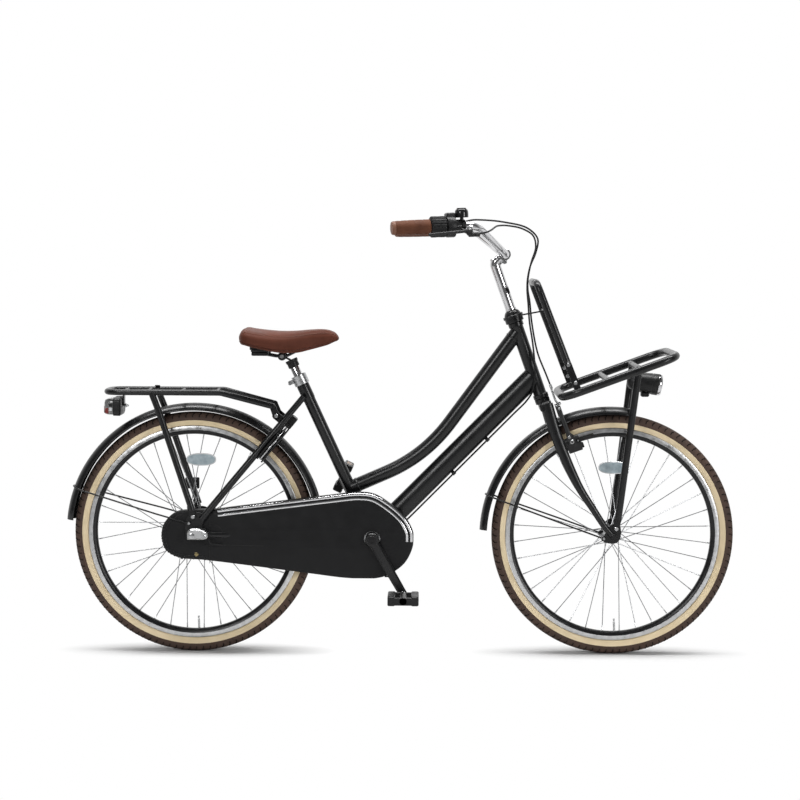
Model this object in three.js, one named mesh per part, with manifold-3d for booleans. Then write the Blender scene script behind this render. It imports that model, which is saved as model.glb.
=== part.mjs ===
// A city bicycle with a low curved top tube, full chain case, ring lock,
// rear carrier and a wide front carrier that turns with the fork.
// Millimetres. +X points forward, +Y to the rider's left, +Z up.
// The origin is the point of the ground under the rear axle.
import * as THREE from "three";
import { mergeVertices } from "three/addons/utils/BufferGeometryUtils.js";
import Module from "manifold-3d";

const wasm = await Module();
wasm.setup();

// Clearances
const fit = 0.3; // between two pieces that touch on the real bicycle
const run = 0.5; // round anything that turns
const skim = 0.1; // left on a face when its surroundings are cut back
const overrun = 4; // how far a cutter runs past a face
const halvings = 40; // of a span in which a place is looked for

// How finely round things are faceted
const tubeSides = 10;
const roundSides = 8;
const rodSides = 8;
const thinSides = 6;
const cableSides = 4;
const lampSides = 16;
const nutSides = 6;
const hullSteps = 4;

// Wheels, both alike
const tyreRadius = 326.5;
const tyreWidth = 47;
const tyreWall = 5;
const treadWidth = 28;
const rimSeatRadius = 281;
const rimEdgeRadius = 288.5;
const rimBrakeRadius = 277;
const rimInnerRadius = 265.6;
const rimWidth = 26;
const rimLip = 2.2;
const rimCrownWidth = 12;
const valveRadius = 3;
const valveLength = 34;
const valveAngle = -88;
const wheelSides = 24;
const spokeRadius = 1.3;
const spokeFacets = 3;
const spokesPerSide = 18;
const spokeCrossAngle = 48;
const spokeRimOffset = 1.6;
const fullTurn = 360;
const reflectorLength = 79;
const reflectorHeight = 37;
const reflectorDepth = 7;
const rearReflectorRadius = 198;
const frontReflectorRadius = 182;
const rearReflectorAngle = 85;
const frontReflectorAngle = 90;

// Where the wheels and the bottom bracket stand
const wheelbase = 1129;
const bracketX = 481;
const bracketZ = 316;

// Hubs and axles
const frontAxleRadius = 4.7;
const frontAxleHalf = 64;
const frontHubHalf = 46;
const frontHubRadius = 13;
const frontHubEndRadius = 9;
const frontFlangeY = 32;
const frontFlangeRadius = 21;
const rearAxleRadius = 5;
const rearAxleHalf = 84;
const rearHubRight = 38;
const rearHubLeft = 44;
const rearHubRadius = 31;
const rearHubEndRadius = 20;
const rearFlangeY = 29;
const rearFlangeRadius = 38;
const flangeWidth = 3;
const nutRadius = 9;
const nutLength = 8;
const coneRadius = 8.5;
const bellcrankReach = 42;
const bellcrankHeight = 20;
const bellcrankInnerY = 78;
const bellcrankOuterY = 95;
const coasterArmInnerY = 46.5;
const coasterArmOuterY = 50.5;
const coasterArmKnee = [46, -26];
const coasterArmEnd = [90, -22];
const coasterArmWidth = 14;

// Main frame
const seatTubeAngle = 65.1;
const seatTubeLength = 463;
const seatTubeRadius = 16;
const seatTubeBore = 13.3;
const headFootX = 934.8;
const headFootZ = 694.6;
const headAngle = 70.3;
const headTubeLength = 216;
const headTubeRadius = 17.5;
const headTubeBore = 14;
const headCupRadius = 20.5;
const headCupHeight = 12;
const topTubeRadius = 19;
const topTubeCornerX = 622;
const topTubeCornerZ = 536;
const topTubeHeadDrop = 24;
const topTubeSeatRise = 145;
const topTubeBendRun = 113;
const topTubeSteps = 5;
const downTubeHalfHeight = 28;
const downTubeHalfWidth = 21;
const downTubeHeadDrop = 153;
const shellRadius = 20;
const shellHalfWidth = 35;
const shellBore = 16.5;
const shellCupBore = 9.2;
const shellCupDepth = 12;

// Rear stays
const chainStayRadius = 10;
const dropoutY = 65;
const dropoutThickness = 5;
const dropoutReach = 60;
const chainStayBendX = 100;
const chainStayBendY = 50;
const chainStayDrop = 2;
const chainStayNearX = 390;
const chainStayNearY = 32.5;
const chainStayBridgeX = 395;
const chainStayBridgeRadius = 8;
const seatStayRadius = 9.3;
const seatStayFootX = 23;
const seatStayFootZ = 368;
const seatStayTopX = 295;
const seatStayTopZ = 696;
const seatStayTopY = 22;
const seatStayBendY = 44;
const seatStayBendShare = 0.77;
const seatStayShares = [0, 0.25, 0.5, seatStayBendShare, 0.9, 1];
const seatStaySteps = 3;
const seatStayBridgeRadius = 6;
const rackLugShare = 0.8;
const rackLugOut = 24;
const rackLugRadius = 11;
const plateThickness = 4;
const boltRadius = 6;
const boltHeight = 4;
const strutBoltX = 1;
const strutBoltZ = 375;
const stayBoltX = -10;
const stayBoltZ = 357;

// Seat
const seatPostRadius = 12.7;
const seatPostInsert = 130;
const seatPostShow = 60;
const seatClampHeight = 19;
const seatClampWall = 4.6;
const seatClampEar = 20;
const saddleClampRadius = 14;
const saddleClampHalf = 22;
const saddleRearX = -136.8;
const saddleNoseWidth = 52;
const saddleSides = 16;
const saddleRailRadius = 3.6;
const saddleRailY = 22;
const saddleSpringRadius = 17;
const saddleUnderZ = 42.6;
const saddleUnderX = 39.2;
const saddleClampX = -26.8;
const saddleClampZ = 6.6;
const saddleSpringX = -87.8;
const saddleSpringY = 46;
const saddleSpringFoot = 12.6;
const saddleSpringTop = 28.6;
const saddleRailNose = [77.2, 11, 38.6];
const collarRadius = 18;
const collarLength = 26;

// Shares of the saddle's sides
const saddleSideShare = 0.8;
const saddleCrownShare = 0.75;
const saddleEdgeShare = 0.45;
const saddleUnderShare = 0.65;
const saddleUnderFrontShare = 0.45;
const saddleSkirtShares = [
  [0.985, 0.6],
  [0.93, 0.2],
  [0.86, 0],
];

// Chain, chain case and cranks
const chainPitch = 12.7;
const chainringTeeth = 38;
const sprocketTeeth = 19;
const chainLineY = 45;
const toothThickness = 2.4;
const toothHeight = 3;
const toothRoot = 3.5;
const chainWidth = 9.6;
const chainHalfHeight = 4.6;
const chainSlotWidth = 3.6;
const chainWeb = 1.2;
const chainFrontSteps = 10;
const chainRearSteps = 6;
const sprocketCollarRadius = 15;
const sprocketCollarRight = 52;
const caseRearOver = 86;
const caseFrontOver = 111;
const caseTopOver = 126;
const caseBottomUnder = 107;
const caseInnerY = 35.5;
const caseOuterY = 60;
const caseSkin = 1.6;
const caseAxleHole = 24;
const coverAxleHole = 14;
const caseCrankHole = 22;
const caseSplitY = 47;
const caseStayGap = 2;
const trimWidth = 24;
const trimDepth = 1.6;
const trimInset = 1;
const crankLength = 170;
const crankAngle = -60;
const crankY = 72;
const crankHalfThickness = 6.5;
const crankBossRadius = 19;
const crankEndRadius = 11.5;
const crankBossHalf = 12;
const bracketAxleRadius = 8.5;
const pedalY = 135;
const pedalHalfWidth = 46;
const pedalHalfLength = 41;
const pedalHalfHeight = 13;
const pedalBarrelRadius = 11;
const pedalBarWidth = 20;
const pedalPlate = 7;
const pedalSpindleRadius = 5;
const rightPedalAngle = 0;
const leftPedalAngle = 65;

// Fenders
const fenderHalfWidth = 28;
const fenderDepth = 18;
const fenderSkin = 2;
const rearFenderGap = 23.5;
const rearFenderFrontAngle = 9;
const rearFenderRearAngle = 174.8;
const frontFenderGap = 24.5;
const frontFenderShiftX = -8;
const frontFenderShiftZ = -5;
const frontFenderFrontAngle = 81;
const frontFenderRearAngle = 177.5;
const fenderArcSides = 5;
const fenderSteps = 14;
const stayWireRadius = 2.3;
const stayKneeRun = 92;
const stayWireSteps = 6;
const rearStayAngle = 159.6;
const frontStayAngle = 161.5;

// Rear carrier
const rackRailRadius = 8;
const rackRailY = 62;
const rackZ = 708;
const rackRearX = -234;
const rackBendX = 74;
const rackFrontX = 212;
const rackFrontZ = 672;
const rackFrontY = 52;
const rackCornerRadius = 44;
const rackBarRadius = 5;
const rackBarXs = [-188, -125, -34, 60];
const rackStrutRadius = 9;
const rackStrutTopX = -110;
const rackStrutKneeX = -88;
const rackStrutKneeZ = 652;
const rackStrutFootY = 78;
const lampRearX = -241;
const lampRearDepth = 46;
const lampRearHalfWidth = 48;
const lampRearTopZ = 692;
const lampRearHeight = 50;

// Strap on the left strut
const strapWidth = 13;
const strapThickness = 3;
const strapClipLength = 40;
const strapClipHeight = 32;
const strapClipZ = 448;
const strapClipDepth = 9;
const strapHookRadius = 1.6;

// Ring lock
const lockShare = 0.615;
const lockRadius = 60;
const lockHalfDepth = 10;
const lockInner = 50;
const lockOuter = 69;
const lockGrooveInner = 55;
const lockGrooveHalf = 4.8;
const lockArmAngle = 128;
const lockBoltRadius = 4;
const lockBoltSpanAngle = 116;
const lockBoltEndAngle = 12;
const lockKnobAngle = -16;
const lockKnobRadius = 3;
const lockKnobTop = 82;
const lockBlockFrom = 68;
const lockBlockTo = 104;
const lockBlockHalf = 22;
const lockBlockY = 11;
const lockSeat = 1.5;
const lockSteps = 16;
const lockBoltSteps = 10;

// Kickstand, folded up beside the left chain stay
const standX = 395;
const standY = 50;
const standZ = 290;
const standHeadRadius = 13;
const standHeadHalf = 6;
const standLegRadius = 6.5;
const standLength = 280;
const standSplayShare = 0.015;
const standFootRadius = 7.5;
const standFootLength = 26;
const standPinRadius = 5;

// Fork
const steererRadius = 12.7;
const headsetCapRadius = 23;
const headsetCapHeight = 34;
const headsetCapTopRadius = 16;
const forkRaceRadius = 20;
const forkRaceHeight = 9;
const bladeTopY = 40;
const bladeFootY = 54;
const bladePoints = [
  [947, 681],
  [972, 599],
  [996, 540],
  [1018, 492],
  [1039, 452],
  [1074, 399],
  [1106, 351],
  [1124, 330],
];
const bladeHalfDepths = [16, 15.5, 14, 12.5, 11, 9.5, 8.5, 8];
const bladeHalfWidth = 9;
const bladeFootHalfWidth = 6.5;
const forkDropoutThickness = 5;
const crownHalfWidth = 49;
const crownHalfLength = 15;
const crownLength = 26;
const forkPlateReach = 36;
const frontStrutBoltX = 6;
const frontStrutBoltZ = 22;
const frontStayBoltX = -27;
const frontStayBoltZ = -5;

// Handlebar and what sits on it
const barRadius = 11.1;
const stemRadius = 14.3;
const stemQuillRadius = 11.1;
const stemInsert = 70;
const stemTopZ = 1056;
const barEnd = [536, 318, 1145];
const barCorner = [748, 263, 1153.3];
const barInnerY = 45;
const barOuterBend = 45;
const barClampX = 832;
const barClampZ = 1080;
const barClampRadius = 16;
const barClampHalf = 19;
const gripRadius = 18.5;
const gripLength = 98;
const leftGripLength = 128;
const gripEndOver = 3;
const gripLip = 3;
const gripLipLength = 7;
const twistRadius = 27;
const twistLength = 40;
const twistRibs = 12;
const twistRibShare = 0.94;
const shifterHousingRadius = 28;
const shifterHousingLength = 24;
const leverClampRadius = 17;
const leverClampLength = 14;
const leverReach = 106;
const leverBladeHalf = 4.5;
const leverPivotOut = 38;
const leverTipOut = 54;
const leverDownAngle = 30;
const leverPivotRadius = 4;
const leverSocketRadius = 6;
const leverTipRadius = 6.3;
const bellRadius = 19;
const bellHeight = 27;
const bellBaseHeight = 9;
const bellBaseRadius = 5;
const bellStudRadius = 4;
const bellClampLength = 10;
const bellArmLength = 30;
const bellArmThickness = 3;
// Shares of the bell's radius and height up its dome
const bellDomeShares = [
  [1, 0],
  [1, 0.35],
  [0.8, 0.75],
  [0.35, 1],
];

// Front carrier
const carrierHalfWidth = 150;
const carrierRearX = 984;
const carrierRearZ = 706;
const carrierFrontX = 1282;
const carrierAngle = 20.3;
const carrierRailRadius = 11;
const carrierCornerRadius = 58;
const carrierCornerSteps = 3;
const carrierBarRadius = 8;
const carrierBarXs = [1104, 1187];
const carrierStrutRadius = 9.5;
const carrierStrutTopY = 88;
const carrierStrutFootY = 66;
const carrierTabRise = 27;
const uprightTopX = 912;
const uprightTopZ = 1006;
const uprightHalfWidth = 135;
const uprightRadius = 9.5;
const uprightCornerRadius = 30;
const uprightCrossZ = 930;
const uprightArmWidth = 9;
const uprightFootX = 996;
const uprightFootZ = 792;
const uprightPlateX = 1024;
const uprightPlateZ = 745;
const uprightBoltShares = [0.5, 1];
const headlampX = 1206;
const headlampZ = 738;
const headlampRadius = 27;
const headlampLength = 84;
const headlampAngle = -8;
// Shares of the headlamp's radius and half length
const headlampShares = [
  [0, -1],
  [0.5, -0.95],
  [0.85, -0.6],
  [1, 0],
  [1, 0.8],
  [0.9, 1],
  [0, 1.1],
];

// Rim brake
const brakePivotX = 1012;
const brakePivotZ = 579;
const brakeArmY = 38;
const brakeArmHalf = 5.5;
const brakeArmDepth = 7;
const brakeArmLength = 104;
const padLength = 56;
const padHeight = 10;
const padGap = 3.3;
const padRise = 22;
const padThickness = 8;
const padPostRadius = 4;
const padRadius = 275;
const brakeBossRadius = 4.5;

// Cables, as the points that they pass
const shiftCableRadius = 2.4;
const cableClipLength = 10;
const cableClipWall = 2;
// Which points of the shift cable's route have a clip to the down tube
const clipPointCounts = [20, 21];
const brakeCableRadius = 2.4;
const noodleRadius = 2.8;
const shiftCablePoints = [
  [695, -254, 1157],
  [708, -250, 1159],
  [722, -245, 1164],
  [740, -228, 1168],
  [757, -200, 1169],
  [824, -110, 1165],
  [892, -48, 1149],
  [919, -28, 1121],
  [914, -25, 1085],
  [900, -25, 1050],
  [893, -25, 1015],
  [892, -26, 985],
  [895, -27, 950],
  [899, -28, 900],
  [908, -27, 845],
  [913, -27, 800],
  [915, -27, 760],
  [910, -21, 716],
  [894, -8, 687],
  [860, -6, 652],
  [790, -6, 581],
  [700, -6, 490],
  [610, -6, 399],
  [545, -8, 333],
  [512, -12, 296],
  [484, -16, 288],
  [450, -24, 291],
  [420, -28, 294],
  [392, -30, 297],
  [360, -31, 300],
  [325, -34, 301],
  [290, -40, 301],
  [250, -47, 301],
  [200, -52, 300],
  [150, -54, 299],
  [110, -55, 298],
  [80, -60, 298],
  [60, -70, 300],
  [49, -82, 306],
  [46, -87, 316],
];
const brakeCablePoints = [
  [757.4, -288.9, 1133],
  [773, -277, 1136],
  [787, -246, 1142],
  [797, -195, 1149],
  [810, -125, 1155],
  [840, -58, 1156],
  [880, -18, 1148],
  [908, -6, 1130],
  [915, -5, 1100],
  [903, -5, 1058],
  [895, -5, 1015],
  [895, -6, 985],
  [900, -8, 955],
  [906, -9, 899],
  [922, -14, 818],
  [944, -26, 762],
  [960, -33, 722],
];
const noodlePoints = [
  [957.5, -32.2, 728],
  [965, -33, 704],
  [971, -31, 690],
  [978, -24, 682],
  [983, -12, 679],
  [984, 4, 679],
  [984, 26, 679],
];
// The saddle across its length, from the top of the seat post: how far ahead, half width,
// top and bottom
const saddleSections = [
  [-137, 60, 71.6, 57.6],
  [-131, 85, 81.6, 48.6],
  [-120, 98, 87.6, 45.6],
  [-101, 104, 84.6, 39.6],
  [-73, 103, 82.1, 31.6],
  [-33, 92, 80.6, 21.6],
  [-6, 78, 81.1, 18.6],
  [21, 62, 82.6, 18.6],
  [49, 47, 85.1, 27.6],
  [76, 37, 86.6, 35.6],
  [99, 31, 85.1, 45.6],
  [116, 27, 78.6, 53.6],
  [124, 21, 70.6, 56.6],
  [127, 10, 64.6, 59.6],
];

// Materials
function paint(colour, roughness, metalness) {
  return new THREE.MeshStandardMaterial({ color: colour, roughness, metalness });
}
const gloss = () => paint(0x141516, 0.3, 0.4);
const matte = () => paint(0x222225, 0.6, 0);
const silver = () => paint(0xc8c8ca, 0.25, 1);
const brown = () => paint(0x73412f, 0.55, 0);
const tread = () => paint(0x48342c, 0.85, 0);
const steel = () => paint(0x9a9a9c, 0.35, 1);
const rubber = () => paint(0x1c1c1e, 0.8, 0);
const red = () => paint(0x8c1f1c, 0.3, 0);

// Solids
const radians = THREE.MathUtils.degToRad;
const vector = (x, y, z) => new THREE.Vector3(x, y, z);
const acrossY = vector(0, 1, 0);
const upwards = vector(0, 0, 1);

// A closed geometry as a solid with its faces outwards.
function solidOf(geometry) {
  const bare = geometry.index ? geometry.toNonIndexed() : geometry.clone();
  bare.deleteAttribute("normal");
  bare.deleteAttribute("uv");
  const merged = mergeVertices(bare);
  const corners = merged.index.array;
  const kept = [];
  for (let i = 0; i < corners.length; i += 3) {
    const [a, b, c] = corners.subarray(i, i + 3);
    if (a !== b && b !== c && a !== c) kept.push(a, b, c);
  }
  const build = (triangles) =>
    new wasm.Manifold(
      new wasm.Mesh({
        numProp: 3,
        vertProperties: merged.attributes.position.array,
        triVerts: new Uint32Array(triangles),
      }),
    );
  const made = build(kept);
  if (made.volume() > 0) return made;
  return build(kept.reverse());
}

function geometryOf(solid) {
  const mesh = solid.getMesh();
  const geometry = new THREE.BufferGeometry();
  const places = new THREE.BufferAttribute(mesh.vertProperties, 3);
  geometry.setAttribute("position", places);
  geometry.setIndex(new THREE.BufferAttribute(mesh.triVerts, 1));
  return geometry;
}

const join = (...solids) => solids.reduce((a, b) => a.add(b));
const cut = (solid, ...tools) => tools.reduce((a, b) => a.subtract(b), solid);

// The right-hand and the left-hand one of a pair
function mirrored(make) {
  return [make(-1), make(1)];
}

function circle(radius, sides) {
  const turn = (2 * Math.PI) / sides;
  const corner = (_, i) => [
    radius * Math.cos((i + 0.5) * turn),
    radius * Math.sin((i + 0.5) * turn),
  ];
  return Array.from({ length: sides }, corner);
}

const ellipse = (a, b, sides) => circle(1, sides).map(([x, y]) => [a * x, b * y]);

function signedArea(points) {
  return THREE.ShapeUtils.area(points.map(([x, y]) => new THREE.Vector2(x, y)));
}

// Carries an outline along stations { at, u, v, section }, closed in a ring or capped.
function sweep(outline, stations, ring = false) {
  const places = [];
  for (const { at, u, v, section = outline } of stations)
    for (const [a, b] of section)
      places.push(...at.clone().addScaledVector(u, a).addScaledVector(v, b).toArray());
  const n = outline.length;
  const index = [];
  const spans = ring ? stations.length : stations.length - 1;
  for (let i = 0; i < spans; i++)
    for (let j = 0; j < n; j++) {
      const next = ((i + 1) % stations.length) * n;
      const k = (j + 1) % n;
      index.push(i * n + j, i * n + k, next + k);
      index.push(i * n + j, next + k, next + j);
    }
  if (!ring) {
    const flat = outline.map(([x, y]) => new THREE.Vector2(x, y));
    const way = Math.sign(signedArea(outline));
    const last = (stations.length - 1) * n;
    for (const face of THREE.ShapeUtils.triangulateShape(flat, [])) {
      const same = Math.sign(signedArea(face.map((i) => outline[i]))) === way;
      const [a, b, c] = same ? face : [face[0], face[2], face[1]];
      index.push(a, c, b, last + a, last + b, last + c);
    }
  }
  const geometry = new THREE.BufferGeometry();
  geometry.setAttribute("position", new THREE.Float32BufferAttribute(places, 3));
  geometry.setIndex(index);
  return solidOf(geometry);
}

// Two directions square to a bar, the first as near as it can be to a guide.
function squareTo(direction, guide) {
  const near = guide ?? (Math.abs(direction.y) > Math.SQRT1_2 ? upwards : acrossY);
  const u = near.clone().addScaledVector(direction, -near.dot(direction)).normalize();
  return [u, direction.clone().cross(u)];
}

// A straight bar of any outline, its first axis kept near Y.
function bar(from, to, outline, near) {
  const direction = to.clone().sub(from).normalize();
  const [u, v] = squareTo(direction, near);
  return sweep(outline, [
    { at: from, u, v },
    { at: to, u, v },
  ]);
}

const rod = (from, to, radius, sides = rodSides) => bar(from, to, circle(radius, sides));

// A turned piece about a line along Y: points are [radius, y].
function turned(points, x, z, sides = roundSides, round = true) {
  const whole = points.map(([r, y]) => new THREE.Vector2(r, y));
  if (round) whole.push(whole[0].clone());
  const geometry = new THREE.LatheGeometry(whole, sides, Math.PI / sides);
  return solidOf(geometry.translate(x, 0, z));
}

// A turned piece about any line: points are [radius, distance along it].
function turnedOn(points, from, direction, sides = roundSides, round = true) {
  const whole = points.map(([r, y]) => new THREE.Vector2(r, y));
  if (round) whole.push(whole[0].clone());
  const geometry = new THREE.LatheGeometry(whole, sides, Math.PI / sides);
  const turn = new THREE.Quaternion().setFromUnitVectors(acrossY, direction);
  geometry.applyQuaternion(turn);
  return solidOf(geometry.translate(from.x, from.y, from.z));
}

// A bore's polygon has to stay outside a circle, so its corners lie further out.
const boreRadius = (radius, sides = roundSides) => radius / Math.cos(Math.PI / sides);

// The same polygon grown so that its flats lie one fit further out
const fitRound = (radius, sides) => radius + fit / Math.cos(Math.PI / sides);

// A round tube along a curve.
function tube(curve, radius, steps, sides = rodSides) {
  const shape = new THREE.Shape(circle(radius, sides).map(([x, y]) => new THREE.Vector2(x, y)));
  const options = { steps, extrudePath: curve, bevelEnabled: false };
  return solidOf(new THREE.ExtrudeGeometry(shape, options));
}

const smooth = (points) => new THREE.CatmullRomCurve3(points, false, "centripetal");

// A route of straight runs joined by round corners.
function roundedPath(points, radius) {
  const path = new THREE.CurvePath();
  let from = points[0];
  for (let i = 1; i < points.length - 1; i++) {
    const back = points[i - 1].clone().sub(points[i]).normalize();
    const ahead = points[i + 1].clone().sub(points[i]).normalize();
    const half = back.angleTo(ahead) / 2;
    const reach = radius / Math.tan(half);
    const start = points[i].clone().addScaledVector(back, reach);
    const end = points[i].clone().addScaledVector(ahead, reach);
    path.add(new THREE.LineCurve3(from, start));
    path.add(new THREE.QuadraticBezierCurve3(start, points[i], end));
    from = end;
  }
  path.add(new THREE.LineCurve3(from, points[points.length - 1]));
  return path;
}

// A tube along a route, with stations only where it bends.
function bentTube(points, radius, cornerRadius, sides = rodSides, cornerSteps = 2) {
  const path = roundedPath(points, cornerRadius);
  const places = [];
  path.curves.forEach((curve, i) => {
    const steps = curve.isLineCurve3 ? 1 : cornerSteps;
    for (let s = i ? 1 : 0; s <= steps; s++)
      places.push([curve.getPoint(s / steps), curve.getTangent(s / steps)]);
  });
  let near;
  const stations = places.map(([at, tangent]) => {
    const [u, v] = squareTo(tangent, near);
    near = u;
    return { at, u, v };
  });
  return sweep(circle(radius, sides), stations);
}

// A flat plate from an outline of [x, z] points, between two values of y.
function plate(outline, fromY, toY) {
  return sweep(outline, [
    { at: vector(0, fromY, 0), u: vector(1, 0, 0), v: vector(0, 0, 1) },
    { at: vector(0, toY, 0), u: vector(1, 0, 0), v: vector(0, 0, 1) },
  ]);
}

function block(from, to) {
  const size = to.clone().sub(from);
  const middle = from.clone().add(to).multiplyScalar(0.5);
  const geometry = new THREE.BoxGeometry(Math.abs(size.x), Math.abs(size.y), Math.abs(size.z));
  return solidOf(geometry.translate(middle.x, middle.y, middle.z));
}

// The scene
const bicycle = new THREE.Group();

function piece(name, solid, material, parent = bicycle) {
  const mesh = new THREE.Mesh(geometryOf(solid), material);
  mesh.name = name;
  parent.add(mesh);
  return mesh;
}

// Lines that the whole bicycle hangs on
const rearFenderRadius = tyreRadius + rearFenderGap;
const frontFenderRadius = tyreRadius + frontFenderGap;
const rearAxle = vector(0, 0, tyreRadius);
const frontAxle = vector(wheelbase, 0, tyreRadius);
const bracket = vector(bracketX, 0, bracketZ);
const seatDirection = vector(
  -Math.cos(radians(seatTubeAngle)),
  0,
  Math.sin(radians(seatTubeAngle)),
);
const steerDirection = vector(-Math.cos(radians(headAngle)), 0, Math.sin(radians(headAngle)));
const steerForward = vector(steerDirection.z, 0, -steerDirection.x);
const headFoot = vector(headFootX, 0, headFootZ);
const headTop = headFoot.clone().addScaledVector(steerDirection, headTubeLength);
const onSeatTube = (run) => bracket.clone().addScaledVector(seatDirection, run);
const onSteerer = (drop) => headTop.clone().addScaledVector(steerDirection, -drop);
const seatTop = onSeatTube(seatTubeLength);

// Frame tubes
function makeFrameTubes() {
  const shell = turned(
    [
      [shellCupBore, -shellHalfWidth],
      [shellRadius, -shellHalfWidth],
      [shellRadius, shellHalfWidth],
      [shellCupBore, shellHalfWidth],
      [shellCupBore, shellHalfWidth - shellCupDepth],
      [shellBore, shellHalfWidth - shellCupDepth],
      [shellBore, shellCupDepth - shellHalfWidth],
      [shellCupBore, shellCupDepth - shellHalfWidth],
    ],
    bracketX,
    bracketZ,
    tubeSides,
  );
  const shellRoom = rod(
    bracket.clone().addScaledVector(acrossY, -shellHalfWidth - overrun),
    bracket.clone().addScaledVector(acrossY, shellHalfWidth + overrun),
    boreRadius(shellRadius + fit, tubeSides),
    tubeSides,
  );
  const seatRoom = rod(
    onSeatTube(0),
    seatTop,
    boreRadius(seatTubeRadius + fit, tubeSides),
    tubeSides,
  );
  const headRoom = rod(
    onSteerer(-overrun),
    onSteerer(headTubeLength + overrun),
    boreRadius(headTubeRadius + fit, tubeSides),
    tubeSides,
  );
  const cupRoom = rod(
    onSteerer(-overrun),
    onSteerer(headCupHeight + fit),
    boreRadius(headCupRadius + fit, tubeSides),
    tubeSides,
  );

  const seatTube = turnedOn(
    [
      [seatTubeBore, 0],
      [seatTubeRadius, 0],
      [seatTubeRadius, seatTubeLength],
      [seatTubeBore, seatTubeLength],
    ],
    bracket,
    seatDirection,
    tubeSides,
  );
  const headTube = turnedOn(
    [
      [headTubeBore, 0],
      [headCupRadius, 0],
      [headCupRadius, headCupHeight],
      [headTubeRadius, headCupHeight],
      [headTubeRadius, headTubeLength - headCupHeight],
      [headCupRadius, headTubeLength - headCupHeight],
      [headCupRadius, headTubeLength],
      [headTubeBore, headTubeLength],
    ],
    headFoot,
    steerDirection,
    tubeSides,
  );

  const corner = vector(topTubeCornerX, 0, topTubeCornerZ);
  const headJoint = onSteerer(topTubeHeadDrop);
  const seatJoint = onSeatTube(topTubeSeatRise);
  const toHead = headJoint.clone().sub(corner).normalize();
  const toSeat = seatJoint.clone().sub(corner).normalize();
  const bendTop = corner.clone().addScaledVector(toHead, topTubeBendRun);
  const bendFoot = corner.clone().addScaledVector(toSeat, topTubeBendRun);
  const bend = new THREE.QuadraticBezierCurve3(bendFoot, corner, bendTop);
  const places = [seatJoint, ...bend.getPoints(topTubeSteps), headJoint];
  const stations = places.map((at, i) => {
    const before = places[Math.max(i - 1, 0)];
    const after = places[Math.min(i + 1, places.length - 1)];
    const direction = after.clone().sub(before).normalize();
    const [u, v] = squareTo(direction);
    return { at, u, v };
  });
  const topTube = sweep(circle(topTubeRadius, tubeSides), stations);
  const downTube = bar(
    bracket,
    onSteerer(downTubeHeadDrop),
    ellipse(downTubeHalfWidth, downTubeHalfHeight, tubeSides),
  );

  // Clips hold the shift cable under the down tube
  const clips = clipPointCounts.map((count) => {
    const held = vector(...shiftCablePoints[count]);
    const line = onSteerer(downTubeHeadDrop).sub(bracket).normalize();
    const down = vector(line.z, 0, -line.x);
    const inside = held.clone().addScaledVector(down, -downTubeHalfHeight);
    const reach = shiftCableRadius + fit + cableClipWall;
    const outline = rectangle(reach * 2, cableClipLength);
    return bar(inside, held.clone().addScaledVector(down, reach), outline);
  });
  const cableRoom = cable(shiftCablePoints, fitRound(shiftCableRadius, cableSides));
  const rooms = [shellRoom, headRoom, seatRoom, cableRoom];
  piece("bottom_bracket_shell", shell, gloss());
  piece("seat_tube", cut(seatTube, shellRoom), gloss());
  piece("head_tube", headTube, gloss());
  piece("top_tube", cut(topTube, seatRoom, headRoom, cupRoom), gloss());
  piece("down_tube", cut(join(downTube, ...clips), ...rooms), gloss());
  return { seatRoom, shellRoom };
}
const { seatRoom, shellRoom } = makeFrameTubes();

// A fender's arched section, its outer face moved out by a gap
const fenderArc = (fenderHalfWidth ** 2 + fenderDepth ** 2) / (2 * fenderDepth);
function fenderLine(offset) {
  const reach = Math.asin(fenderHalfWidth / fenderArc);
  return Array.from({ length: fenderArcSides + 1 }, (_, i) => {
    const angle = THREE.MathUtils.lerp(-reach, reach, i / fenderArcSides);
    const r = fenderArc + offset;
    return [r * Math.sin(angle), r * Math.cos(angle)];
  });
}
function fenderSweep(section, [middle, radius, from, to]) {
  const stations = Array.from({ length: fenderSteps + 1 }, (_, i) => {
    const angle = radians(THREE.MathUtils.lerp(from, to, i / fenderSteps));
    const v = vector(Math.cos(angle), 0, Math.sin(angle));
    return { at: middle.clone().addScaledVector(v, radius - fenderArc), u: acrossY, v };
  });
  return sweep(section, stations);
}
const fenderShell = (fender) =>
  fenderSweep([...fenderLine(0), ...fenderLine(-fenderSkin).reverse()], fender);
const rearFenderRoom = () =>
  fenderSweep(fenderLine(fitRound(0, fenderArcSides * 2)), [
    rearAxle,
    rearFenderRadius,
    rearFenderFrontAngle,
    rearFenderRearAngle,
  ]);

// The line of a chain stay or a seat stay on one side
function chainStayPoints(side) {
  return [
    vector(chainStayRadius * 2, side * dropoutY, tyreRadius),
    vector(chainStayBendX, side * chainStayBendY, tyreRadius - chainStayDrop),
    vector(chainStayNearX, side * chainStayNearY, bracketZ + chainStayDrop),
    vector(bracketX - shellRadius / 2, side * (shellHalfWidth - chainStayRadius), bracketZ),
  ];
}
function seatStayPoint(share, side) {
  const spread =
    share < seatStayBendShare
      ? THREE.MathUtils.lerp(dropoutY, seatStayBendY, share / seatStayBendShare)
      : THREE.MathUtils.lerp(
          seatStayBendY,
          seatStayTopY,
          (share - seatStayBendShare) / (1 - seatStayBendShare),
        );
  return vector(
    THREE.MathUtils.lerp(seatStayFootX, seatStayTopX, share),
    side * spread,
    THREE.MathUtils.lerp(seatStayFootZ, seatStayTopZ, share),
  );
}
const stayLine = seatStayPoint(1, 0).sub(seatStayPoint(0, 0));
const stayDirection = vector(stayLine.x, 0, stayLine.z).normalize();
const stayAhead = vector(stayDirection.z, 0, -stayDirection.x);

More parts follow.
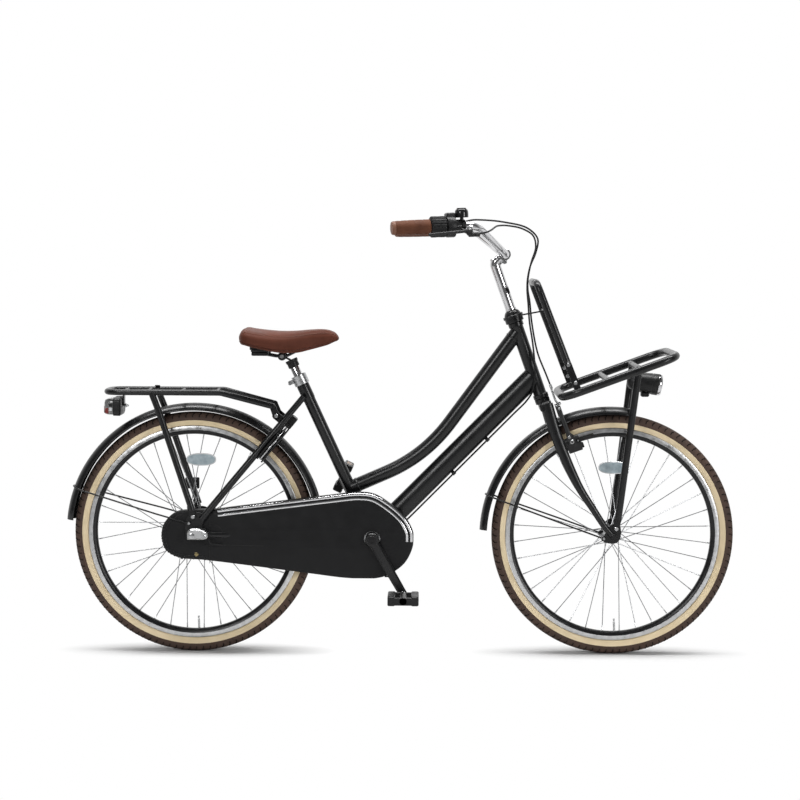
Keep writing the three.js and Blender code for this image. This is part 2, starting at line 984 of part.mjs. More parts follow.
// Shares of the dropout's reach, along X and Z from the axle
const dropoutShares = [
  [-0.3, -0.22],
  [0.1, -0.28],
  [0.62, -0.16],
  [0.66, 0.16],
  [0.42, 0.4],
  [0.55, 0.78],
  [0.36, 0.98],
  [0, 1],
  [-0.2, 0.86],
  [-0.34, 0.55],
];
function dropout(side, grow = 0) {
  const half = dropoutThickness / 2 + grow;
  const size = dropoutReach * (1 + grow / dropoutReach);
  const outline = dropoutShares.map(([x, z]) => [x * size, tyreRadius + z * size]);
  return plate(outline, side * (dropoutY - half), side * (dropoutY + half));
}

function chainStay(side, radius) {
  return bentTube(chainStayPoints(side), radius, dropoutReach, rodSides, 1);
}

function makeStays() {
  const axleRoom = rod(
    vector(0, -rearAxleHalf, tyreRadius),
    vector(0, rearAxleHalf, tyreRadius),
    boreRadius(rearAxleRadius + fit),
    roundSides,
  );
  const lower = mirrored((side) => join(chainStay(side, chainStayRadius), dropout(side)));
  const bridge = rod(
    vector(chainStayBridgeX, -chainStayNearY, bracketZ),
    vector(chainStayBridgeX, chainStayNearY, bracketZ),
    chainStayBridgeRadius,
  );
  const pinFoot = vector(standX, standY + standHeadHalf, standZ);
  const standPin = rod(vector(standX, 0, standZ), pinFoot, standPinRadius);
  const standPlate = block(
    vector(standX - standHeadRadius, 0, standZ - standPinRadius * 2),
    vector(standX + standHeadRadius, standY - standHeadHalf - fit, bracketZ),
  );
  const chainStays = join(...lower, bridge, standPlate, standPin);
  piece("chain_stays", cut(chainStays, axleRoom, shellRoom), gloss());

  const bridgeShare = fenderShare();
  const upper = mirrored((side) => {
    const stay = seatStay(side, seatStayRadius);
    const from = seatStayPoint(rackLugShare, side);
    const out = from.clone().addScaledVector(stayAhead, -rackLugOut);
    const half = vector(0, plateThickness / 2, 0);
    const eye = rod(out.clone().sub(half), out.clone().add(half), rackLugRadius);
    const web = bar(from, out, rectangle(plateThickness, rackLugRadius * 2));
    return cut(join(stay, eye, web), dropout(side, fit));
  });
  const seatBridge = cut(
    rod(
      seatStayPoint(bridgeShare, -1),
      seatStayPoint(bridgeShare, 1),
      seatStayBridgeRadius,
    ),
    rearFenderRoom(),
  );
  piece("seat_stays", cut(join(...upper, seatBridge), seatRoom), gloss());
}

function seatStay(side, radius) {
  const line = smooth(seatStayShares.map((share) => seatStayPoint(share, side)));
  return tube(line, radius, seatStaySteps);
}

function rectangle(width, height) {
  const w = width / 2;
  const h = height / 2;
  return [
    [-w, -h],
    [w, -h],
    [w, h],
    [-w, h],
  ];
}

// How far up the seat stays their bridge rests on the fender, which it is hollowed for
function fenderShare() {
  const wanted = rearFenderRadius + seatStayBridgeRadius / 2;
  let low = 0;
  let high = 1;
  for (let i = 0; i < halvings; i++) {
    const middle = (low + high) / 2;
    const away = seatStayPoint(middle, 0).distanceTo(rearAxle);
    if (away < wanted) low = middle;
    else high = middle;
  }
  return low;
}
makeStays();

// Wheels, made about the origin and set on their axles
function hubOutline(half, bore, endRadius, radius, flangeY, flangeRadius) {
  const near = flangeY - flangeWidth / 2;
  const far = flangeY + flangeWidth / 2;
  const right = [
    [bore, -half[0]],
    [endRadius, -half[0]],
    [endRadius, -far],
    [flangeRadius, -far],
    [flangeRadius, -near],
    [radius, -near + flangeWidth],
  ];
  const left = right.map(([r, y], i) => [r, i < 2 ? half[1] : -y]);
  return [...right, ...left.reverse()];
}

function spokeNet(side, flangeY, flangeRadius, turn, reflector) {
  const inner = flangeRadius - flangeWidth;
  const step = fullTurn / spokesPerSide;
  const rimStep = fullTurn / wheelSides;
  // The spokes pass the outer edge of the flange at a small gap
  const slope = (flangeY + flangeWidth) / (rimInnerRadius - flangeRadius);
  const headY = flangeY + flangeWidth / 2 + fit + spokeRadius + slope * flangeWidth;
  const rimFlat = rimInnerRadius * Math.cos(Math.PI / wheelSides);
  const spokes = [];
  for (let i = 0; i < spokesPerSide; i++) {
    const rimTurn = turn + i * step;
    const rimAngle = radians(rimTurn);
    const lean = radians(i % 2 ? -spokeCrossAngle : spokeCrossAngle);
    const at = (r, angle, y) => vector(r * Math.cos(angle), y, r * Math.sin(angle));
    // The inside of the rim is a polygon, whose flats the spokes end just short of
    const past = radians(rimTurn - Math.round(rimTurn / rimStep) * rimStep);
    const head = at(inner, rimAngle + lean, side * headY);
    const nipple = at(rimFlat - run, rimAngle, side * spokeRimOffset);
    const along = nipple.clone().sub(head).normalize();
    nipple.addScaledVector(along, rimFlat / Math.cos(past) - rimFlat);
    spokes.push(rod(head, nipple, spokeRadius, spokeFacets));
  }
  const net = join(...spokes);
  if (!reflector) return net;
  const [radius, angle] = reflector;
  const share = (rimInnerRadius - radius) / (rimInnerRadius - inner);
  const y = side * THREE.MathUtils.lerp(spokeRimOffset, headY, share);
  const outline = ellipse(reflectorLength / 2, reflectorHeight / 2, roundSides);
  const disc = outline.map(([x, z]) => [
    x + radius * Math.cos(radians(angle)),
    z + radius * Math.sin(radians(angle)),
  ]);
  return join(net, plate(disc, y - reflectorDepth / 2, y + reflectorDepth / 2));
}

function makeWheel(name, axle, hub, flangeY, flangeRadius, reflector) {
  const group = new THREE.Group();
  group.position.copy(axle);
  bicycle.add(group);
  const corner = Math.cos(Math.PI / wheelSides);
  const out = tyreRadius / corner;
  const bead = rimWidth / 2 - rimLip - fit;
  const tyreHeight = tyreRadius - rimSeatRadius;
  const half = tyreWidth / 2;
  const tyreRight = [
    [rimSeatRadius + run, -bead],
    [rimEdgeRadius + run, -bead],
    [rimSeatRadius + tyreHeight / 2, -half],
    [tyreRadius - tyreWall, -half + tyreWall / 2],
    [out, -treadWidth / 2],
  ];
  const tyreInside = [
    [tyreRadius - tyreWall, -treadWidth / 2],
    [rimSeatRadius + run, tyreWall / 2 - bead],
  ];
  const across = (points) => points.map(([r, y]) => [r, -y]).reverse();
  const tyre = [...tyreRight, ...across(tyreRight), ...across(tyreInside), ...tyreInside];
  const edge = rimWidth / 2;
  const rimRight = [
    [rimInnerRadius, -rimCrownWidth / 2],
    [rimBrakeRadius, -edge],
    [rimEdgeRadius, -edge],
    [rimEdgeRadius, rimLip - edge],
    [rimSeatRadius, rimLip - edge],
  ];
  const rimRing = turned([...rimRight, ...across(rimRight)], 0, 0, wheelSides);
  const valve = (r) =>
    vector(r * Math.cos(radians(valveAngle)), 0, r * Math.sin(radians(valveAngle)));
  const stem = rod(valve(rimInnerRadius - valveLength), valve(rimBrakeRadius), valveRadius);
  const step = fullTurn / spokesPerSide / 2;
  const first = (step - fullTurn / 2) / 2;
  piece(name + "_tyre", turned(tyre, 0, 0, wheelSides), tread(), group);
  piece(name + "_rim", join(rimRing, stem), silver(), group);
  piece(name + "_hub", turned(hub, 0, 0), silver(), group);
  const nets = [
    ["_spokes_right", -1, first, reflector],
    ["_spokes_left", 1, first + step, null],
  ];
  for (const [ending, side, turn, plateAt] of nets) {
    const net = spokeNet(side, flangeY, flangeRadius, turn, plateAt);
    piece(name + ending, net, steel(), group);
  }
  return group;
}

makeWheel(
  "rear",
  rearAxle,
  hubOutline(
    [rearHubRight, rearHubLeft],
    boreRadius(rearAxleRadius + run),
    rearHubEndRadius,
    rearHubRadius,
    rearFlangeY,
    rearFlangeRadius,
  ),
  rearFlangeY,
  rearFlangeRadius,
  [rearReflectorRadius, rearReflectorAngle],
);
makeWheel(
  "front",
  frontAxle,
  hubOutline(
    [frontHubHalf, frontHubHalf],
    boreRadius(frontAxleRadius + run),
    frontHubEndRadius,
    frontHubRadius,
    frontFlangeY,
    frontFlangeRadius,
  ),
  frontFlangeY,
  frontFlangeRadius,
  [frontReflectorRadius, frontReflectorAngle],
);

// Rear axle, with the coaster brake's arm and the shifting bellcrank
// Shares of the bellcrank's reach and height
const bellcrankShares = [
  [-0.3, -0.5],
  [0.7, -0.5],
  [1, -0.2],
  [1, 0.4],
  [0.3, 1],
  [-0.3, 0.7],
];

// The outline round two circles in the XZ plane
function around([x1, z1], r1, [x2, z2], r2, sides = hullSteps) {
  const way = Math.atan2(z2 - z1, x2 - x1);
  const lean = Math.acos((r1 - r2) / Math.hypot(x2 - x1, z2 - z1));
  const arc = (x, z, r, from, to) =>
    Array.from({ length: sides + 1 }, (_, i) => {
      const angle = THREE.MathUtils.lerp(from, to, i / sides);
      return [x + r * Math.cos(angle), z + r * Math.sin(angle)];
    });
  return [
    ...arc(x2, z2, r2, way - lean, way + lean),
    ...arc(x1, z1, r1, way + lean, way - lean + 2 * Math.PI),
  ];
}

const disc = (x, z, radius, fromY, toY, sides = roundSides) =>
  rod(vector(x, fromY, z), vector(x, toY, z), radius, sides);

function makeRearAxle() {
  const faceIn = dropoutY - dropoutThickness / 2 - fit;
  const faceOut = dropoutY + dropoutThickness / 2 + fit;
  const axle = disc(0, tyreRadius, rearAxleRadius, -bellcrankOuterY + fit, rearAxleHalf);
  const rightCone = disc(0, tyreRadius, coneRadius, -faceIn, -sprocketCollarRight - run);
  const leftCone = disc(0, tyreRadius, coneRadius, rearHubLeft + run, faceIn);
  const rightNut = disc(0, tyreRadius, nutRadius, -faceOut - nutLength, -faceOut, nutSides);
  const leftNut = disc(0, tyreRadius, nutRadius, faceOut, faceOut + nutLength, nutSides);
  const knee = [coasterArmKnee[0], tyreRadius + coasterArmKnee[1]];
  const end = [coasterArmEnd[0], tyreRadius + coasterArmEnd[1]];
  const wide = coasterArmWidth / 2;
  const armNear = around([0, tyreRadius], wide * 2, knee, wide);
  const armFar = around(knee, wide, end, wide);
  const arm = join(
    plate(armNear, coasterArmInnerY, coasterArmOuterY),
    plate(armFar, coasterArmInnerY, coasterArmOuterY),
  );
  const crankOutline = bellcrankShares.map(([x, z]) => [
    x * bellcrankReach,
    tyreRadius + z * bellcrankHeight,
  ]);
  const bellcrank = plate(crankOutline, -bellcrankOuterY, -bellcrankInnerY);
  const solid = join(axle, rightCone, leftCone, rightNut, leftNut, arm, bellcrank);
  piece("rear_axle", solid, steel());
}
makeRearAxle();

// Sprocket, chainring and chain
function toothed(teeth) {
  const pitchRadius = chainPitch / (2 * Math.sin(Math.PI / teeth));
  const shares = [
    [0, toothHeight],
    [0.5, -toothRoot],
  ];
  const outline = [];
  for (let i = 0; i < teeth; i++)
    for (const [turn, rise] of shares) {
      const angle = ((i + turn) * 2 * Math.PI) / teeth;
      const radius = pitchRadius + rise;
      outline.push([radius * Math.cos(angle), radius * Math.sin(angle)]);
    }
  return { pitchRadius, outline };
}
const shifted = (outline, x, z) => outline.map(([a, b]) => [a + x, b + z]);
const chainring = toothed(chainringTeeth);
const sprocket = toothed(sprocketTeeth);

function makeSprocket() {
  const half = toothThickness / 2;
  const outline = shifted(sprocket.outline, 0, tyreRadius);
  const ring = plate(outline, -chainLineY - half, -chainLineY + half);
  const collar = disc(
    0,
    tyreRadius,
    sprocketCollarRadius,
    -sprocketCollarRight,
    -rearHubRight - run,
  );
  const bore = disc(
    0,
    tyreRadius,
    boreRadius(rearAxleRadius + run),
    -sprocketCollarRight - overrun,
    -rearHubRight + overrun,
  );
  piece("rear_sprocket", cut(join(ring, collar), bore), steel());
}
makeSprocket();

function makeChain() {
  const gap = Math.hypot(bracketX, bracketZ - tyreRadius);
  const tilt = Math.atan2(bracketZ - tyreRadius, bracketX);
  const wrap = Math.asin((chainring.pitchRadius - sprocket.pitchRadius) / gap);
  const ends = [
    [bracketX, bracketZ, chainring.pitchRadius, -Math.PI / 2 - wrap, Math.PI / 2 + wrap, chainFrontSteps],
    [0, tyreRadius, sprocket.pitchRadius, Math.PI / 2 + wrap, (3 * Math.PI) / 2 - wrap, chainRearSteps],
  ];
  const stations = [];
  for (const [x, z, radius, from, to, steps] of ends) {
    const half = (to - from) / steps / 2;
    for (let i = 0; i < steps; i++) {
      const angle = tilt + from + half * (2 * i + 1);
      const v = vector(Math.cos(angle), 0, Math.sin(angle));
      const at = vector(x, -chainLineY, z).addScaledVector(v, radius / Math.cos(half));
      stations.push({ at, u: acrossY, v });
    }
  }
  const w = chainWidth / 2;
  const slot = chainSlotWidth / 2;
  const top = chainHalfHeight;
  const web = chainHalfHeight - chainWeb;
  const section = [
    [-w, -top],
    [-w, top],
    [w, top],
    [w, -top],
    [slot, -top],
    [slot, web],
    [-slot, web],
    [-slot, -top],
  ];
  piece("chain", sweep(section, stations, true), steel());
}
makeChain();

// Cranks and pedals
const crankDirection = vector(Math.cos(radians(crankAngle)), 0, Math.sin(radians(crankAngle)));

function crank(side) {
  const end = bracket.clone().addScaledVector(crankDirection, -side * crankLength);
  const inner = side * (crankY - crankHalfThickness);
  const outer = side * (crankY + crankHalfThickness);
  const outline = around(
    [bracketX, bracketZ],
    crankBossRadius,
    [end.x, end.z],
    crankEndRadius,
  );
  const arm = plate(outline, inner, outer);
  const spindle = disc(
    end.x,
    end.z,
    pedalSpindleRadius,
    side * crankY,
    side * (pedalY + pedalHalfWidth - pedalPlate),
    rodSides,
  );
  return { solid: join(arm, spindle), end };
}

function makeCranks() {
  const right = crank(-1);
  const left = crank(1);
  const half = toothThickness / 2;
  const ring = plate(
    shifted(chainring.outline, bracketX, bracketZ),
    -chainLineY - half,
    -chainLineY + half,
  );
  const boss = disc(bracketX, bracketZ, crankBossRadius, -crankY, -chainLineY + half);
  const bore = disc(
    bracketX,
    bracketZ,
    boreRadius(bracketAxleRadius + fit),
    -crankY - crankHalfThickness - overrun,
    overrun - chainLineY,
  );
  const face = crankY + crankHalfThickness + fit;
  const axle = disc(bracketX, bracketZ, bracketAxleRadius, -face, crankY);
  const cap = disc(bracketX, bracketZ, crankBossHalf, -face - toothHeight, -face);
  piece("crank_right", cut(join(right.solid, ring, boss), bore), silver());
  piece("crank_left", join(left.solid, axle, cap), silver());
  return [right.end, left.end];
}
const [rightPedalEnd, leftPedalEnd] = makeCranks();

function makePedal(name, side, end, tilt) {
  const along = [Math.cos(radians(tilt)), Math.sin(radians(tilt))];
  const place = ([a, b]) => [end.x + a * along[0] - b * along[1], end.z + a * along[1] + b * along[0]];
  const low = pedalHalfLength - pedalBarWidth;
  const cheek = [
    [-pedalHalfLength, -pedalHalfHeight],
    [pedalHalfLength, -pedalHalfHeight],
    [pedalHalfLength, pedalHalfHeight],
    [low, pedalHalfHeight],
    [0, pedalBarrelRadius],
    [-low, pedalHalfHeight],
    [-pedalHalfLength, pedalHalfHeight],
  ].map(place);
  const tread = (way) =>
    [
      [way * low, -pedalHalfHeight],
      [way * pedalHalfLength, -pedalHalfHeight],
      [way * pedalHalfLength, pedalHalfHeight],
      [way * low, pedalHalfHeight],
    ].map(place);
  const from = side * (pedalY - pedalHalfWidth);
  const to = side * (pedalY + pedalHalfWidth);
  const thick = side * pedalPlate;
  const body = join(
    plate(cheek, from, from + thick),
    plate(cheek, to - thick, to),
    plate(tread(-1), from, to),
    plate(tread(1), from, to),
    disc(end.x, end.z, pedalBarrelRadius, from, to),
  );
  const bore = disc(
    end.x,
    end.z,
    boreRadius(pedalSpindleRadius + run),
    from - side * overrun,
    to - thick + side * run,
  );
  piece(name, cut(body, bore), rubber());
}
makePedal("pedal_right", -1, rightPedalEnd, rightPedalAngle);
makePedal("pedal_left", 1, leftPedalEnd, leftPedalAngle);

// Chain case
const caseShares = [
  [0.078, 0.777],
  [0.224, 0.798],
  [0.279, 0.82],
  [0.521, 0.91],
  [0.683, 0.97],
  [0.779, 1],
  [0.844, 0.979],
  [0.907, 0.871],
  [0.965, 0.721],
  [0.993, 0.584],
  [1, 0.515],
  [0.997, 0.369],
  [0.965, 0.18],
  [0.9, 0.043],
  [0.844, 0],
  [0.737, 0.004],
  [0.586, 0.056],
  [0.174, 0.202],
  [0.078, 0.223],
  [0.038, 0.268],
  [0.014, 0.33],
  [0.003, 0.42],
  [0, 0.5],
  [0.008, 0.61],
  [0.03, 0.7],
  [0.053, 0.75],
];
const trimSkipCount = 1;
const trimEndCount = 11;

// Moves every edge of an outline inwards by the same amount.
function inset(outline, depth) {
  const way = Math.sign(signedArea(outline));
  const n = outline.length;
  return outline.map(([x, z], i) => {
    const [x0, z0] = outline[(i + n - 1) % n];
    const [x1, z1] = outline[(i + 1) % n];
    const before = new THREE.Vector2(z0 - z, x - x0).normalize();
    const after = new THREE.Vector2(z - z1, x1 - x).normalize();
    const middle = before.clone().add(after).normalize();
    const reach = (way * depth) / middle.dot(after);
    return [x + middle.x * reach, z + middle.y * reach];
  });
}

function makeCase() {
  const width = caseRearOver + bracketX + caseFrontOver;
  const height = caseTopOver + caseBottomUnder;
  const outline = caseShares.map(([x, z]) => [
    x * width - caseRearOver,
    bracketZ - caseBottomUnder + z * height,
  ]);
  const hollow = inset(outline, caseSkin);
  const stayRoom = chainStay(-1, chainStayRadius + caseStayGap);
  const upperStayRoom = rod(
    seatStayPoint(0, -1).addScaledVector(stayDirection, -seatStayRadius),
    seatStayPoint(seatStayBendShare, -1),
    seatStayRadius + caseStayGap,
  );
  const cableRoom = cable(shiftCablePoints, shiftCableRadius + caseStayGap);
  const hole = (x, z, radius) => disc(x, z, radius, -caseOuterY - overrun, overrun - caseInnerY);
  const cover = cut(
    plate(outline, -caseOuterY, -caseSplitY - fit),
    plate(hollow, caseSkin - caseOuterY, overrun - caseSplitY),
    upperStayRoom,
    stayRoom,
    cableRoom,
    hole(0, tyreRadius, coverAxleHole),
    hole(bracketX, bracketZ, caseCrankHole),
  );
  const back = cut(
    plate(outline, -caseSplitY, -caseInnerY),
    plate(hollow, -caseSplitY - overrun, -caseInnerY - caseSkin),
    stayRoom,
    cableRoom,
    hole(0, tyreRadius, caseAxleHole),
    hole(bracketX, bracketZ, caseCrankHole),
  );
  const outer = inset(outline, trimInset).slice(trimSkipCount, trimEndCount);
  const inner = inset(outline, trimInset + trimWidth).slice(trimSkipCount, trimEndCount);
  const band = [...outer, ...inner.reverse()];
  const trim = plate(band, -caseOuterY - fit - trimDepth, -caseOuterY - fit);
  piece("chain_case_cover", cover, matte());
  piece("chain_case_back", back, matte());
  piece("chain_case_trim", trim, silver());
}

function cable(points, radius) {
  const curve = smooth(points.map((p) => vector(...p)));
  return tube(curve, radius, points.length - 1, cableSides);
}
makeCase();
piece("shift_cable", cable(shiftCablePoints, shiftCableRadius), rubber());

// Fenders
const frontFenderMiddle = frontAxle
  .clone()
  .add(vector(frontFenderShiftX, 0, frontFenderShiftZ));
const rearFender = [rearAxle, rearFenderRadius, rearFenderFrontAngle, rearFenderRearAngle];
const frontFender = [frontFenderMiddle, frontFenderRadius, frontFenderFrontAngle, frontFenderRearAngle];
piece("rear_fender", fenderShell(rearFender), gloss());
piece("front_fender", fenderShell(frontFender), gloss());

// A wire through points, mitred at each.
function wire(points, radius, sides = cableSides) {
  let near;
  const stations = points.map((at, i) => {
    const before = points[Math.max(i - 1, 0)];
    const after = points[Math.min(i + 1, points.length - 1)];
    const direction = after.clone().sub(before).normalize();
    const [u, v] = squareTo(direction, near);
    near = u;
    return { at, u, v };
  });
  return sweep(circle(radius, sides), stations);
}

function makeFenderStay(name, foot, fender, angle) {
  const [middle, radius, from, to] = fender;
  const v = vector(Math.cos(radians(angle)), 0, Math.sin(radians(angle)));
  // Between two stations the fender is a chord, which lies a little lower
  const step = (to - from) / fenderSteps;
  const past = ((angle - from) % step) - step / 2;
  const crest = (radius * Math.cos(radians(step / 2))) / Math.cos(radians(past));
  const centre = middle.clone().addScaledVector(v, crest - fenderArc);
  const wireFlat = stayWireRadius * Math.cos(Math.PI / cableSides);
  const clear = (fenderArc + fit + wireFlat) / Math.cos(Math.PI / stayWireSteps / 2);
  const over = Array.from({ length: stayWireSteps - 1 }, (_, i) => {
    const turn = ((i + 1) / stayWireSteps - 1 / 2) * Math.PI;
    return centre
      .clone()
      .addScaledVector(v, clear * Math.cos(turn))
      .addScaledVector(acrossY, clear * Math.sin(turn));
  });
  const right = vector(foot.x, -foot.y, foot.z);
  // A knee keeps the wire outside the chain case and the dropout
  const first = over[over.length - 1];
  const knee = foot.clone().lerp(first, stayKneeRun / foot.distanceTo(first));
  knee.y = foot.y - stayWireRadius;
  const rightKnee = vector(knee.x, -knee.y, knee.z);
  const eye = (side) =>
    disc(foot.x, foot.z, boltRadius, side * (foot.y - stayWireRadius), side * (foot.y + stayWireRadius));
  const solid = join(wire([right, rightKnee, ...over, knee, foot], stayWireRadius), eye(-1), eye(1));
  piece(name, solid, gloss());
}
const outsideRearDropout = dropoutY + dropoutThickness / 2 + fit;
makeFenderStay(
  "rear_fender_stay",
  vector(stayBoltX, outsideRearDropout + stayWireRadius, stayBoltZ),
  rearFender,
  rearStayAngle,
);
const outsideForkDropout = bladeFootY + forkDropoutThickness / 2 + fit;
makeFenderStay(
  "front_fender_stay",
  vector(
    wheelbase + frontStayBoltX,
    outsideForkDropout + stayWireRadius,
    tyreRadius + frontStayBoltZ,
  ),
  frontFender,
  frontStayAngle,
);

// Rear carrier
function makeRearRack() {
  const tabInner = seatStayPoint(rackLugShare, 1).y + plateThickness / 2 + fit;
  const lug = seatStayPoint(rackLugShare, 0).addScaledVector(stayAhead, -rackLugOut);
  const rail = [
    vector(rackFrontX, -rackFrontY, rackFrontZ),
    vector(rackBendX, -rackRailY, rackZ),
    vector(rackRearX, -rackRailY, rackZ),
    vector(rackRearX, rackRailY, rackZ),
    vector(rackBendX, rackRailY, rackZ),
    vector(rackFrontX, rackFrontY, rackFrontZ),
  ];
  const solids = [bentTube(rail, rackRailRadius, rackCornerRadius, thinSides)];
  for (const x of rackBarXs)
    solids.push(rod(vector(x, -rackRailY, rackZ), vector(x, rackRailY, rackZ), rackBarRadius, cableSides));
  for (const side of [-1, 1]) {
    const foot = vector(0, side * rackStrutFootY, tyreRadius + dropoutReach + boltRadius);
    const strut = [
      vector(rackStrutTopX, side * rackRailY, rackZ),
      vector(rackStrutKneeX, side * (rackRailY + plateThickness), rackStrutKneeZ),
      foot,
    ];
    solids.push(bentTube(strut, rackStrutRadius, rackCornerRadius, thinSides, 1));
    const tab = around(
      [strutBoltX, strutBoltZ],
      nutRadius,
      [foot.x - boltRadius, foot.z + rackStrutRadius],
      nutRadius,
    );
    const inner = side * outsideRearDropout;
    solids.push(plate(tab, inner, inner + side * plateThickness));
    const head = inner + side * (plateThickness + boltHeight);
    solids.push(disc(strutBoltX, strutBoltZ, boltRadius, inner, head, nutSides));
    const frontTab = around(
      [lug.x, lug.z],
      nutRadius,
      [rackFrontX, rackFrontZ],
      rackRailRadius,
    );
    solids.push(plate(frontTab, side * tabInner, side * (tabInner + plateThickness)));
    const frontHead = side * (tabInner + plateThickness + boltHeight);
    solids.push(disc(lug.x, lug.z, boltRadius, side * tabInner, frontHead, nutSides));
  }
  const lampFace = lampRearX + lampRearDepth + fit;
  solids.push(
    block(
      vector(lampFace, -lampRearHalfWidth / 4, lampRearTopZ - lampRearHeight / 2),
      vector(lampFace + plateThickness, lampRearHalfWidth / 4, rackZ),
    ),
  );
  piece("rear_rack", join(...solids), gloss());
}
makeRearRack();

function makeRearLamp() {
  const rounding = lampRearHeight / 4;
  const w = lampRearHalfWidth;
  const bottom = lampRearTopZ - lampRearHeight;
  const outline = [
    [-w, bottom + rounding],
    [rounding - w, bottom],
    [w - rounding, bottom],
    [w, bottom + rounding],
    [w, lampRearTopZ - rounding],
    [w - rounding, lampRearTopZ],
    [rounding - w, lampRearTopZ],
    [-w, lampRearTopZ - rounding],
  ];
  const small = inset(outline, rounding / 2);
  const at = (x, section) => ({ at: vector(x, 0, 0), u: acrossY, v: upwards, section });
  const stations = [
    at(lampRearX, small),
    at(lampRearX + rounding, outline),
    at(lampRearX + lampRearDepth - rounding, outline),
    at(lampRearX + lampRearDepth, small),
  ];
  piece("rear_lamp", sweep(outline, stations), red());
}
makeRearLamp();

// The strap with its clip on the left strut
function makeStrap() {
  const out = (y) => y + rackStrutRadius + fit + run + strapThickness / 2;
  const footZ = tyreRadius + dropoutReach + boltRadius;
  const down = (share) => {
    const x = THREE.MathUtils.lerp(rackStrutKneeX, 0, share);
    const y = THREE.MathUtils.lerp(rackRailY + plateThickness, rackStrutFootY, share);
    return vector(x, out(y), THREE.MathUtils.lerp(rackStrutKneeZ, footZ, share));
  };
  const clipShare = (rackStrutKneeZ - strapClipZ) / (rackStrutKneeZ - footZ);
  const over = rackRailRadius + fit + strapThickness / 2 + run;
  const corner = over / Math.SQRT2 + run;
  const hookX = rackStrutTopX;
  const route = [
    [vector(hookX, rackRailY - rackRailRadius, rackZ + over), upwards],
    [vector(hookX, rackRailY, rackZ + over), upwards],
    [vector(hookX, rackRailY + corner, rackZ + corner), vector(0, 1, 1).normalize()],
    [vector(hookX, rackRailY + over, rackZ), acrossY],
    [vector(rackStrutKneeX, out(rackRailY + plateThickness), rackStrutKneeZ), acrossY],
    [down(clipShare), acrossY],
  ];
  const stations = route.map(([at, v], i) => {
    const before = route[Math.max(i - 1, 0)][0];
    const after = route[Math.min(i + 1, route.length - 1)][0];
    const direction = after.clone().sub(before).normalize();
    return { at, u: direction.clone().cross(v).normalize(), v };
  });
  const band = sweep(rectangle(strapWidth, strapThickness), stations);
  const clipAt = down(clipShare);
  const clipHalf = strapClipLength / 2;
  const clipInner = clipAt.y - strapThickness / 2;
  const clip = block(
    vector(clipAt.x - clipHalf, clipInner, clipAt.z - strapClipHeight / 2),
    vector(clipAt.x + clipHalf, clipInner + strapClipDepth, clipAt.z + strapClipHeight / 2),
  );
  const hookFrom = (way) =>
    vector(clipAt.x + (way * clipHalf) / 2, clipInner + strapThickness, clipAt.z);
  const hookTo = (way) =>
    vector(
      strutBoltX - way * boltRadius,
      clipInner + strapThickness,
      strutBoltZ - boltRadius - strapHookRadius,
    );
  const hooks = [-1, 1].map((way) => rod(hookFrom(way), hookTo(way), strapHookRadius, cableSides));
  const link = rod(hookTo(-1), hookTo(1), strapHookRadius, cableSides);
  piece("carrier_strap", join(band, clip, ...hooks, link), rubber());
}
makeStrap();

// Ring lock
function makeRingLock() {
  const middle = rearAxle
    .clone()
    .add(vector(seatStayPoint(lockShare, 0).x, 0, seatStayPoint(lockShare, 0).z - tyreRadius))
    .addScaledVector(stayAhead, seatStayRadius + lockHalfDepth - lockSeat);
  const place = (angle) =>
    stayDirection
      .clone()
      .multiplyScalar(Math.cos(radians(angle)))
      .addScaledVector(acrossY, Math.sin(radians(angle)));
  const section = [
    [-lockHalfDepth, lockInner],
    [lockHalfDepth, lockInner],
    [lockHalfDepth, lockOuter],
    [lockGrooveHalf, lockOuter],
    [lockGrooveHalf, lockGrooveInner],
    [-lockGrooveHalf, lockGrooveInner],
    [-lockGrooveHalf, lockOuter],
    [-lockHalfDepth, lockOuter],
  ];
  const arc = (from, to, steps) =>
    Array.from({ length: steps + 1 }, (_, i) => ({
      at: middle,
      u: stayAhead,
      v: place(THREE.MathUtils.lerp(from, to, i / steps)),
    }));
  const ring = sweep(section, arc(-lockArmAngle, lockArmAngle, lockSteps));
  const at = (along, y, ahead) =>
    middle
      .clone()
      .addScaledVector(stayDirection, along)
      .addScaledVector(acrossY, y)
      .addScaledVector(stayAhead, ahead);
  const body = bar(
    at(lockBlockFrom, lockBlockY, 0),
    at(lockBlockTo, lockBlockY, 0),
    rectangle(lockBlockHalf * 2, lockHalfDepth * 2),
  );
  // Its back is hollowed where it rests on the seat stays
  const stayRooms = mirrored((side) => seatStay(side, fitRound(seatStayRadius, rodSides)));
  piece("ring_lock", cut(join(ring, body), ...stayRooms), matte());

  const from = -lockBoltEndAngle - lockBoltSpanAngle;
  const bolt = circle(lockBoltRadius, thinSides).map(([a, b]) => [a, b + lockRadius]);
  const rodArc = sweep(bolt, arc(from, -lockBoltEndAngle, lockBoltSteps));
  const knobWay = place(lockKnobAngle);
  const knobAt = (r) => middle.clone().addScaledVector(knobWay, r);
  const knob = rod(knobAt(lockRadius), knobAt(lockKnobTop), lockKnobRadius);
  piece("ring_lock_bolt", join(rodArc, knob), steel());
}
makeRingLock();

// Kickstand
function makeKickstand() {
  const from = standY - standHeadHalf;
  const to = standY + standHeadHalf;
  const head = disc(standX, standZ, standHeadRadius, from, to);
  const tip = vector(standX - standLength, standY + standLength * standSplayShare, standZ);
  const start = vector(standX, standY, standZ);
  const back = tip.clone().sub(start).normalize();
  const leg = rod(start, tip, standLegRadius);
  const foot = rod(
    tip.clone().addScaledVector(back, -standFootLength),
    tip,
    standFootRadius,
  );
  const bore = disc(
    standX,
    standZ,
    boreRadius(standPinRadius + fit),
    from - overrun,
    to + overrun,
  );
  piece("kickstand", cut(join(head, leg, foot), bore), gloss());
}
makeKickstand();

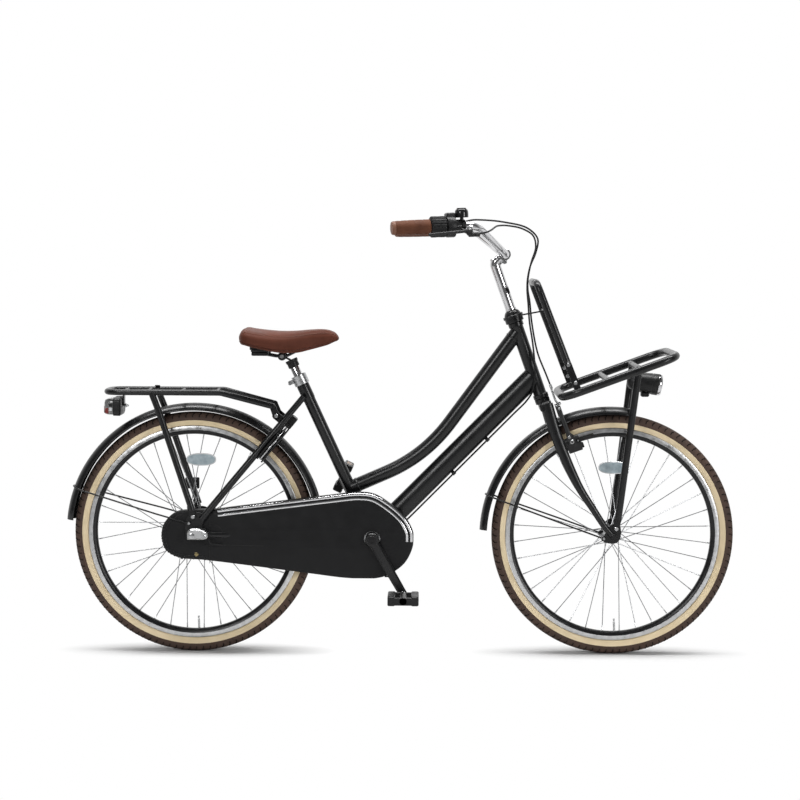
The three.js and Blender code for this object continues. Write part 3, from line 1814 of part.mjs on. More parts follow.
// Seat
function makeSeat() {
  const clampFrom = seatTubeLength - seatClampHeight / 2;
  const clampTo = seatTubeLength + seatClampHeight;
  const tubeBore = boreRadius(seatTubeRadius + fit);
  const postBore = boreRadius(seatPostRadius + fit);
  const clampOuter = seatTubeRadius + seatClampWall;
  const ring = turnedOn(
    [
      [tubeBore, clampFrom],
      [clampOuter, clampFrom],
      [clampOuter, clampTo],
      [postBore, clampTo],
      [postBore, seatTubeLength + fit],
      [tubeBore, seatTubeLength + fit],
    ],
    bracket,
    seatDirection,
  );
  const behind = vector(-seatDirection.z, 0, seatDirection.x);
  const earAt = (out, y) =>
    onSeatTube(seatTubeLength)
      .addScaledVector(behind, out)
      .addScaledVector(acrossY, y);
  const ears = [-1, 1].map((side) =>
    bar(
      earAt(seatTubeRadius + seatClampWall / 2, side * seatClampWall),
      earAt(seatTubeRadius + seatClampEar, side * seatClampWall),
      rectangle(seatClampWall, seatClampHeight),
    ),
  );
  const pinAt = seatTubeRadius + seatClampEar / 2 + seatClampWall / 2;
  const pin = rod(
    earAt(pinAt, -seatClampWall * 2 - boltHeight),
    earAt(pinAt, seatClampWall * 2 + boltHeight),
    boltRadius,
  );
  piece("seat_clamp", join(ring, ...ears, pin), silver());

  const postTop = seatTubeLength + seatPostShow;
  const postFoot = seatTubeLength - seatPostInsert;
  const post = turnedOn(
    [
      [0, postFoot],
      [seatPostRadius, postFoot],
      [seatPostRadius, postTop],
      [0, postTop],
    ],
    bracket,
    seatDirection,
    tubeSides,
    false,
  );
  piece("seatpost", post, silver());
  return postTop;
}
const seatPostTop = makeSeat();

// A place on the saddle, from the top of the seat post
function onPost(x, y, z) {
  const top = onSeatTube(seatPostTop);
  return vector(top.x + x, y, top.z + z);
}

function makeSaddle() {
  const half = saddleSides / 2;
  const stations = saddleSections.map(([x, width, top, bottom]) => {
    const section = [];
    // Up one side, over the crown and down the other
    for (let i = 0; i <= half; i++) {
      const angle = (Math.PI * i) / half;
      const across = Math.sign(Math.cos(angle)) * Math.abs(Math.cos(angle)) ** saddleSideShare;
      const rise = Math.sin(angle) ** saddleCrownShare;
      const middle = bottom + (top - bottom) * saddleEdgeShare;
      section.push([width * across, middle + (top - middle) * rise]);
    }
    for (const share of saddleSkirtShares) {
      const z = bottom + (top - bottom) * saddleEdgeShare * share[1];
      section.push([-width * share[0], z]);
    }
    for (const share of saddleSkirtShares.slice().reverse()) {
      const z = bottom + (top - bottom) * saddleEdgeShare * share[1];
      section.push([width * share[0], z]);
    }
    return { at: onPost(x, 0, 0), u: acrossY, v: upwards, section };
  });
  const whole = sweep(stations[0].section, stations);
  const low = saddleUnderZ - saddleNoseWidth;
  const under = (fromX, toX, y) =>
    block(onPost(fromX, -y, low), onPost(toX, y, saddleUnderZ));
  piece(
    "saddle",
    cut(
      whole,
      under(saddleRearX + saddleNoseWidth / 2, saddleUnderX, saddleNoseWidth * saddleUnderShare),
      under(saddleUnderX - overrun, saddleUnderX + saddleNoseWidth, saddleNoseWidth * saddleUnderFrontShare),
    ),
    brown(),
  );
}

makeSaddle();

// The frame under the saddle
function makeSaddleFrame() {
  const collarFrom = seatPostTop - collarLength;
  const postBore = boreRadius(seatPostRadius + fit);
  const collar = turnedOn(
    [
      [postBore, collarFrom],
      [collarRadius, collarFrom],
      [collarRadius, seatPostTop + fit + plateThickness],
      [0, seatPostTop + fit + plateThickness],
      [0, seatPostTop + fit],
      [postBore, seatPostTop + fit],
    ],
    bracket,
    seatDirection,
  );
  const clampPlace = onPost(saddleClampX, 0, saddleClampZ);
  const clamp = disc(
    clampPlace.x,
    clampPlace.z,
    saddleClampRadius - seatClampWall / 2,
    -saddleClampHalf - saddleRailRadius,
    saddleClampHalf + saddleRailRadius,
  );
  const collarMiddle = onSeatTube(seatPostTop + plateThickness / 2);
  const neck = bar(clampPlace, collarMiddle, rectangle(saddleClampHalf, plateThickness));
  const rails = [];
  for (const side of [-1, 1]) {
    const y = side * saddleRailY;
    rails.push(
      wire(
        [
          onPost(saddleSpringX, side * saddleRailY, saddleSpringFoot + saddleRailRadius),
          onPost(saddleClampX - saddleClampRadius, y, saddleClampZ),
          onPost(saddleClampX + saddleClampRadius, y, saddleClampZ),
          onPost(saddleRailNose[0], side * saddleRailNose[1], saddleRailNose[2]),
        ],
        saddleRailRadius,
      ),
    );
    rails.push(
      rod(
        onPost(saddleSpringX, side * saddleSpringY, saddleSpringFoot),
        onPost(saddleSpringX, side * saddleSpringY, saddleSpringTop),
        saddleSpringRadius,
      ),
    );
  }
  const rearBar = rod(
    onPost(saddleSpringX, -saddleSpringY, saddleSpringFoot + saddleRailRadius),
    onPost(saddleSpringX, saddleSpringY, saddleSpringFoot + saddleRailRadius),
    saddleRailRadius,
    thinSides,
  );
  piece("saddle_frame", join(collar, clamp, neck, ...rails, rearBar), gloss());
}
makeSaddleFrame();

// Fork

// Shares of the reach of the fork's dropout
const forkPlateShares = [
  [-0.95, -0.25],
  [-0.6, -0.45],
  [0.1, -0.5],
  [0.45, -0.2],
  [0.5, 0.7],
  [0.3, 0.98],
  [-0.1, 0.95],
  [-0.35, 0.75],
  [-0.6, 0.3],
];

function makeFork() {
  const onto = (rise) => onSteerer(headTubeLength).addScaledVector(steerDirection, rise);
  const raceTop = -run;
  const raceFoot = raceTop - forkRaceHeight;
  const top = headTubeLength + headsetCapHeight + run;
  const stemBore = boreRadius(stemQuillRadius + fit);
  const steerer = turnedOn(
    [
      [stemBore, raceFoot - overrun],
      [forkRaceRadius, raceFoot - overrun],
      [forkRaceRadius, raceTop],
      [steererRadius, raceTop],
      [steererRadius, headTubeLength + run],
      [headsetCapRadius, headTubeLength + run],
      [headsetCapRadius, headTubeLength + headsetCapHeight / 2],
      [headsetCapTopRadius, top],
      [stemBore, top],
    ],
    onto(0),
    steerDirection,
  );
  const crown = bar(
    onto(raceFoot - crownLength),
    onto(raceFoot),
    rectangle(crownHalfWidth * 2, crownHalfLength * 2),
  );
  const blades = mirrored((side) => {
    const last = bladePoints.length - 1;
    const stations = bladePoints.map(([x, z], i) => {
      const before = bladePoints[Math.max(i - 1, 0)];
      const after = bladePoints[Math.min(i + 1, last)];
      const direction = vector(after[0] - before[0], 0, after[1] - before[1]).normalize();
      const share = i / last;
      const y = THREE.MathUtils.lerp(bladeTopY, bladeFootY, Math.min(2 * share, 1));
      const wide = THREE.MathUtils.lerp(bladeHalfWidth, bladeFootHalfWidth, share);
      const v = vector(-direction.z, 0, direction.x);
      const section = ellipse(wide, bladeHalfDepths[i], rodSides);
      return { at: vector(x, side * y, z), u: acrossY, v, section };
    });
    const half = forkDropoutThickness / 2;
    const outline = forkPlateShares.map(([x, z]) => [
      wheelbase + x * forkPlateReach,
      tyreRadius + z * forkPlateReach,
    ]);
    const foot = plate(outline, side * (bladeFootY - half), side * (bladeFootY + half));
    const pivot = vector(brakePivotX, side * brakeArmY, brakePivotZ);
    const inBlade = pivot.clone().addScaledVector(steerForward, -bladeHalfDepths[0] * 2);
    const bossOut = brakeArmDepth + run;
    const boss = rod(inBlade, pivot.clone().addScaledVector(steerForward, -bossOut), nutRadius, nutSides);
    const pin = rod(
      inBlade,
      pivot.clone().addScaledVector(steerForward, bossOut + boltHeight / 2),
      brakeBossRadius,
      thinSides,
    );
    const axleRoom = disc(
      wheelbase,
      tyreRadius,
      boreRadius(frontAxleRadius + fit),
      side * (bladeFootY - bladeHalfWidth * 2),
      side * (bladeFootY + bladeHalfWidth * 2),
    );
    // The foot of the blade stays clear of the cone and nut of the axle
    const faceRoom = (from, to) => disc(wheelbase, tyreRadius, nutRadius + fit * 2, from, to, rodSides);
    const solid = join(sweep(circle(1, rodSides), stations), foot);
    return join(
      cut(
        solid,
        axleRoom,
        faceRoom(side * (bladeFootY - half - bladeHalfWidth), side * (bladeFootY - half - skim)),
        faceRoom(side * (bladeFootY + half + skim), side * (bladeFootY + half + bladeHalfWidth)),
      ),
      boss,
      pin,
    );
  });
  piece("fork", join(steerer, crown, ...blades), gloss());
}
makeFork();

function makeFrontAxle() {
  const inner = bladeFootY - forkDropoutThickness / 2 - fit;
  const outer = bladeFootY + forkDropoutThickness / 2 + fit;
  const solids = [disc(wheelbase, tyreRadius, frontAxleRadius, -frontAxleHalf, frontAxleHalf)];
  for (const side of [-1, 1]) {
    const cone = [side * (frontHubHalf + run), side * inner];
    const nut = [side * outer, side * (outer + nutLength)];
    solids.push(disc(wheelbase, tyreRadius, coneRadius, cone[0], cone[1]));
    solids.push(disc(wheelbase, tyreRadius, nutRadius, nut[0], nut[1], nutSides));
  }
  piece("front_axle", join(...solids), steel());
}
makeFrontAxle();

// Handlebar: each half is level at the stem, then rises, then turns back to the grip.
const barInner = [barClampX, barInnerY, barClampZ];

function barPoint(side, s) {
  const start = vector(barCorner[0], side * barCorner[1], barCorner[2]);
  const end = vector(barEnd[0], side * barEnd[1], barEnd[2]);
  return end.addScaledVector(end.clone().sub(start).normalize(), s);
}
const barLine = (side) => barPoint(side, 1).sub(barPoint(side, 0));

function makeBar() {
  const mirror = ([x, y, z], side) => vector(x, side * y, z);
  const points = [
    mirror(barEnd, -1),
    mirror(barCorner, -1),
    mirror(barInner, -1),
    mirror(barInner, 1),
    mirror(barCorner, 1),
    mirror(barEnd, 1),
  ];
  piece("handlebar", bentTube(points, barRadius, barOuterBend), silver());

  const stemTop = onSteerer((headTop.z - stemTopZ) / steerDirection.z);
  const clampPlace = vector(barClampX, 0, barClampZ);
  const quillFoot = onSteerer(stemInsert);
  const capTop = onSteerer(-headsetCapHeight - run * 2);
  const quill = rod(quillFoot, stemTop, stemQuillRadius, roundSides);
  const upper = rod(capTop, stemTop, stemRadius, roundSides);
  const reach = bar(
    stemTop.clone().addScaledVector(steerDirection, -stemRadius),
    clampPlace,
    circle(stemRadius, roundSides),
  );
  const ring = disc(barClampX, barClampZ, barClampRadius, -barClampHalf, barClampHalf);
  const bore = disc(
    barClampX,
    barClampZ,
    boreRadius(barRadius + fit),
    -barClampHalf - overrun,
    barClampHalf + overrun,
  );
  const boltZ = barClampZ - barClampRadius - boltRadius;
  const bolt = disc(barClampX, boltZ, boltRadius, -barClampHalf, barClampHalf);
  piece("stem", cut(join(quill, upper, reach, ring, bolt), bore), silver());
}
makeBar();

// Things on the grips, by their distance back from the bar's end
function onBar(side, from, to, radius, sides = roundSides) {
  const outer = rod(barPoint(side, -from), barPoint(side, -to), radius, sides);
  const bore = rod(
    barPoint(side, overrun - from),
    barPoint(side, -to - overrun),
    boreRadius(barRadius + fit),
    roundSides,
  );
  return { outer, bore };
}

function makeGrip(name, side, length) {
  const total = length + gripEndOver;
  const profile = [
    [0, -gripEndOver],
    [gripRadius, -gripEndOver],
    [gripRadius + gripLip, gripLip - gripEndOver],
    [gripRadius + gripLip, gripLipLength],
    [gripRadius, gripLipLength + gripLip],
    [gripRadius - gripLip / 2, total / 2],
    [gripRadius, length],
    [boreRadius(barRadius + fit), length],
    [boreRadius(barRadius + fit), -fit],
    [0, -fit],
  ];
  const solid = turnedOn(profile, barPoint(side, 0), barLine(side).negate());
  piece(name, solid, brown());
}
makeGrip("grip_right", -1, gripLength);
makeGrip("grip_left", 1, leftGripLength);

const twistFrom = gripLength + run;
const housingFrom = twistFrom + twistLength + run;
const leverFrom = housingFrom + shifterHousingLength + run * 2;
const bellFrom = leverFrom + leverClampLength + run * 2;
const outwards = barLine(-1).cross(upwards).normalize().negate();
const barUp = barLine(-1).cross(outwards).normalize();
const leverWay = outwards
  .clone()
  .multiplyScalar(Math.cos(radians(leverDownAngle)))
  .addScaledVector(barUp, -Math.sin(radians(leverDownAngle)));

function makeShifter() {
  const ribs = circle(twistRadius, twistRibs * 2).map(([x, y], i) =>
    i % 2 ? [x, y] : [x * twistRibShare, y * twistRibShare],
  );
  const twist = bar(barPoint(-1, -twistFrom), barPoint(-1, -twistFrom - twistLength), ribs);
  const { bore } = onBar(-1, twistFrom, twistFrom + twistLength, twistRadius);
  piece("shifter_grip", cut(twist, bore), rubber());
  const end = housingFrom + shifterHousingLength;
  const housing = onBar(-1, housingFrom, end, shifterHousingRadius);
  const hoodFrom = barPoint(-1, -housingFrom).addScaledVector(barUp, shifterHousingRadius);
  const hoodTo = barPoint(-1, -end);
  hoodTo.addScaledVector(barUp, shifterHousingRadius);
  const hood = bar(
    hoodFrom,
    hoodTo,
    rectangle(shifterHousingRadius, shifterHousingRadius / 2),
    outwards,
  );
  piece("shifter_housing", cut(join(housing.outer, hood), housing.bore), rubber());
}

function makeBrakeLever() {
  const clamp = onBar(-1, leverFrom, leverFrom + leverClampLength, leverClampRadius);
  const middle = barPoint(-1, -leverFrom - leverClampLength / 2);
  const pivot = barPoint(-1, -leverFrom - leverClampLength * 2).addScaledVector(
    leverWay,
    leverPivotOut,
  );
  const hinge = barLine(-1).cross(leverWay).normalize();
  const arm = bar(
    middle.clone().addScaledVector(leverWay, leverClampRadius),
    pivot,
    rectangle(leverPivotRadius * 2, leverPivotRadius * 2),
    hinge,
  );
  const half = leverPivotRadius;
  const knuckle = rod(
    pivot.clone().addScaledVector(hinge, -half),
    pivot.clone().addScaledVector(hinge, half),
    leverClampLength / 2,
  );
  const bladeFrom = half + run;
  const bladeTo = half + run + leverBladeHalf * 2;
  const pin = rod(
    pivot.clone().addScaledVector(hinge, -half),
    pivot.clone().addScaledVector(hinge, bladeTo),
    leverPivotRadius,
  );
  const socketAt = pivot.clone().addScaledVector(hinge, -leverPivotRadius);
  const socketEnd = socketAt.clone().addScaledVector(barLine(-1), -leverClampLength * 2);
  const socket = rod(socketAt, socketEnd, leverSocketRadius);
  piece("brake_bracket", cut(join(clamp.outer, arm, knuckle, pin, socket), clamp.bore), rubber());

  const tip = barPoint(-1, -leverFrom)
    .addScaledVector(barLine(-1), leverReach - leverClampLength * 2)
    .addScaledVector(leverWay, leverTipOut);
  const bladeMiddle = half + run + leverBladeHalf;
  const at = (point) => point.clone().addScaledVector(hinge, bladeMiddle);
  const hub = rod(
    pivot.clone().addScaledVector(hinge, bladeFrom),
    pivot.clone().addScaledVector(hinge, bladeTo),
    leverClampLength / 2 + run * 2,
  );
  const blade = bar(at(pivot), at(tip), rectangle(leverBladeHalf * 2, leverBladeHalf * 2), hinge);
  const knob = rod(
    at(tip).addScaledVector(hinge, -leverBladeHalf),
    at(tip).addScaledVector(hinge, leverBladeHalf),
    leverTipRadius,
  );
  const bore = rod(
    pivot.clone().addScaledVector(hinge, bladeFrom - overrun),
    pivot.clone().addScaledVector(hinge, bladeTo + overrun),
    boreRadius(leverPivotRadius + run),
    roundSides,
  );
  piece("brake_lever", cut(join(hub, blade, knob), bore), rubber());
}
makeShifter();
makeBrakeLever();

function makeBell() {
  const to = bellFrom + bellClampLength;
  const clamp = onBar(-1, bellFrom, to, leverClampRadius - run);
  const foot = barPoint(-1, -bellFrom - bellClampLength / 2);
  const at = (rise) => foot.clone().addScaledVector(barUp, rise);
  const baseTop = leverClampRadius + bellBaseHeight / 2;
  const base = rod(at(leverClampRadius - bellBaseHeight / 2), at(baseTop), bellBaseRadius);
  const armThick = bellArmThickness;
  const domeFoot = baseTop + run * 2 + armThick;
  const stud = rod(at(0), at(domeFoot + bellHeight / 2), bellStudRadius);
  const dome = turnedOn(
    [
      [0, domeFoot],
      ...bellDomeShares.map(([r, z]) => [bellRadius * r, domeFoot + bellHeight * z]),
      [0, domeFoot + bellHeight],
    ],
    foot,
    barUp,
    roundSides,
    false,
  );
  piece("bell", cut(join(clamp.outer, base, stud, dome), clamp.bore), silver());

  const armFoot = at(baseTop + run);
  const armTop = at(baseTop + run + armThick);
  const hub = rod(armFoot, armTop, bellStudRadius * 2);
  const way = outwards.clone().negate();
  const middle = armFoot.clone().add(armTop).multiplyScalar(1 / 2);
  const arm = bar(
    middle,
    middle.clone().addScaledVector(way, bellArmLength),
    rectangle(bellStudRadius * 2, armThick),
    barLine(-1),
  );
  const bore = rod(
    at(baseTop - overrun),
    at(domeFoot + overrun),
    boreRadius(bellStudRadius + run),
    roundSides,
  );
  piece("bell_lever", cut(join(hub, arm), bore), silver());
}
makeBell();

// Front carrier
const onCarrier = (x) =>
  carrierRearZ + (x - carrierRearX) * Math.tan(radians(carrierAngle));

function makeFrontCarrier() {
  const w = carrierHalfWidth;
  const corners = [
    vector(carrierRearX, 0, carrierRearZ),
    vector(carrierRearX, -w, carrierRearZ),
    vector(carrierFrontX, -w, onCarrier(carrierFrontX)),
    vector(carrierFrontX, w, onCarrier(carrierFrontX)),
    vector(carrierRearX, w, carrierRearZ),
  ];
  const path = roundedPath([...corners, corners[0]], carrierCornerRadius);
  const places = [];
  path.curves.forEach((curve, i) => {
    const steps = curve.isLineCurve3 ? 1 : carrierCornerSteps;
    for (let s = i ? 1 : 0; s <= steps; s++)
      places.push([curve.getPoint(s / steps), curve.getTangent(s / steps)]);
  });
  places.pop();
  const normal = vector(-Math.sin(radians(carrierAngle)), 0, Math.cos(radians(carrierAngle)));
  const stations = places.map(([at, tangent]) => ({
    at,
    u: normal,
    v: tangent.clone().cross(normal),
  }));
  const solids = [sweep(circle(carrierRailRadius, thinSides), stations, true)];
  for (const x of carrierBarXs) {
    const z = onCarrier(x);
    solids.push(rod(vector(x, -w, z), vector(x, w, z), carrierBarRadius, thinSides));
  }
  const topX = carrierBarXs[carrierBarXs.length - 1];
  const boltX = wheelbase + frontStrutBoltX;
  const boltZ = tyreRadius + frontStrutBoltZ;
  for (const side of [-1, 1]) {
    const top = vector(topX, side * carrierStrutTopY, onCarrier(topX));
    const foot = vector(boltX + boltHeight, side * carrierStrutFootY, boltZ + carrierTabRise);
    solids.push(rod(top, foot, carrierStrutRadius, thinSides));
    const tab = around([boltX, boltZ], nutRadius, [foot.x, foot.z], carrierStrutRadius);
    const inner = side * outsideForkDropout;
    solids.push(plate(tab, inner, inner + side * plateThickness));
    const head = inner + side * (plateThickness + boltHeight);
    solids.push(disc(boltX, boltZ, boltRadius, inner, head, nutSides));
  }
  for (const side of [-1, 1]) {
    const outline = around(
      [uprightPlateX, onCarrier(uprightPlateX)],
      nutRadius,
      [uprightFootX, uprightFootZ],
      nutRadius,
    );
    solids.push(plate(outline, side * (w - plateThickness), side * w));
  }
  piece("front_carrier", join(...solids), gloss());
}
makeFrontCarrier();

function makeUpright() {
  const w = uprightHalfWidth;
  const points = [
    vector(uprightFootX, -w, uprightFootZ),
    vector(uprightTopX, -w, uprightTopZ),
    vector(uprightTopX, w, uprightTopZ),
    vector(uprightFootX, w, uprightFootZ),
  ];
  const solids = [bentTube(points, uprightRadius, uprightCornerRadius, thinSides)];
  const share = (uprightTopZ - uprightCrossZ) / (uprightTopZ - uprightFootZ);
  const crossX = THREE.MathUtils.lerp(uprightTopX, uprightFootX, share);
  solids.push(
    rod(vector(crossX, -w, uprightCrossZ), vector(crossX, w, uprightCrossZ), carrierBarRadius / 2, thinSides),
  );
  const railInner = carrierHalfWidth - plateThickness - fit;
  for (const side of [-1, 1]) {
    const outline = around(
      [uprightPlateX - nutRadius, uprightPlateZ],
      nutRadius,
      [uprightFootX, uprightFootZ],
      nutRadius,
    );
    const outer = side * railInner;
    solids.push(plate(outline, outer - side * plateThickness, outer));
    for (const along of uprightBoltShares) {
      const x = THREE.MathUtils.lerp(uprightFootX, uprightPlateX - nutRadius, along);
      const z = THREE.MathUtils.lerp(uprightFootZ, uprightPlateZ, along);
      const from = outer - side * plateThickness;
      solids.push(disc(x, z, boltRadius, from, from - side * boltHeight, nutSides));
    }
  }
  // The arm that holds it to the headset
  const capAt = onSteerer(-headsetCapHeight / 2);
  const inner = headsetCapRadius + fit;
  const armTo = vector(crossX, 0, uprightCrossZ);
  const arm = bar(capAt, armTo, rectangle(uprightArmWidth, plateThickness));
  const eye = rod(
    onSteerer(-headsetCapHeight / 2 - plateThickness),
    onSteerer(-headsetCapHeight / 2 + plateThickness),
    inner + plateThickness,
    roundSides,
  );
  const room = rod(
    onSteerer(-headsetCapHeight),
    onSteerer(0),
    boreRadius(inner),
    roundSides,
  );
  piece("carrier_upright", cut(join(...solids, arm, eye), room), gloss());
}
makeUpright();

// Headlamp
function makeHeadlamp() {
  const forward = vector(Math.cos(radians(headlampAngle)), 0, Math.sin(radians(headlampAngle)));
  const middle = vector(headlampX, 0, headlampZ);
  const half = headlampLength / 2;
  const r = headlampRadius;
  const profile = headlampShares.map(([out, along]) => [r * out, half * along]);
  const shellSolid = turnedOn(profile, middle, forward, lampSides, false);
  const barX = carrierBarXs[carrierBarXs.length - 1];
  const top = onCarrier(barX) - carrierBarRadius * Math.cos(Math.PI / thinSides) - fit;
  const bracketSolid = block(
    vector(barX - nutRadius, -plateThickness * 2, headlampZ),
    vector(barX + nutRadius, plateThickness * 2, top),
  );
  piece("headlamp", join(shellSolid, bracketSolid), gloss());
}
makeHeadlamp();

// Rim brake
function makeRimBrake() {
  for (const side of [-1, 1]) {
    const pivot = vector(brakePivotX, side * brakeArmY, brakePivotZ);
    const lean = vector(0, (side * brakeArmHalf) / brakeArmLength, 0).add(steerDirection);
    const top = pivot.clone().addScaledVector(lean, brakeArmLength);
    const arm = bar(pivot, top, rectangle(brakeArmHalf * 2, brakeArmDepth * 2));
    const hub = rod(
      pivot.clone().addScaledVector(steerForward, -brakeArmDepth),
      pivot.clone().addScaledVector(steerForward, brakeArmDepth),
      nutRadius,
    );
    const bore = rod(
      pivot.clone().addScaledVector(steerForward, -brakeArmDepth - overrun),
      pivot.clone().addScaledVector(steerForward, brakeArmDepth + overrun),
      boreRadius(brakeBossRadius + run),
    );
    // The pad lies along the rim
    const toPad = padFrom(pivot);
    const along = vector(-toPad.z, 0, toPad.x);
    const padIn = side * (rimWidth / 2 + padGap);
    const padOut = padIn + side * padThickness;
    const padAt = frontAxle.clone().addScaledVector(toPad, padRadius);
    const padStations = [padIn, padOut].map((y) => ({
      at: vector(padAt.x, y, padAt.z),
      u: along,
      v: toPad,
    }));
    const pad = sweep(rectangle(padLength, padHeight), padStations);
    const postAt = padAt.clone().addScaledVector(along, padLength / 2 - padHeight);
    const post = rod(
      vector(postAt.x, padIn + side * padThickness / 2, postAt.z),
      vector(postAt.x, side * (brakeArmY + brakeArmHalf), postAt.z),
      padPostRadius,
    );
    const armPlace = pivot.clone().addScaledVector(lean, padRise + padPostRadius * 2);
    const postEnd = vector(postAt.x, armPlace.y, postAt.z);
    const link = bar(armPlace, postEnd, rectangle(brakeArmHalf * 2, padPostRadius * 2));
    const name = side < 0 ? "brake_arm_right" : "brake_arm_left";
    piece(name, join(cut(join(arm, hub), bore), pad, post, link), silver());
  }
}

// The direction from the front axle to the middle of a pad, ahead of the arms
function padFrom(pivot) {
  const before = padLength / 2 + brakeArmDepth + boltHeight;
  const ahead = pivot.clone().addScaledVector(steerForward, before);
  const raised = ahead.addScaledVector(steerDirection, padRise);
  return vector(raised.x - frontAxle.x, 0, raised.z - frontAxle.z).normalize();
}
makeRimBrake();

// The brake's cable, its curved guide pipe and the rubber boot
function makeBrakeCable() {
  const housing = cable(brakeCablePoints, brakeCableRadius);
  const noodle = cable(noodlePoints, noodleRadius);
  piece("brake_cable", join(housing, noodle), rubber());
}
makeBrakeCable();

export default bicycle;
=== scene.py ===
import math
from math import copysign, cos, pi, sin

import bmesh
import bpy
from mathutils import Matrix, Vector
from mathutils.geometry import tessellate_polygon


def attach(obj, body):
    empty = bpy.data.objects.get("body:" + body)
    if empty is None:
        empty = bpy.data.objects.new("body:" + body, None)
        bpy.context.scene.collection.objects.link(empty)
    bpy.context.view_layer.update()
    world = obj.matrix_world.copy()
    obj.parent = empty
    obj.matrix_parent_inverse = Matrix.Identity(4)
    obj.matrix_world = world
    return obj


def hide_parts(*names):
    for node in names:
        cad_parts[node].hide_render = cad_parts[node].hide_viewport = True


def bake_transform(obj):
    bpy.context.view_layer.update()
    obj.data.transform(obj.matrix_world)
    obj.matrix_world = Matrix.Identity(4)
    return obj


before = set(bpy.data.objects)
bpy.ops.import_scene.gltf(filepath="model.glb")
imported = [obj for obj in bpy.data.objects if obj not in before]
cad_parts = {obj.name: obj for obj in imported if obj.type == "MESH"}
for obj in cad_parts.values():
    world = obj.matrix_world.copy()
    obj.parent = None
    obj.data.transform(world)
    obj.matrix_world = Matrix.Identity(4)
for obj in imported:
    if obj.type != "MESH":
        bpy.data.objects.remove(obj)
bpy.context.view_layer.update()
scene = bpy.context.scene
rad = math.radians
MM = 0.001
TURN = 2 * pi
UP = Vector((0, 0, 1))
SIDE = Vector((0, 1, 0))
SHARP = 32  # degrees: sharper edges than this stay crisp
MIDDLE_OF_NOISE = (0.3, 0.7)
COAT_ROUGHNESS = 0.1

# Camera, fitted to the photograph
CAMERA_AT = (0.6198, -5.3822, 1.0864)
CAMERA_YAW = -0.708
CAMERA_PITCH = -4.245
CAMERA_ROLL = 0.283
FOCAL_PIXELS = 2000
PHOTO_PIXELS = 800
SENSOR = 36


def make_camera():
    data = bpy.data.cameras.new("camera")
    data.sensor_width = SENSOR
    data.lens = SENSOR * FOCAL_PIXELS / PHOTO_PIXELS
    data.clip_end = 100
    cam = bpy.data.objects.new("camera", data)
    scene.collection.objects.link(cam)
    yaw, pitch, roll = rad(CAMERA_YAW), rad(CAMERA_PITCH), rad(CAMERA_ROLL)
    ahead = Vector((sin(yaw) * cos(pitch), cos(yaw) * cos(pitch), sin(pitch)))
    right = ahead.cross(UP).normalized()
    above = right.cross(ahead)
    x = right * cos(roll) + above * sin(roll)
    y = above * cos(roll) - right * sin(roll)
    cam.matrix_world = Matrix.Translation(CAMERA_AT) @ Matrix((x, y, -ahead)).transposed().to_4x4()
    scene.camera = cam


make_camera()


# Materials: each is one shader whose colour, roughness and bump come from noise
def node(tree, kind, output, inputs, **settings):
    """Adds a node to the tree. Its inputs are numbers, colours or other nodes' outputs."""
    new = tree.nodes.new("ShaderNode" + kind)
    for name, value in settings.items():
        setattr(new, name, value)
    for key, value in inputs.items():
        if isinstance(value, bpy.types.NodeSocket):
            tree.links.new(value, new.inputs[key])
        else:
            new.inputs[key].default_value = value
    return new.outputs[output]


def new_material(name):
    mat = bpy.data.materials.new(name)
    mat.use_nodes = True
    tree = mat.node_tree
    return mat, tree, tree.nodes["Principled BSDF"], node(tree, "TexCoord", "Object", {})


def noise(tree, coords, scale, detail=4):
    return node(tree, "TexNoise", "Fac", {"Vector": coords, "Scale": scale, "Detail": detail})


def spread(tree, value, low, high, span=MIDDLE_OF_NOISE):
    return node(tree, "MapRange", "Result", {"Value": value, "From Min": span[0], "From Max": span[1],
                                             "To Min": low, "To Max": high})


def blend_colours(tree, value, *colours):
    ramp = tree.nodes.new("ShaderNodeValToRGB")
    for end, place, colour in zip(ramp.color_ramp.elements, MIDDLE_OF_NOISE, colours):
        end.position, end.color = place, (*colour, 1)
    tree.links.new(value, ramp.inputs["Fac"])
    return ramp.outputs["Color"]


def bump(tree, height, distance, strength=1.0, **under):
    return node(tree, "Bump", "Normal", {"Height": height, "Distance": distance * MM, "Strength": strength,
                                         **under})


def finish(name, low, high, rough, metal=0.0, scale=60, grain=900, depth=0.02, coat=0.0, pattern=None,
           wear=None, specular=0.5):
    """Two colours and two roughnesses blended by broad noise, with a fine noise as its bump.
    pattern is a Voronoi feature with its scale and depth, wear a colour and where it shows."""
    mat, tree, shader, coords = new_material(name)
    values = {"Metallic": metal, "Coat Weight": coat, "Coat Roughness": COAT_ROUGHNESS,
              "Specular IOR Level": specular}
    for key, value in values.items():
        shader.inputs[key].default_value = value
    broad = noise(tree, coords, scale)
    colour = blend_colours(tree, broad, low, high)
    if wear:
        worn = spread(tree, noise(tree, coords, scale / 2, 8), 0, 1, wear[1])
        colour = node(tree, "MixRGB", "Color", {"Fac": worn, "Color1": colour, "Color2": (*wear[0], 1)})
    normal = bump(tree, noise(tree, coords, grain, 6), depth)
    if pattern:
        feature, cell_scale, cell_depth = pattern
        cells = node(tree, "TexVoronoi", "Distance", {"Vector": coords, "Scale": cell_scale}, feature=feature)
        normal = bump(tree, spread(tree, cells, 0, 1, (0.0, 0.25)), cell_depth, 0.8, Normal=normal)
    for value, key in ((colour, "Base Color"), (spread(tree, broad, *rough), "Roughness"),
                       (normal, "Normal")):
        tree.links.new(value, shader.inputs[key])
    return mat


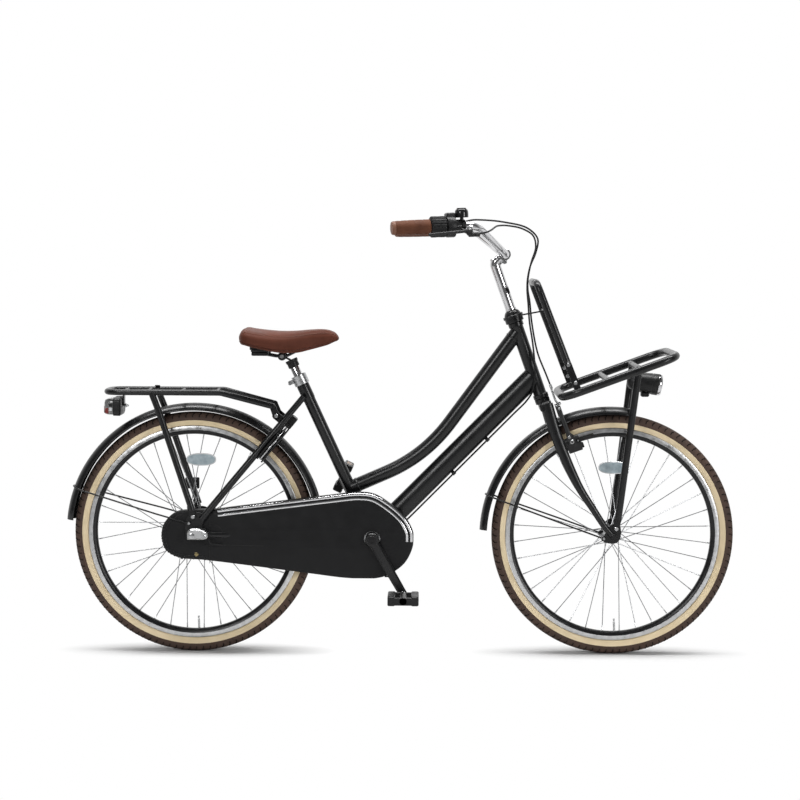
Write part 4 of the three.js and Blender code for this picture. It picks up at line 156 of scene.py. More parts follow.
paint = finish("black_enamel", (0.0035, 0.0036, 0.004), (0.0055, 0.0057, 0.0063), (0.25, 0.33), 0.0, 40, 900,
               0.002,
               specular=0.36, wear=((0.010, 0.010, 0.0105), (0.66, 0.9)))
case_black = finish("case_plastic", (0.0045, 0.0046, 0.0051), (0.0068, 0.0069, 0.0075), (0.4, 0.5), 0.0, 30,
                    2200, 0.02,
                    specular=0.2, wear=((0.010, 0.010, 0.0105), (0.66, 0.95)))
moulded = finish("moulded_black", (0.0045, 0.0045, 0.0049), (0.0085, 0.0085, 0.009), (0.34, 0.46), 0.0, 80,
                 2600, 0.02, specular=0.3)
soft_black = finish("soft_rubber", (0.006, 0.006, 0.0064), (0.012, 0.012, 0.0125), (0.5, 0.66), 0.0, 90,
                    1800, 0.03, specular=0.25)
chrome = finish("chrome", (0.55, 0.55, 0.56), (0.68, 0.68, 0.69), (0.07, 0.12), 1.0, 25, 700, 0.002)
alloy = finish("satin_alloy", (0.42, 0.425, 0.43), (0.56, 0.565, 0.57), (0.24, 0.34), 1.0, 50, 1500, 0.008)
track = finish("brake_track", (0.42, 0.425, 0.43), (0.60, 0.605, 0.61), (0.26, 0.4), 1.0, 70, 2400, 0.01)
rim_black = finish("rim_black", (0.005, 0.005, 0.0055), (0.009, 0.009, 0.0095), (0.26, 0.36), 0.0, 60, 1500,
                   0.012, specular=0.3)
zinc = finish("zinc_steel", (0.36, 0.365, 0.37), (0.52, 0.525, 0.53), (0.22, 0.34), 1.0, 120, 1600, 0.01)
spoke_steel = finish("spoke_steel", (0.20, 0.204, 0.21), (0.33, 0.334, 0.34), (0.2, 0.3), 1.0, 60, 1500,
                     0.006)
tread_brown = finish("tread_rubber", (0.040, 0.022, 0.015), (0.064, 0.036, 0.025), (0.72, 0.88), 0.0, 35,
                     1500, 0.12,
                     wear=((0.095, 0.062, 0.046), (0.6, 0.95)))
# Near-black for the tread's notches: painted shade where the notches are recessed
tread_groove_shade = finish("tread_groove_shade", (0.006, 0.0045, 0.004), (0.012, 0.009, 0.008), (0.7, 0.85), 0.0, 80, 1200,
                   0.02, specular=0.1)
cream = finish("cream_rubber", (0.62, 0.50, 0.31), (0.76, 0.63, 0.42), (0.55, 0.7), 0.0, 18, 1200, 0.05,
               wear=((0.50, 0.38, 0.22), (0.64, 1.0)))
leather = finish("saddle_leather", (0.070, 0.021, 0.012), (0.102, 0.033, 0.0205), (0.46, 0.6), 0.0, 16, 1300,
                 0.03, specular=0.08,
                 pattern=("DISTANCE_TO_EDGE", 620, 0.10),
                 wear=((0.088, 0.026, 0.016), (0.6, 0.95)))
grip_leather = finish("grip_leather", (0.075, 0.026, 0.013), (0.120, 0.045, 0.023), (0.5, 0.64), 0.0, 26,
                      1300, 0.04, specular=0.14,
                      pattern=("DISTANCE_TO_EDGE", 700, 0.12))
grip_lip = finish("grip_lip", (0.12, 0.045, 0.022), (0.17, 0.068, 0.034), (0.45, 0.6), 0.0, 60, 1500, 0.03)
thread_red = finish("stitching", (0.16, 0.07, 0.05), (0.26, 0.13, 0.09), (0.6, 0.8), 0.0, 300, 2500, 0.08)
red_lens = finish("red_lens", (0.10, 0.012, 0.010), (0.20, 0.03, 0.026), (0.12, 0.2), 0.0, 40, 1500, 0.01,
                  coat=0.6,
                  pattern=("F1", 260, 0.35))
clear_lens = finish("clear_lens", (0.55, 0.57, 0.58), (0.75, 0.77, 0.79), (0.08, 0.16), 0.15, 40, 1500, 0.01,
                    coat=0.8,
                    pattern=("F1", 240, 0.5))
lamp_clear = finish("rear_lamp_cover", (0.10, 0.10, 0.10), (0.22, 0.22, 0.22), (0.1, 0.18), 0.2, 40, 1500,
                    0.01, coat=0.6,
                    pattern=("F1", 240, 0.5))
reflector = finish("reflector", (0.24, 0.30, 0.33), (0.42, 0.50, 0.54), (0.16, 0.26), 0.1, 60, 1500, 0.01,
                   coat=0.7,
                   pattern=("F1", 330, 0.6))
brass = finish("brass_screw", (0.22, 0.17, 0.08), (0.34, 0.28, 0.15), (0.28, 0.4), 1.0, 200, 1600, 0.02)


# Curves, outlines and the shapes made from them
def catmull(points, per=6):
    """A centripetal Catmull-Rom curve through the points, as the CAD draws its cables."""
    p = [Vector(q) for q in points]
    whole = [p[0] * 2 - p[1], *p, p[-1] * 2 - p[-2]]
    out = []
    for a, b, c, d in zip(whole, whole[1:], whole[2:], whole[3:]):
        t1, t2, t3 = (max((y - x).length, 1e-4) ** 0.5 for x, y in ((a, b), (b, c), (c, d)))
        m1 = ((b - a) / t1 - (c - a) / (t1 + t2) + (c - b) / t2) * t2
        m2 = ((c - b) / t2 - (d - b) / (t2 + t3) + (d - c) / t3) * t2
        for i in range(per):
            s = i / per
            out.append(b * (2 * s**3 - 3 * s**2 + 1) + m1 * (s**3 - 2 * s**2 + s)
                       + c * (3 * s**2 - 2 * s**3) + m2 * (s**3 - s**2))
    return [*out, p[-1]]


def rounded(points, radius, steps=8):
    """Straight runs joined by round corners."""
    p = [Vector(q) for q in points]
    out = [p[0]]
    for a, b, c in zip(p, p[1:], p[2:]):
        back, ahead = (a - b).normalized(), (c - b).normalized()
        reach = radius / math.tan(back.angle(ahead) / 2)
        start, end = b + back * reach, b + ahead * reach
        for i in range(steps + 1):
            t = i / steps
            out.append(start * (1 - t) ** 2 + b * (2 * t * (1 - t)) + end * t * t)
    return [*out, p[-1]]


def lerp(a, b, t):
    return a + (b - a) * t


def inset(outline, depth):
    """Every edge of a closed outline moved inwards."""
    area = sum(a[0] * b[1] - b[0] * a[1] for a, b in zip(outline, outline[1:] + outline[:1]))
    way = 1 if area > 0 else -1
    out = []
    for i, (x, z) in enumerate(outline):
        x0, z0 = outline[i - 1]
        x1, z1 = outline[(i + 1) % len(outline)]
        before = Vector((z0 - z, x - x0)).normalized()
        after = Vector((z - z1, x1 - x)).normalized()
        middle = (before + after).normalized()
        reach = way * depth / max(middle.dot(after), 0.3)
        out.append((x + middle.x * reach, z + middle.y * reach))
    return out


def on_side(p, side):
    return Vector((p[0], side * p[1], p[2]))


def xz(p):
    return (p.x, p.z)


def smoothed(outline, per=4):
    """A closed outline in the XZ plane, rounded through its points."""
    return [xz(p) for p in catmull([(x, 0, z) for x, z in outline + outline[:1]], per)[:-1]]


SQUIRCLE_SIDES, DISC_SIDES = 20, 40


def squircle(wide, deep, power):
    def bent(c):
        return copysign(abs(c) ** power, c)
    angles = [TURN * j / SQUIRCLE_SIDES for j in range(SQUIRCLE_SIDES)]
    return [(wide * bent(cos(angle)), deep * bent(sin(angle))) for angle in angles]


def disc(x, z, r):
    angles = [TURN * i / DISC_SIDES for i in range(DISC_SIDES)]
    return [(x + r * cos(angle), z + r * sin(angle)) for angle in angles]


class Shape:
    """Collects closed surfaces, then makes them into one piece."""

    def __init__(self):
        self.points, self.faces, self.slots = [], [], []

    def add(self, points, faces, slot):
        n = len(self.points)
        self.points += [tuple(q) for q in points]
        self.faces += [[i + n for i in f] for f in faces]
        self.slots += [slot] * len(faces)
        return self

    def rings(self, rings, slot=0, closed=False, caps=True):
        n = len(rings[0])
        points = [q for ring in rings for q in ring]
        faces = []
        for i in range(len(rings) if closed else len(rings) - 1):
            a, b = i * n, (i + 1) % len(rings) * n
            faces += [[a + j, a + (j + 1) % n, b + (j + 1) % n, b + j] for j in range(n)]
        if caps and not closed:
            faces += [list(range(n))[::-1], [len(points) - n + j for j in range(n)]]
        return self.add(points, faces, slot)

    def sweep(self, line, section, slot=0, closed=False, near=None):
        """section(share) gives the outline at that share of the line, or is one outline."""
        line = [Vector(q) for q in line]
        rings = []
        u = near
        last = len(line) - 1
        for i, at in enumerate(line):
            before = line[i - 1] if i or closed else at
            after = line[(i + 1) % len(line)] if i < last or closed else at
            way = (after - before).normalized()
            if u is None:
                u = UP if abs(way.y) > 0.7 else SIDE
            u = (u - way * way.dot(u)).normalized()
            v = way.cross(u)
            outline = section(i / last) if callable(section) else section
            rings.append([at + u * a + v * b for a, b in outline])
        return self.rings(rings, slot, closed)

    def tube(self, line, radius, slot=0, sides=20, flat=1.0, closed=False):
        """A round tube; flat is its half height over its half width."""
        def section(share):
            r = radius(share) if callable(radius) else radius
            return [(r * cos(TURN * j / sides), r * flat * sin(TURN * j / sides)) for j in range(sides)]
        return self.sweep(line, section, slot, closed)

    def rod(self, a, b, radius, slot=0, sides=16, edge=0.0):
        """A straight rod with its two ends chamfered."""
        a, b = Vector(a), Vector(b)
        if not edge:
            return self.tube([a, b], radius, slot, sides)
        way = (b - a).normalized() * edge
        u = (UP if abs(way.normalized().y) > 0.7 else SIDE)
        u = (u - way.normalized() * way.normalized().dot(u)).normalized()
        v = way.normalized().cross(u)
        rings = []
        for at, r in ((a, radius - edge), (a + way, radius), (b - way, radius), (b, radius - edge)):
            rings.append([at + u * (r * cos(TURN * j / sides)) + v * (r * sin(TURN * j / sides))
                          for j in range(sides)])
        return self.rings(rings, slot)

    def lathe(self, profile, at=(0, 0, 0), axis=SIDE, slot=0, sides=40, closed=False):
        """A profile of (radius, distance along the axis) turned about it."""
        at, axis = Vector(at), Vector(axis).normalized()
        u = (UP if abs(axis.y) > 0.7 else SIDE)
        u = (u - axis * axis.dot(u)).normalized()
        v = axis.cross(u)
        rings = [[at + axis * h + u * (max(r, 0.01) * cos(TURN * j / sides))
                  + v * (max(r, 0.01) * sin(TURN * j / sides)) for j in range(sides)] for r, h in profile]
        return self.rings(rings, slot, closed)

    def plate(self, outline, y0, y1, slot=0, edge=0.5):
        """A flat plate in the XZ plane with chamfered edges."""
        y0, y1 = min(y0, y1), max(y0, y1)
        small = inset(outline, edge)
        rings = [[(x, y, z) for x, z in o] for o, y in ((small, y0), (outline, y0 + edge),
                                                        (outline, y1 - edge), (small, y1))]
        return self.rings(rings, slot)

    def block(self, at, x, y, z, sizes, slot=0, edge=0.6):
        """A box on three directions with chamfered edges, sizes along them."""
        at, x, y, z = Vector(at), Vector(x).normalized(), Vector(y).normalized(), Vector(z).normalized()
        a, b, c = (s / 2 for s in sizes)
        rings = []
        for w, shrink in ((-c, edge), (-c + edge, 0), (c - edge, 0), (c, edge)):
            p, q = a - shrink, b - shrink
            corners = ((-p + edge, -q), (p - edge, -q), (p, -q + edge), (p, q - edge),
                       (p - edge, q), (-p + edge, q), (-p, q - edge), (-p, -q + edge))
            rings.append([at + x * s + y * t + z * w for s, t in corners])
        return self.rings(rings, slot)

    def box(self, at, sizes, slot=0, edge=0.6):
        return self.block(at, (1, 0, 0), SIDE, UP, sizes, slot, edge)

    def sleeve(self, at, axis, bore, radius, low, high, edge, slot=0, sides=32):
        """A ring round its bore with chamfered ends, from low to high along its axis."""
        slim = radius - edge
        profile = [(bore, low), (slim, low), (radius, low + edge), (radius, high - edge), (slim, high),
                   (bore, high)]
        return self.lathe(profile, at, axis, slot, sides, closed=True)

    def holed(self, y, outline, holes):
        """A flat face across y with round holes through it."""
        loops = [[Vector((x, z, 0)) for x, z in loop] for loop in (outline, *holes)]
        points = [(p.x, y, p.y) for loop in loops for p in loop]
        return self.add(points, [list(t) for t in tessellate_polygon(loops)], 0)

    def make(self, name, materials, body, stands_for=None, slot=None, sharp=SHARP):
        mesh = bpy.data.meshes.new(name)
        mesh.from_pydata([tuple(c * MM for c in q) for q in self.points], [], self.faces)
        for m in materials if isinstance(materials, (list, tuple)) else [materials]:
            mesh.materials.append(m)
        mesh.polygons.foreach_set("material_index", self.slots)
        work = bmesh.new()
        work.from_mesh(mesh)
        bmesh.ops.remove_doubles(work, verts=work.verts, dist=1e-6)
        bmesh.ops.recalc_face_normals(work, faces=work.faces)
        work.to_mesh(mesh)
        work.free()
        mesh.polygons.foreach_set("use_smooth", [True] * len(mesh.polygons))
        mesh.set_sharp_from_angle(angle=rad(sharp))
        obj = bpy.data.objects.new(name, mesh)
        scene.collection.objects.link(obj)
        if body:
            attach(obj, body)
        if stands_for:
            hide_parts(stands_for)
        return obj


# Cords: the same routes as in the part's source
SHIFT_CABLE_RADIUS = 2.4
BRAKE_CABLE_RADIUS = 2.4
NOODLE_RADIUS = 2.8
SHIFT_POINTS = [
    (695, -254, 1157), (708, -250, 1159), (722, -245, 1164), (740, -228, 1168), (757, -200, 1169),
    (824, -110, 1165), (892, -48, 1149), (919, -28, 1121), (914, -25, 1085), (900, -25, 1050),
    (893, -25, 1015), (892, -26, 985), (895, -27, 950), (899, -28, 900), (908, -27, 845),
    (913, -27, 800), (915, -27, 760), (910, -21, 716), (894, -8, 687), (860, -6, 652),
    (790, -6, 581), (700, -6, 490), (610, -6, 399), (545, -8, 333), (512, -12, 296),
    (484, -16, 288), (450, -24, 291), (420, -28, 294), (392, -30, 297), (360, -31, 300),
    (325, -34, 301), (290, -40, 301), (250, -47, 301), (200, -52, 300), (150, -54, 299),
    (110, -55, 298), (80, -60, 298), (60, -70, 300), (49, -82, 306), (46, -87, 316),
]
BRAKE_POINTS = [
    (757.4, -288.9, 1133), (773, -277, 1136), (787, -246, 1142), (797, -195, 1149), (810, -125, 1155),
    (840, -58, 1156), (880, -18, 1148), (908, -6, 1130), (915, -5, 1100), (903, -5, 1058),
    (895, -5, 1015), (895, -6, 985), (900, -8, 955), (906, -9, 899), (922, -14, 818),
    (944, -26, 762), (960, -33, 722),
]
NOODLE_POINTS = [
    (957.5, -32.2, 728), (965, -33, 704), (971, -31, 690), (978, -24, 682), (983, -12, 679),
    (984, 4, 679), (984, 26, 679),
]


def make_cords():
    shift = catmull(SHIFT_POINTS)
    cable = Shape().tube(shift, SHIFT_CABLE_RADIUS,
                         sides=12).make("shift_cord", soft_black, None, "shift_cable", "rubber")
    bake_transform(cable)
    brake = catmull(BRAKE_POINTS)
    cord = Shape().tube(brake, BRAKE_CABLE_RADIUS,
                        sides=12).make("brake_cord", soft_black, "steering", "brake_cable", "rubber")
    noodle = catmull(NOODLE_POINTS, 8)
    pipe = Shape().tube(noodle, NOODLE_RADIUS, sides=14)
    boot = [(2.9, 0), (4.2, 2), (3.2, 5), (4.2, 8), (3.2, 11), (4.2, 14), (3.2, 17), (2.9, 20)]
    pipe.lathe(boot, (984, 4, 679), SIDE, 1, 20)
    noodle_pipe = pipe.make("brake_noodle", [zinc, soft_black], "steering")
    ferrule = Shape().lathe([(2.6, 0), (3.6, 0.6), (3.6, 12), (2.6, 13)], BRAKE_POINTS[-1],
                            Vector(BRAKE_POINTS[-2]) - Vector(BRAKE_POINTS[-1]), 0, 16)
    end = ferrule.make("brake_cable_end", zinc, "steering")


make_cords()

# Wheels
TYRE_RADIUS = 326.5
WHEELBASE = 1129
REAR_AXLE = Vector((0, 0, TYRE_RADIUS))
FRONT_AXLE = Vector((WHEELBASE, 0, TYRE_RADIUS))
BRACKET = Vector((481, 0, 316))
RIM_INNER = 265.6
TREAD_PITCHES = 216
TREAD_GROOVE = 1.7
# The tread's section, half width and radius, from its edge to its middle
TREAD = [(22.9, 304), (23.4, 307.5), (22.6, 312), (20.4, 317), (16.8, 321), (12.2, 324), (7, 325.7),
         (2.4, 326.3), (0, 326.5)]
WALL = [(10.2, 289.2), (11.8, 289.4), (12.6, 290.6), (15.6, 292.2), (16.1, 293.4), (18.8, 296.4),
        (21.3, 300), (22.3, 302.2), (23.1, 302.6), (22.9, 304.4)]
RIM_SILVER = [(-10.6, 288.3), (-12.6, 288.3), (-13, 287.6), (-13, 277.4), (-12.4, 277)]
RIM_DARK = [(-12.4, 277), (-10.5, 271), (-6.2, 266.4), (-3.5, 265.6), (0, 265.4)]
SPOKES = 18
SPOKE_RADIUS = 1.15
NIPPLE = 12


def on_wheel(axle, r, angle, y):
    return axle + Vector((r * cos(rad(angle)), y, r * sin(rad(angle))))


def ring_of(shape, axle, section, slot, sides=180):
    """A closed ring whose section is (y, radius)."""
    rings = [[on_wheel(axle, r, 360 * i / sides, y) for y, r in section] for i in range(sides)]
    shape.rings(rings, slot, closed=True)


def make_tyre(name, axle, body):
    tread = Shape()
    section = [(-y, r) for y, r in TREAD] + [(y, r) for y, r in TREAD[-2::-1]]
    steps = TREAD_PITCHES * 4
    rings = []
    for i in range(steps):
        ring = []
        for k, (y, r) in enumerate(section):
            away = abs(k - len(TREAD) + 1)
            groove = (i + away) % 4 == 0 and 1 < away < len(TREAD) - 1
            ring.append(on_wheel(axle, r - (TREAD_GROOVE if groove else 0), 360 * i / steps, y))
        inside = [(section[-1][0] - 3, 303.2), (section[0][0] + 3, 303.2)]
        ring += [on_wheel(axle, r, 360 * i / steps, y) for y, r in inside]
        rings.append(ring)
    tread.rings(rings, 0, closed=True)
    # Dark tubes along the tread's shoulder notches: painted shade in the notches
    for i in range(TREAD_PITCHES // 2):
        a = 720 * i / TREAD_PITCHES
        for side in (-1, 1):
            tread.tube([on_wheel(axle, 323.6, a, side * 14.5), on_wheel(axle, 318.6, a + 0.8, side * 19.8),
                        on_wheel(axle, 312.5, a + 0.9, side * 22.7)],
                       1.2, 1, 6)
    tread.make(name + "_tyre_tread", [tread_brown, tread_groove_shade], body, name + "_tyre", "tyre", sharp=40)
    walls = Shape()
    for side in (-1, 1):
        outer = [(side * y, r) for y, r in WALL]
        inner = [(side * (y - 2.4), r) for y, r in ((22, 304), (17, 297), (12.4, 292))]
        ring_of(walls, axle, outer + inner, 0, 144)
    walls.make(name + "_tyre_wall", cream, body, slot="tyre", sharp=60)


def make_rim(name, axle, body):
    shape = Shape()
    across = [(-y, r) for y, r in reversed(RIM_DARK[:-1])]
    ring_of(shape, axle, [*RIM_DARK, *across, (11, 279), (-11, 279)], 1)
    for side in (-1, 1):
        ring_of(shape, axle, [(side * -y, r) for y, r in RIM_SILVER] + [(side * 10.8, 277.4)], 0)
    valve = rad(-88)
    way = Vector((cos(valve), 0, sin(valve)))
    shape.lathe([(2.6, 231.8), (2.6, 236), (1.9, 237), (1.9, 240), (2.9, 241), (2.9, 264), (4, 265),
                 (4, 267)], axle, way, 2, 16)
    shape.make(name + "_rim_rings", [track, rim_black, zinc], body, name + "_rim", "silver_alloy")


def make_spokes(name, axle, body, flange_y, flange_radius):
    for side, label, first in ((-1, "right", -85), (1, "left", -75)):
        wires = Shape()
        inner = flange_radius - 3
        slope = (flange_y + 3) / (RIM_INNER - flange_radius)
        head_y = flange_y + 1.5 + 0.3 + 1.3 + slope * 3
        for i in range(SPOKES):
            angle = first + i * 360 / SPOKES
            lean = -48 if i % 2 else 48
            head = on_wheel(axle, inner, angle + lean, side * head_y)
            foot = on_wheel(axle, RIM_INNER - 1.2, angle, side * 1.6)
            way = (foot - head).normalized()
            wires.rod(head - way * 1.5, foot - way * NIPPLE, SPOKE_RADIUS, 0, 8)
            wires.lathe([(1.2, 0), (1.7, 0.6), (1.7, NIPPLE - 3), (2.0, NIPPLE - 2), (2.0, NIPPLE)],
                        foot - way * NIPPLE, way, 1, 10)
            wires.lathe([(0.6, -1.6), (1.9, -1.2), (1.9, 0.1), (1.2, 0.8)], head, SIDE * side, 0, 10)
        wires.make(name + "_spoke_wires_" + label, [spoke_steel, zinc], body, name + "_spokes_" + label,
                   "steel")


def make_reflector(name, axle, body, radius, angle, flange_y, flange_radius):
    share = (RIM_INNER - radius) / (RIM_INNER - flange_radius + 3)
    y = -lerp(1.6, flange_y + 4, share)
    at = on_wheel(axle, radius, angle, y)
    long, high = 40, 17
    outline = []
    for t in range(-90, 270, 8):
        across, rise = cos(rad(t)), sin(rad(t))
        outline.append((at.x + long * copysign(abs(across) ** 0.82, across),
                        at.z + high * copysign(abs(rise) ** 0.82, rise)))
    shape = Shape()
    shape.plate(outline, y - 3.2, y + 3.2, 0, 1.0)
    shape.plate(inset(outline, 2.6), y - 3.5, y - 3.0, 1, 0.15)
    shape.plate(inset(outline, 2.6), y + 3.0, y + 3.5, 1, 0.15)
    shape.make(name + "_wheel_reflector", [clear_lens, reflector], body, sharp=25)


HUB_FRONT = [(5.3, -46), (8.6, -46), (9, -45.4), (9, -34.6), (10.5, -34), (20.4, -33.5), (21, -33),
             (21, -31), (20.4, -30.5),
             (15, -29.5), (13.2, -26), (12.4, -12), (12.4, 0)]
HUB_REAR_SIDE = [(20, 31.2), (37.2, 30.5), (38, 29.8), (38, 28), (37.2, 27.5), (32.5, 26.6), (31, 24),
                 (30.4, 12), (30.4, 0)]


def make_hubs():
    whole = HUB_FRONT + [(r, -y) for r, y in reversed(HUB_FRONT[:-1])]
    Shape().lathe(whole, FRONT_AXLE, SIDE, 0, 48,
                  closed=True).make("front_hub_shell", alloy, "front_wheel", "front_hub", "silver_alloy")
    right = [(5.6, -38), (19.4, -38), (20, -37.4)] + [(r, -y) for r, y in HUB_REAR_SIDE]
    left = [(r, y) for r, y in reversed(HUB_REAR_SIDE[:-1])] + [(20, 43.2), (19.2, 44), (5.6, 44)]
    Shape().lathe(right + left, REAR_AXLE, SIDE, 0, 56,
                  closed=True).make("rear_hub_shell", alloy, "rear_wheel", "rear_hub", "silver_alloy")


for wheel, axle, flange_y, flange_radius, plate_radius, plate_angle in (
    ("rear", REAR_AXLE, 29, 38, 198, 85),
    ("front", FRONT_AXLE, 32, 21, 182, 90),
):
    make_tyre(wheel, axle, wheel + "_wheel")
    make_rim(wheel, axle, wheel + "_wheel")
    make_spokes(wheel, axle, wheel + "_wheel", flange_y, flange_radius)
    make_reflector(wheel, axle, wheel + "_wheel", plate_radius, plate_angle, flange_y, flange_radius)
make_hubs()

# Frame
SEAT_WAY = Vector((-cos(rad(65.1)), 0, sin(rad(65.1))))
STEER_WAY = Vector((-cos(rad(70.3)), 0, sin(rad(70.3))))
STEER_AHEAD = Vector((STEER_WAY.z, 0, -STEER_WAY.x))
HEAD_FOOT = Vector((934.8, 0, 694.6))
HEAD_TOP = HEAD_FOOT + STEER_WAY * 216
SEAT_TOP_RUN = 463


def on_seat_tube(run):
    return BRACKET + SEAT_WAY * run


def on_steerer(drop):
    return HEAD_TOP - STEER_WAY * drop


def brake_pivot(side):
    return Vector((1012, side * 38, 579))


# The seat stays: their ends in x and z, their distance from the middle plane at the foot, the
# knee and the top, and the knee's share of the length
STAY_FOOT, STAY_TOP = (23, 368), (295, 696)
STAY_HALF_WIDTHS = (65, 44, 22)
STAY_KNEE = 0.77


def stay_point(share, side):
    foot, knee, top = STAY_HALF_WIDTHS
    upper = (share - STAY_KNEE) / (1 - STAY_KNEE)
    y = lerp(foot, knee, share / STAY_KNEE) if share < STAY_KNEE else lerp(knee, top, upper)
    return Vector((lerp(STAY_FOOT[0], STAY_TOP[0], share), side * y, lerp(STAY_FOOT[1], STAY_TOP[1], share)))


def weld(shape, at, way, radius):
    """A small fillet bead round a tube where it meets another."""
    way = Vector(way).normalized()
    profile = [(radius - 0.5, -3), (radius + 1.1, -1.6), (radius + 1.4, 0), (radius + 0.9, 1.8),
               (radius - 0.5, 3.4)]
    shape.lathe(profile, at, way, 0, 32)


TOP_TUBE_RADIUS = 19
TOP_TUBE_CORNER = Vector((622, 0, 536))
TOP_TUBE_BEND = 113
DOWN_TUBE_RADIUS = 21
DOWN_TUBE_HALF_WIDTH = 28
CABLE_CLIPS = ((790, -6, 581), (700, -6, 490))


def make_frame():
    Shape().lathe([(9.3, -34), (16, -35), (19.4, -35), (20, -34.4), (20, 34.4), (19.4, 35), (16, 35),
                   (9.3, 34)], BRACKET, SIDE, 0, 48) \
        .make("bracket_shell_paint", paint, "frame", "bottom_bracket_shell", "frame_paint")
    profile = [(15.4, 8), (16, 9), (16, 405), (16.2, 409), (17.2, 413), (17.2, 452), (16, 453), (16, 453.2),
               (16, 463)]
    Shape().lathe(profile, BRACKET, SEAT_WAY, 0, 40).make("seat_tube_paint", paint, "frame", "seat_tube",
                                                          "frame_paint")
    head = [(14.1, 0), (19.6, 0), (20.5, 0.9), (20.5, 10.6), (19.8, 11.6), (17.9, 12.2), (17.5, 13),
            (17.5, 203), (17.9, 203.8), (19.8, 204.4),
            (20.5, 205.4), (20.5, 215.1), (19.6, 216), (14.1, 216)]
    Shape().lathe(head, HEAD_FOOT, STEER_WAY, 0, 48).make("head_tube_paint", paint, "frame", "head_tube",
                                                          "frame_paint")

    corner = TOP_TUBE_CORNER
    head_joint, seat_joint = on_steerer(24), on_seat_tube(145)
    top = corner + (head_joint - corner).normalized() * TOP_TUBE_BEND
    foot = corner + (seat_joint - corner).normalized() * TOP_TUBE_BEND
    bend = [foot * (1 - t) ** 2 + corner * (2 * t * (1 - t)) + top * t * t
            for t in (i / 24 for i in range(25))]
    tube = Shape().tube([seat_joint + (foot - seat_joint).normalized() * 4, *bend,
                         head_joint + (top - head_joint).normalized() * 4],
                        TOP_TUBE_RADIUS, sides=36)
    weld(tube, head_joint + (top - head_joint).normalized() * 24, top - head_joint, TOP_TUBE_RADIUS)
    weld(tube, seat_joint + (foot - seat_joint).normalized() * 22, foot - seat_joint, TOP_TUBE_RADIUS)
    tube.make("top_tube_paint", paint, "frame", "top_tube", "frame_paint")

    end = on_steerer(153)
    way = (end - BRACKET).normalized()
    down = Shape().tube([BRACKET + way * 12, BRACKET + way * 30, end - way * 30, end - way * 4],
                        DOWN_TUBE_RADIUS, sides=40,
                        flat=DOWN_TUBE_HALF_WIDTH / DOWN_TUBE_RADIUS)
    for at in map(Vector, CABLE_CLIPS):
        down.tube([at - way * 5, at + way * 5], 4.6, 1, 16)
        below = Vector((way.z, 0, -way.x))
        down.block(at - below * 3 + SIDE * 2, way, SIDE, below, (9, 7, 6), 1)
    down.make("down_tube_paint", [paint, moulded], "frame", "down_tube", "frame_paint")


DROPOUT = [(-0.3, -0.22), (0.1, -0.28), (0.62, -0.16), (0.66, 0.16), (0.42, 0.4), (0.55, 0.78), (0.36, 0.98),
           (0, 1), (-0.2, 0.86), (-0.34, 0.55)]
STAY_WAY = (stay_point(1, 0) - stay_point(0, 0)).normalized()
STAY_AHEAD = Vector((STAY_WAY.z, 0, -STAY_WAY.x))


def make_stays():
    lower, upper = Shape(), Shape()
    for side in (-1, 1):
        line = [(20, side * 65, TYRE_RADIUS), (100, side * 50, TYRE_RADIUS - 2), (390, side * 32.5, 318),
                (471, side * 25, 316)]
        lower.tube(rounded(line, 60, 6), lambda s: 10 if 0.05 < s < 0.95 else 9, sides=24)
        outline = [(x * 60, TYRE_RADIUS + z * 60) for x, z in DROPOUT]
        lower.plate(smoothed(outline), side * 62.6, side * 67.4, 0, 0.8)
        upper.tube(catmull([stay_point(s, side) for s in (0, 0.25, 0.5, 0.77, 0.9, 1)], 6),
                   lambda s: 9.3 - 0.8 * s, sides=24)
        lug = stay_point(0.8, side)
        out = lug - STAY_AHEAD * 24
        upper.rod(out - SIDE * 2, out + SIDE * 2, 10.8, 0, 28, 0.5)
        upper.block((lug + out) / 2, STAY_AHEAD, SIDE, STAY_WAY, (24, 4, 21), 0)
    lower.rod((395, -32, 316), (395, 32, 316), 8, 0, 20)
    lower.box((395, 21.8, 298), (26, 43.5, 36), 0, 2)
    lower.rod((395, 20, 290), (395, 55.8, 290), 4.8, 1, 18, 0.6)
    share = next(s / 200 for s in range(200) if (stay_point(s / 200, 0) - REAR_AXLE).length > 354)
    a, b = stay_point(share, -1), stay_point(share, 1)
    upper.rod(a, b, 5.6, 0, 20)
    lower.make("chain_stay_tubes", [paint, zinc], "frame", "chain_stays", "frame_paint")
    upper.make("seat_stay_tubes", paint, "frame", "seat_stays", "frame_paint")


def make_clamp_and_post():
    clamp = Shape()
    clamp.lathe([(16.4, 454), (19.8, 454), (20.6, 454.8), (20.6, 480.8), (19.8, 481.8), (13.2, 481.8),
                 (13.2, 463.6), (16.4, 463.6)],
                BRACKET, SEAT_WAY, 0, 40, closed=True)
    behind = Vector((-SEAT_WAY.z, 0, SEAT_WAY.x))
    for side in (-1, 1):
        at = on_seat_tube(SEAT_TOP_RUN + 8) + behind * 25 + SIDE * (side * 4.6)
        clamp.block(at, behind, SIDE, SEAT_WAY, (15, 4.4, 11), 0, 0.8)
    at = on_seat_tube(SEAT_TOP_RUN + 7) + behind * 29.5
    clamp.rod(at - SIDE * 13, at - SIDE * 7, 4.4, 1, 6, 0.6)
    clamp.rod(at + SIDE * 7, at + SIDE * 13, 4.6, 1, 20, 1.0)
    clamp.make("seat_clamp_ring", [alloy, zinc], "frame", "seat_clamp", "silver_alloy")
    post = [(12.7, 333), (12.7, 521.5), (12, 522.8), (0, 523)]
    Shape().lathe(post, BRACKET, SEAT_WAY, 0, 40).make("seatpost_tube", chrome, "seat", "seatpost", "chrome")


make_frame()
make_stays()
make_clamp_and_post()

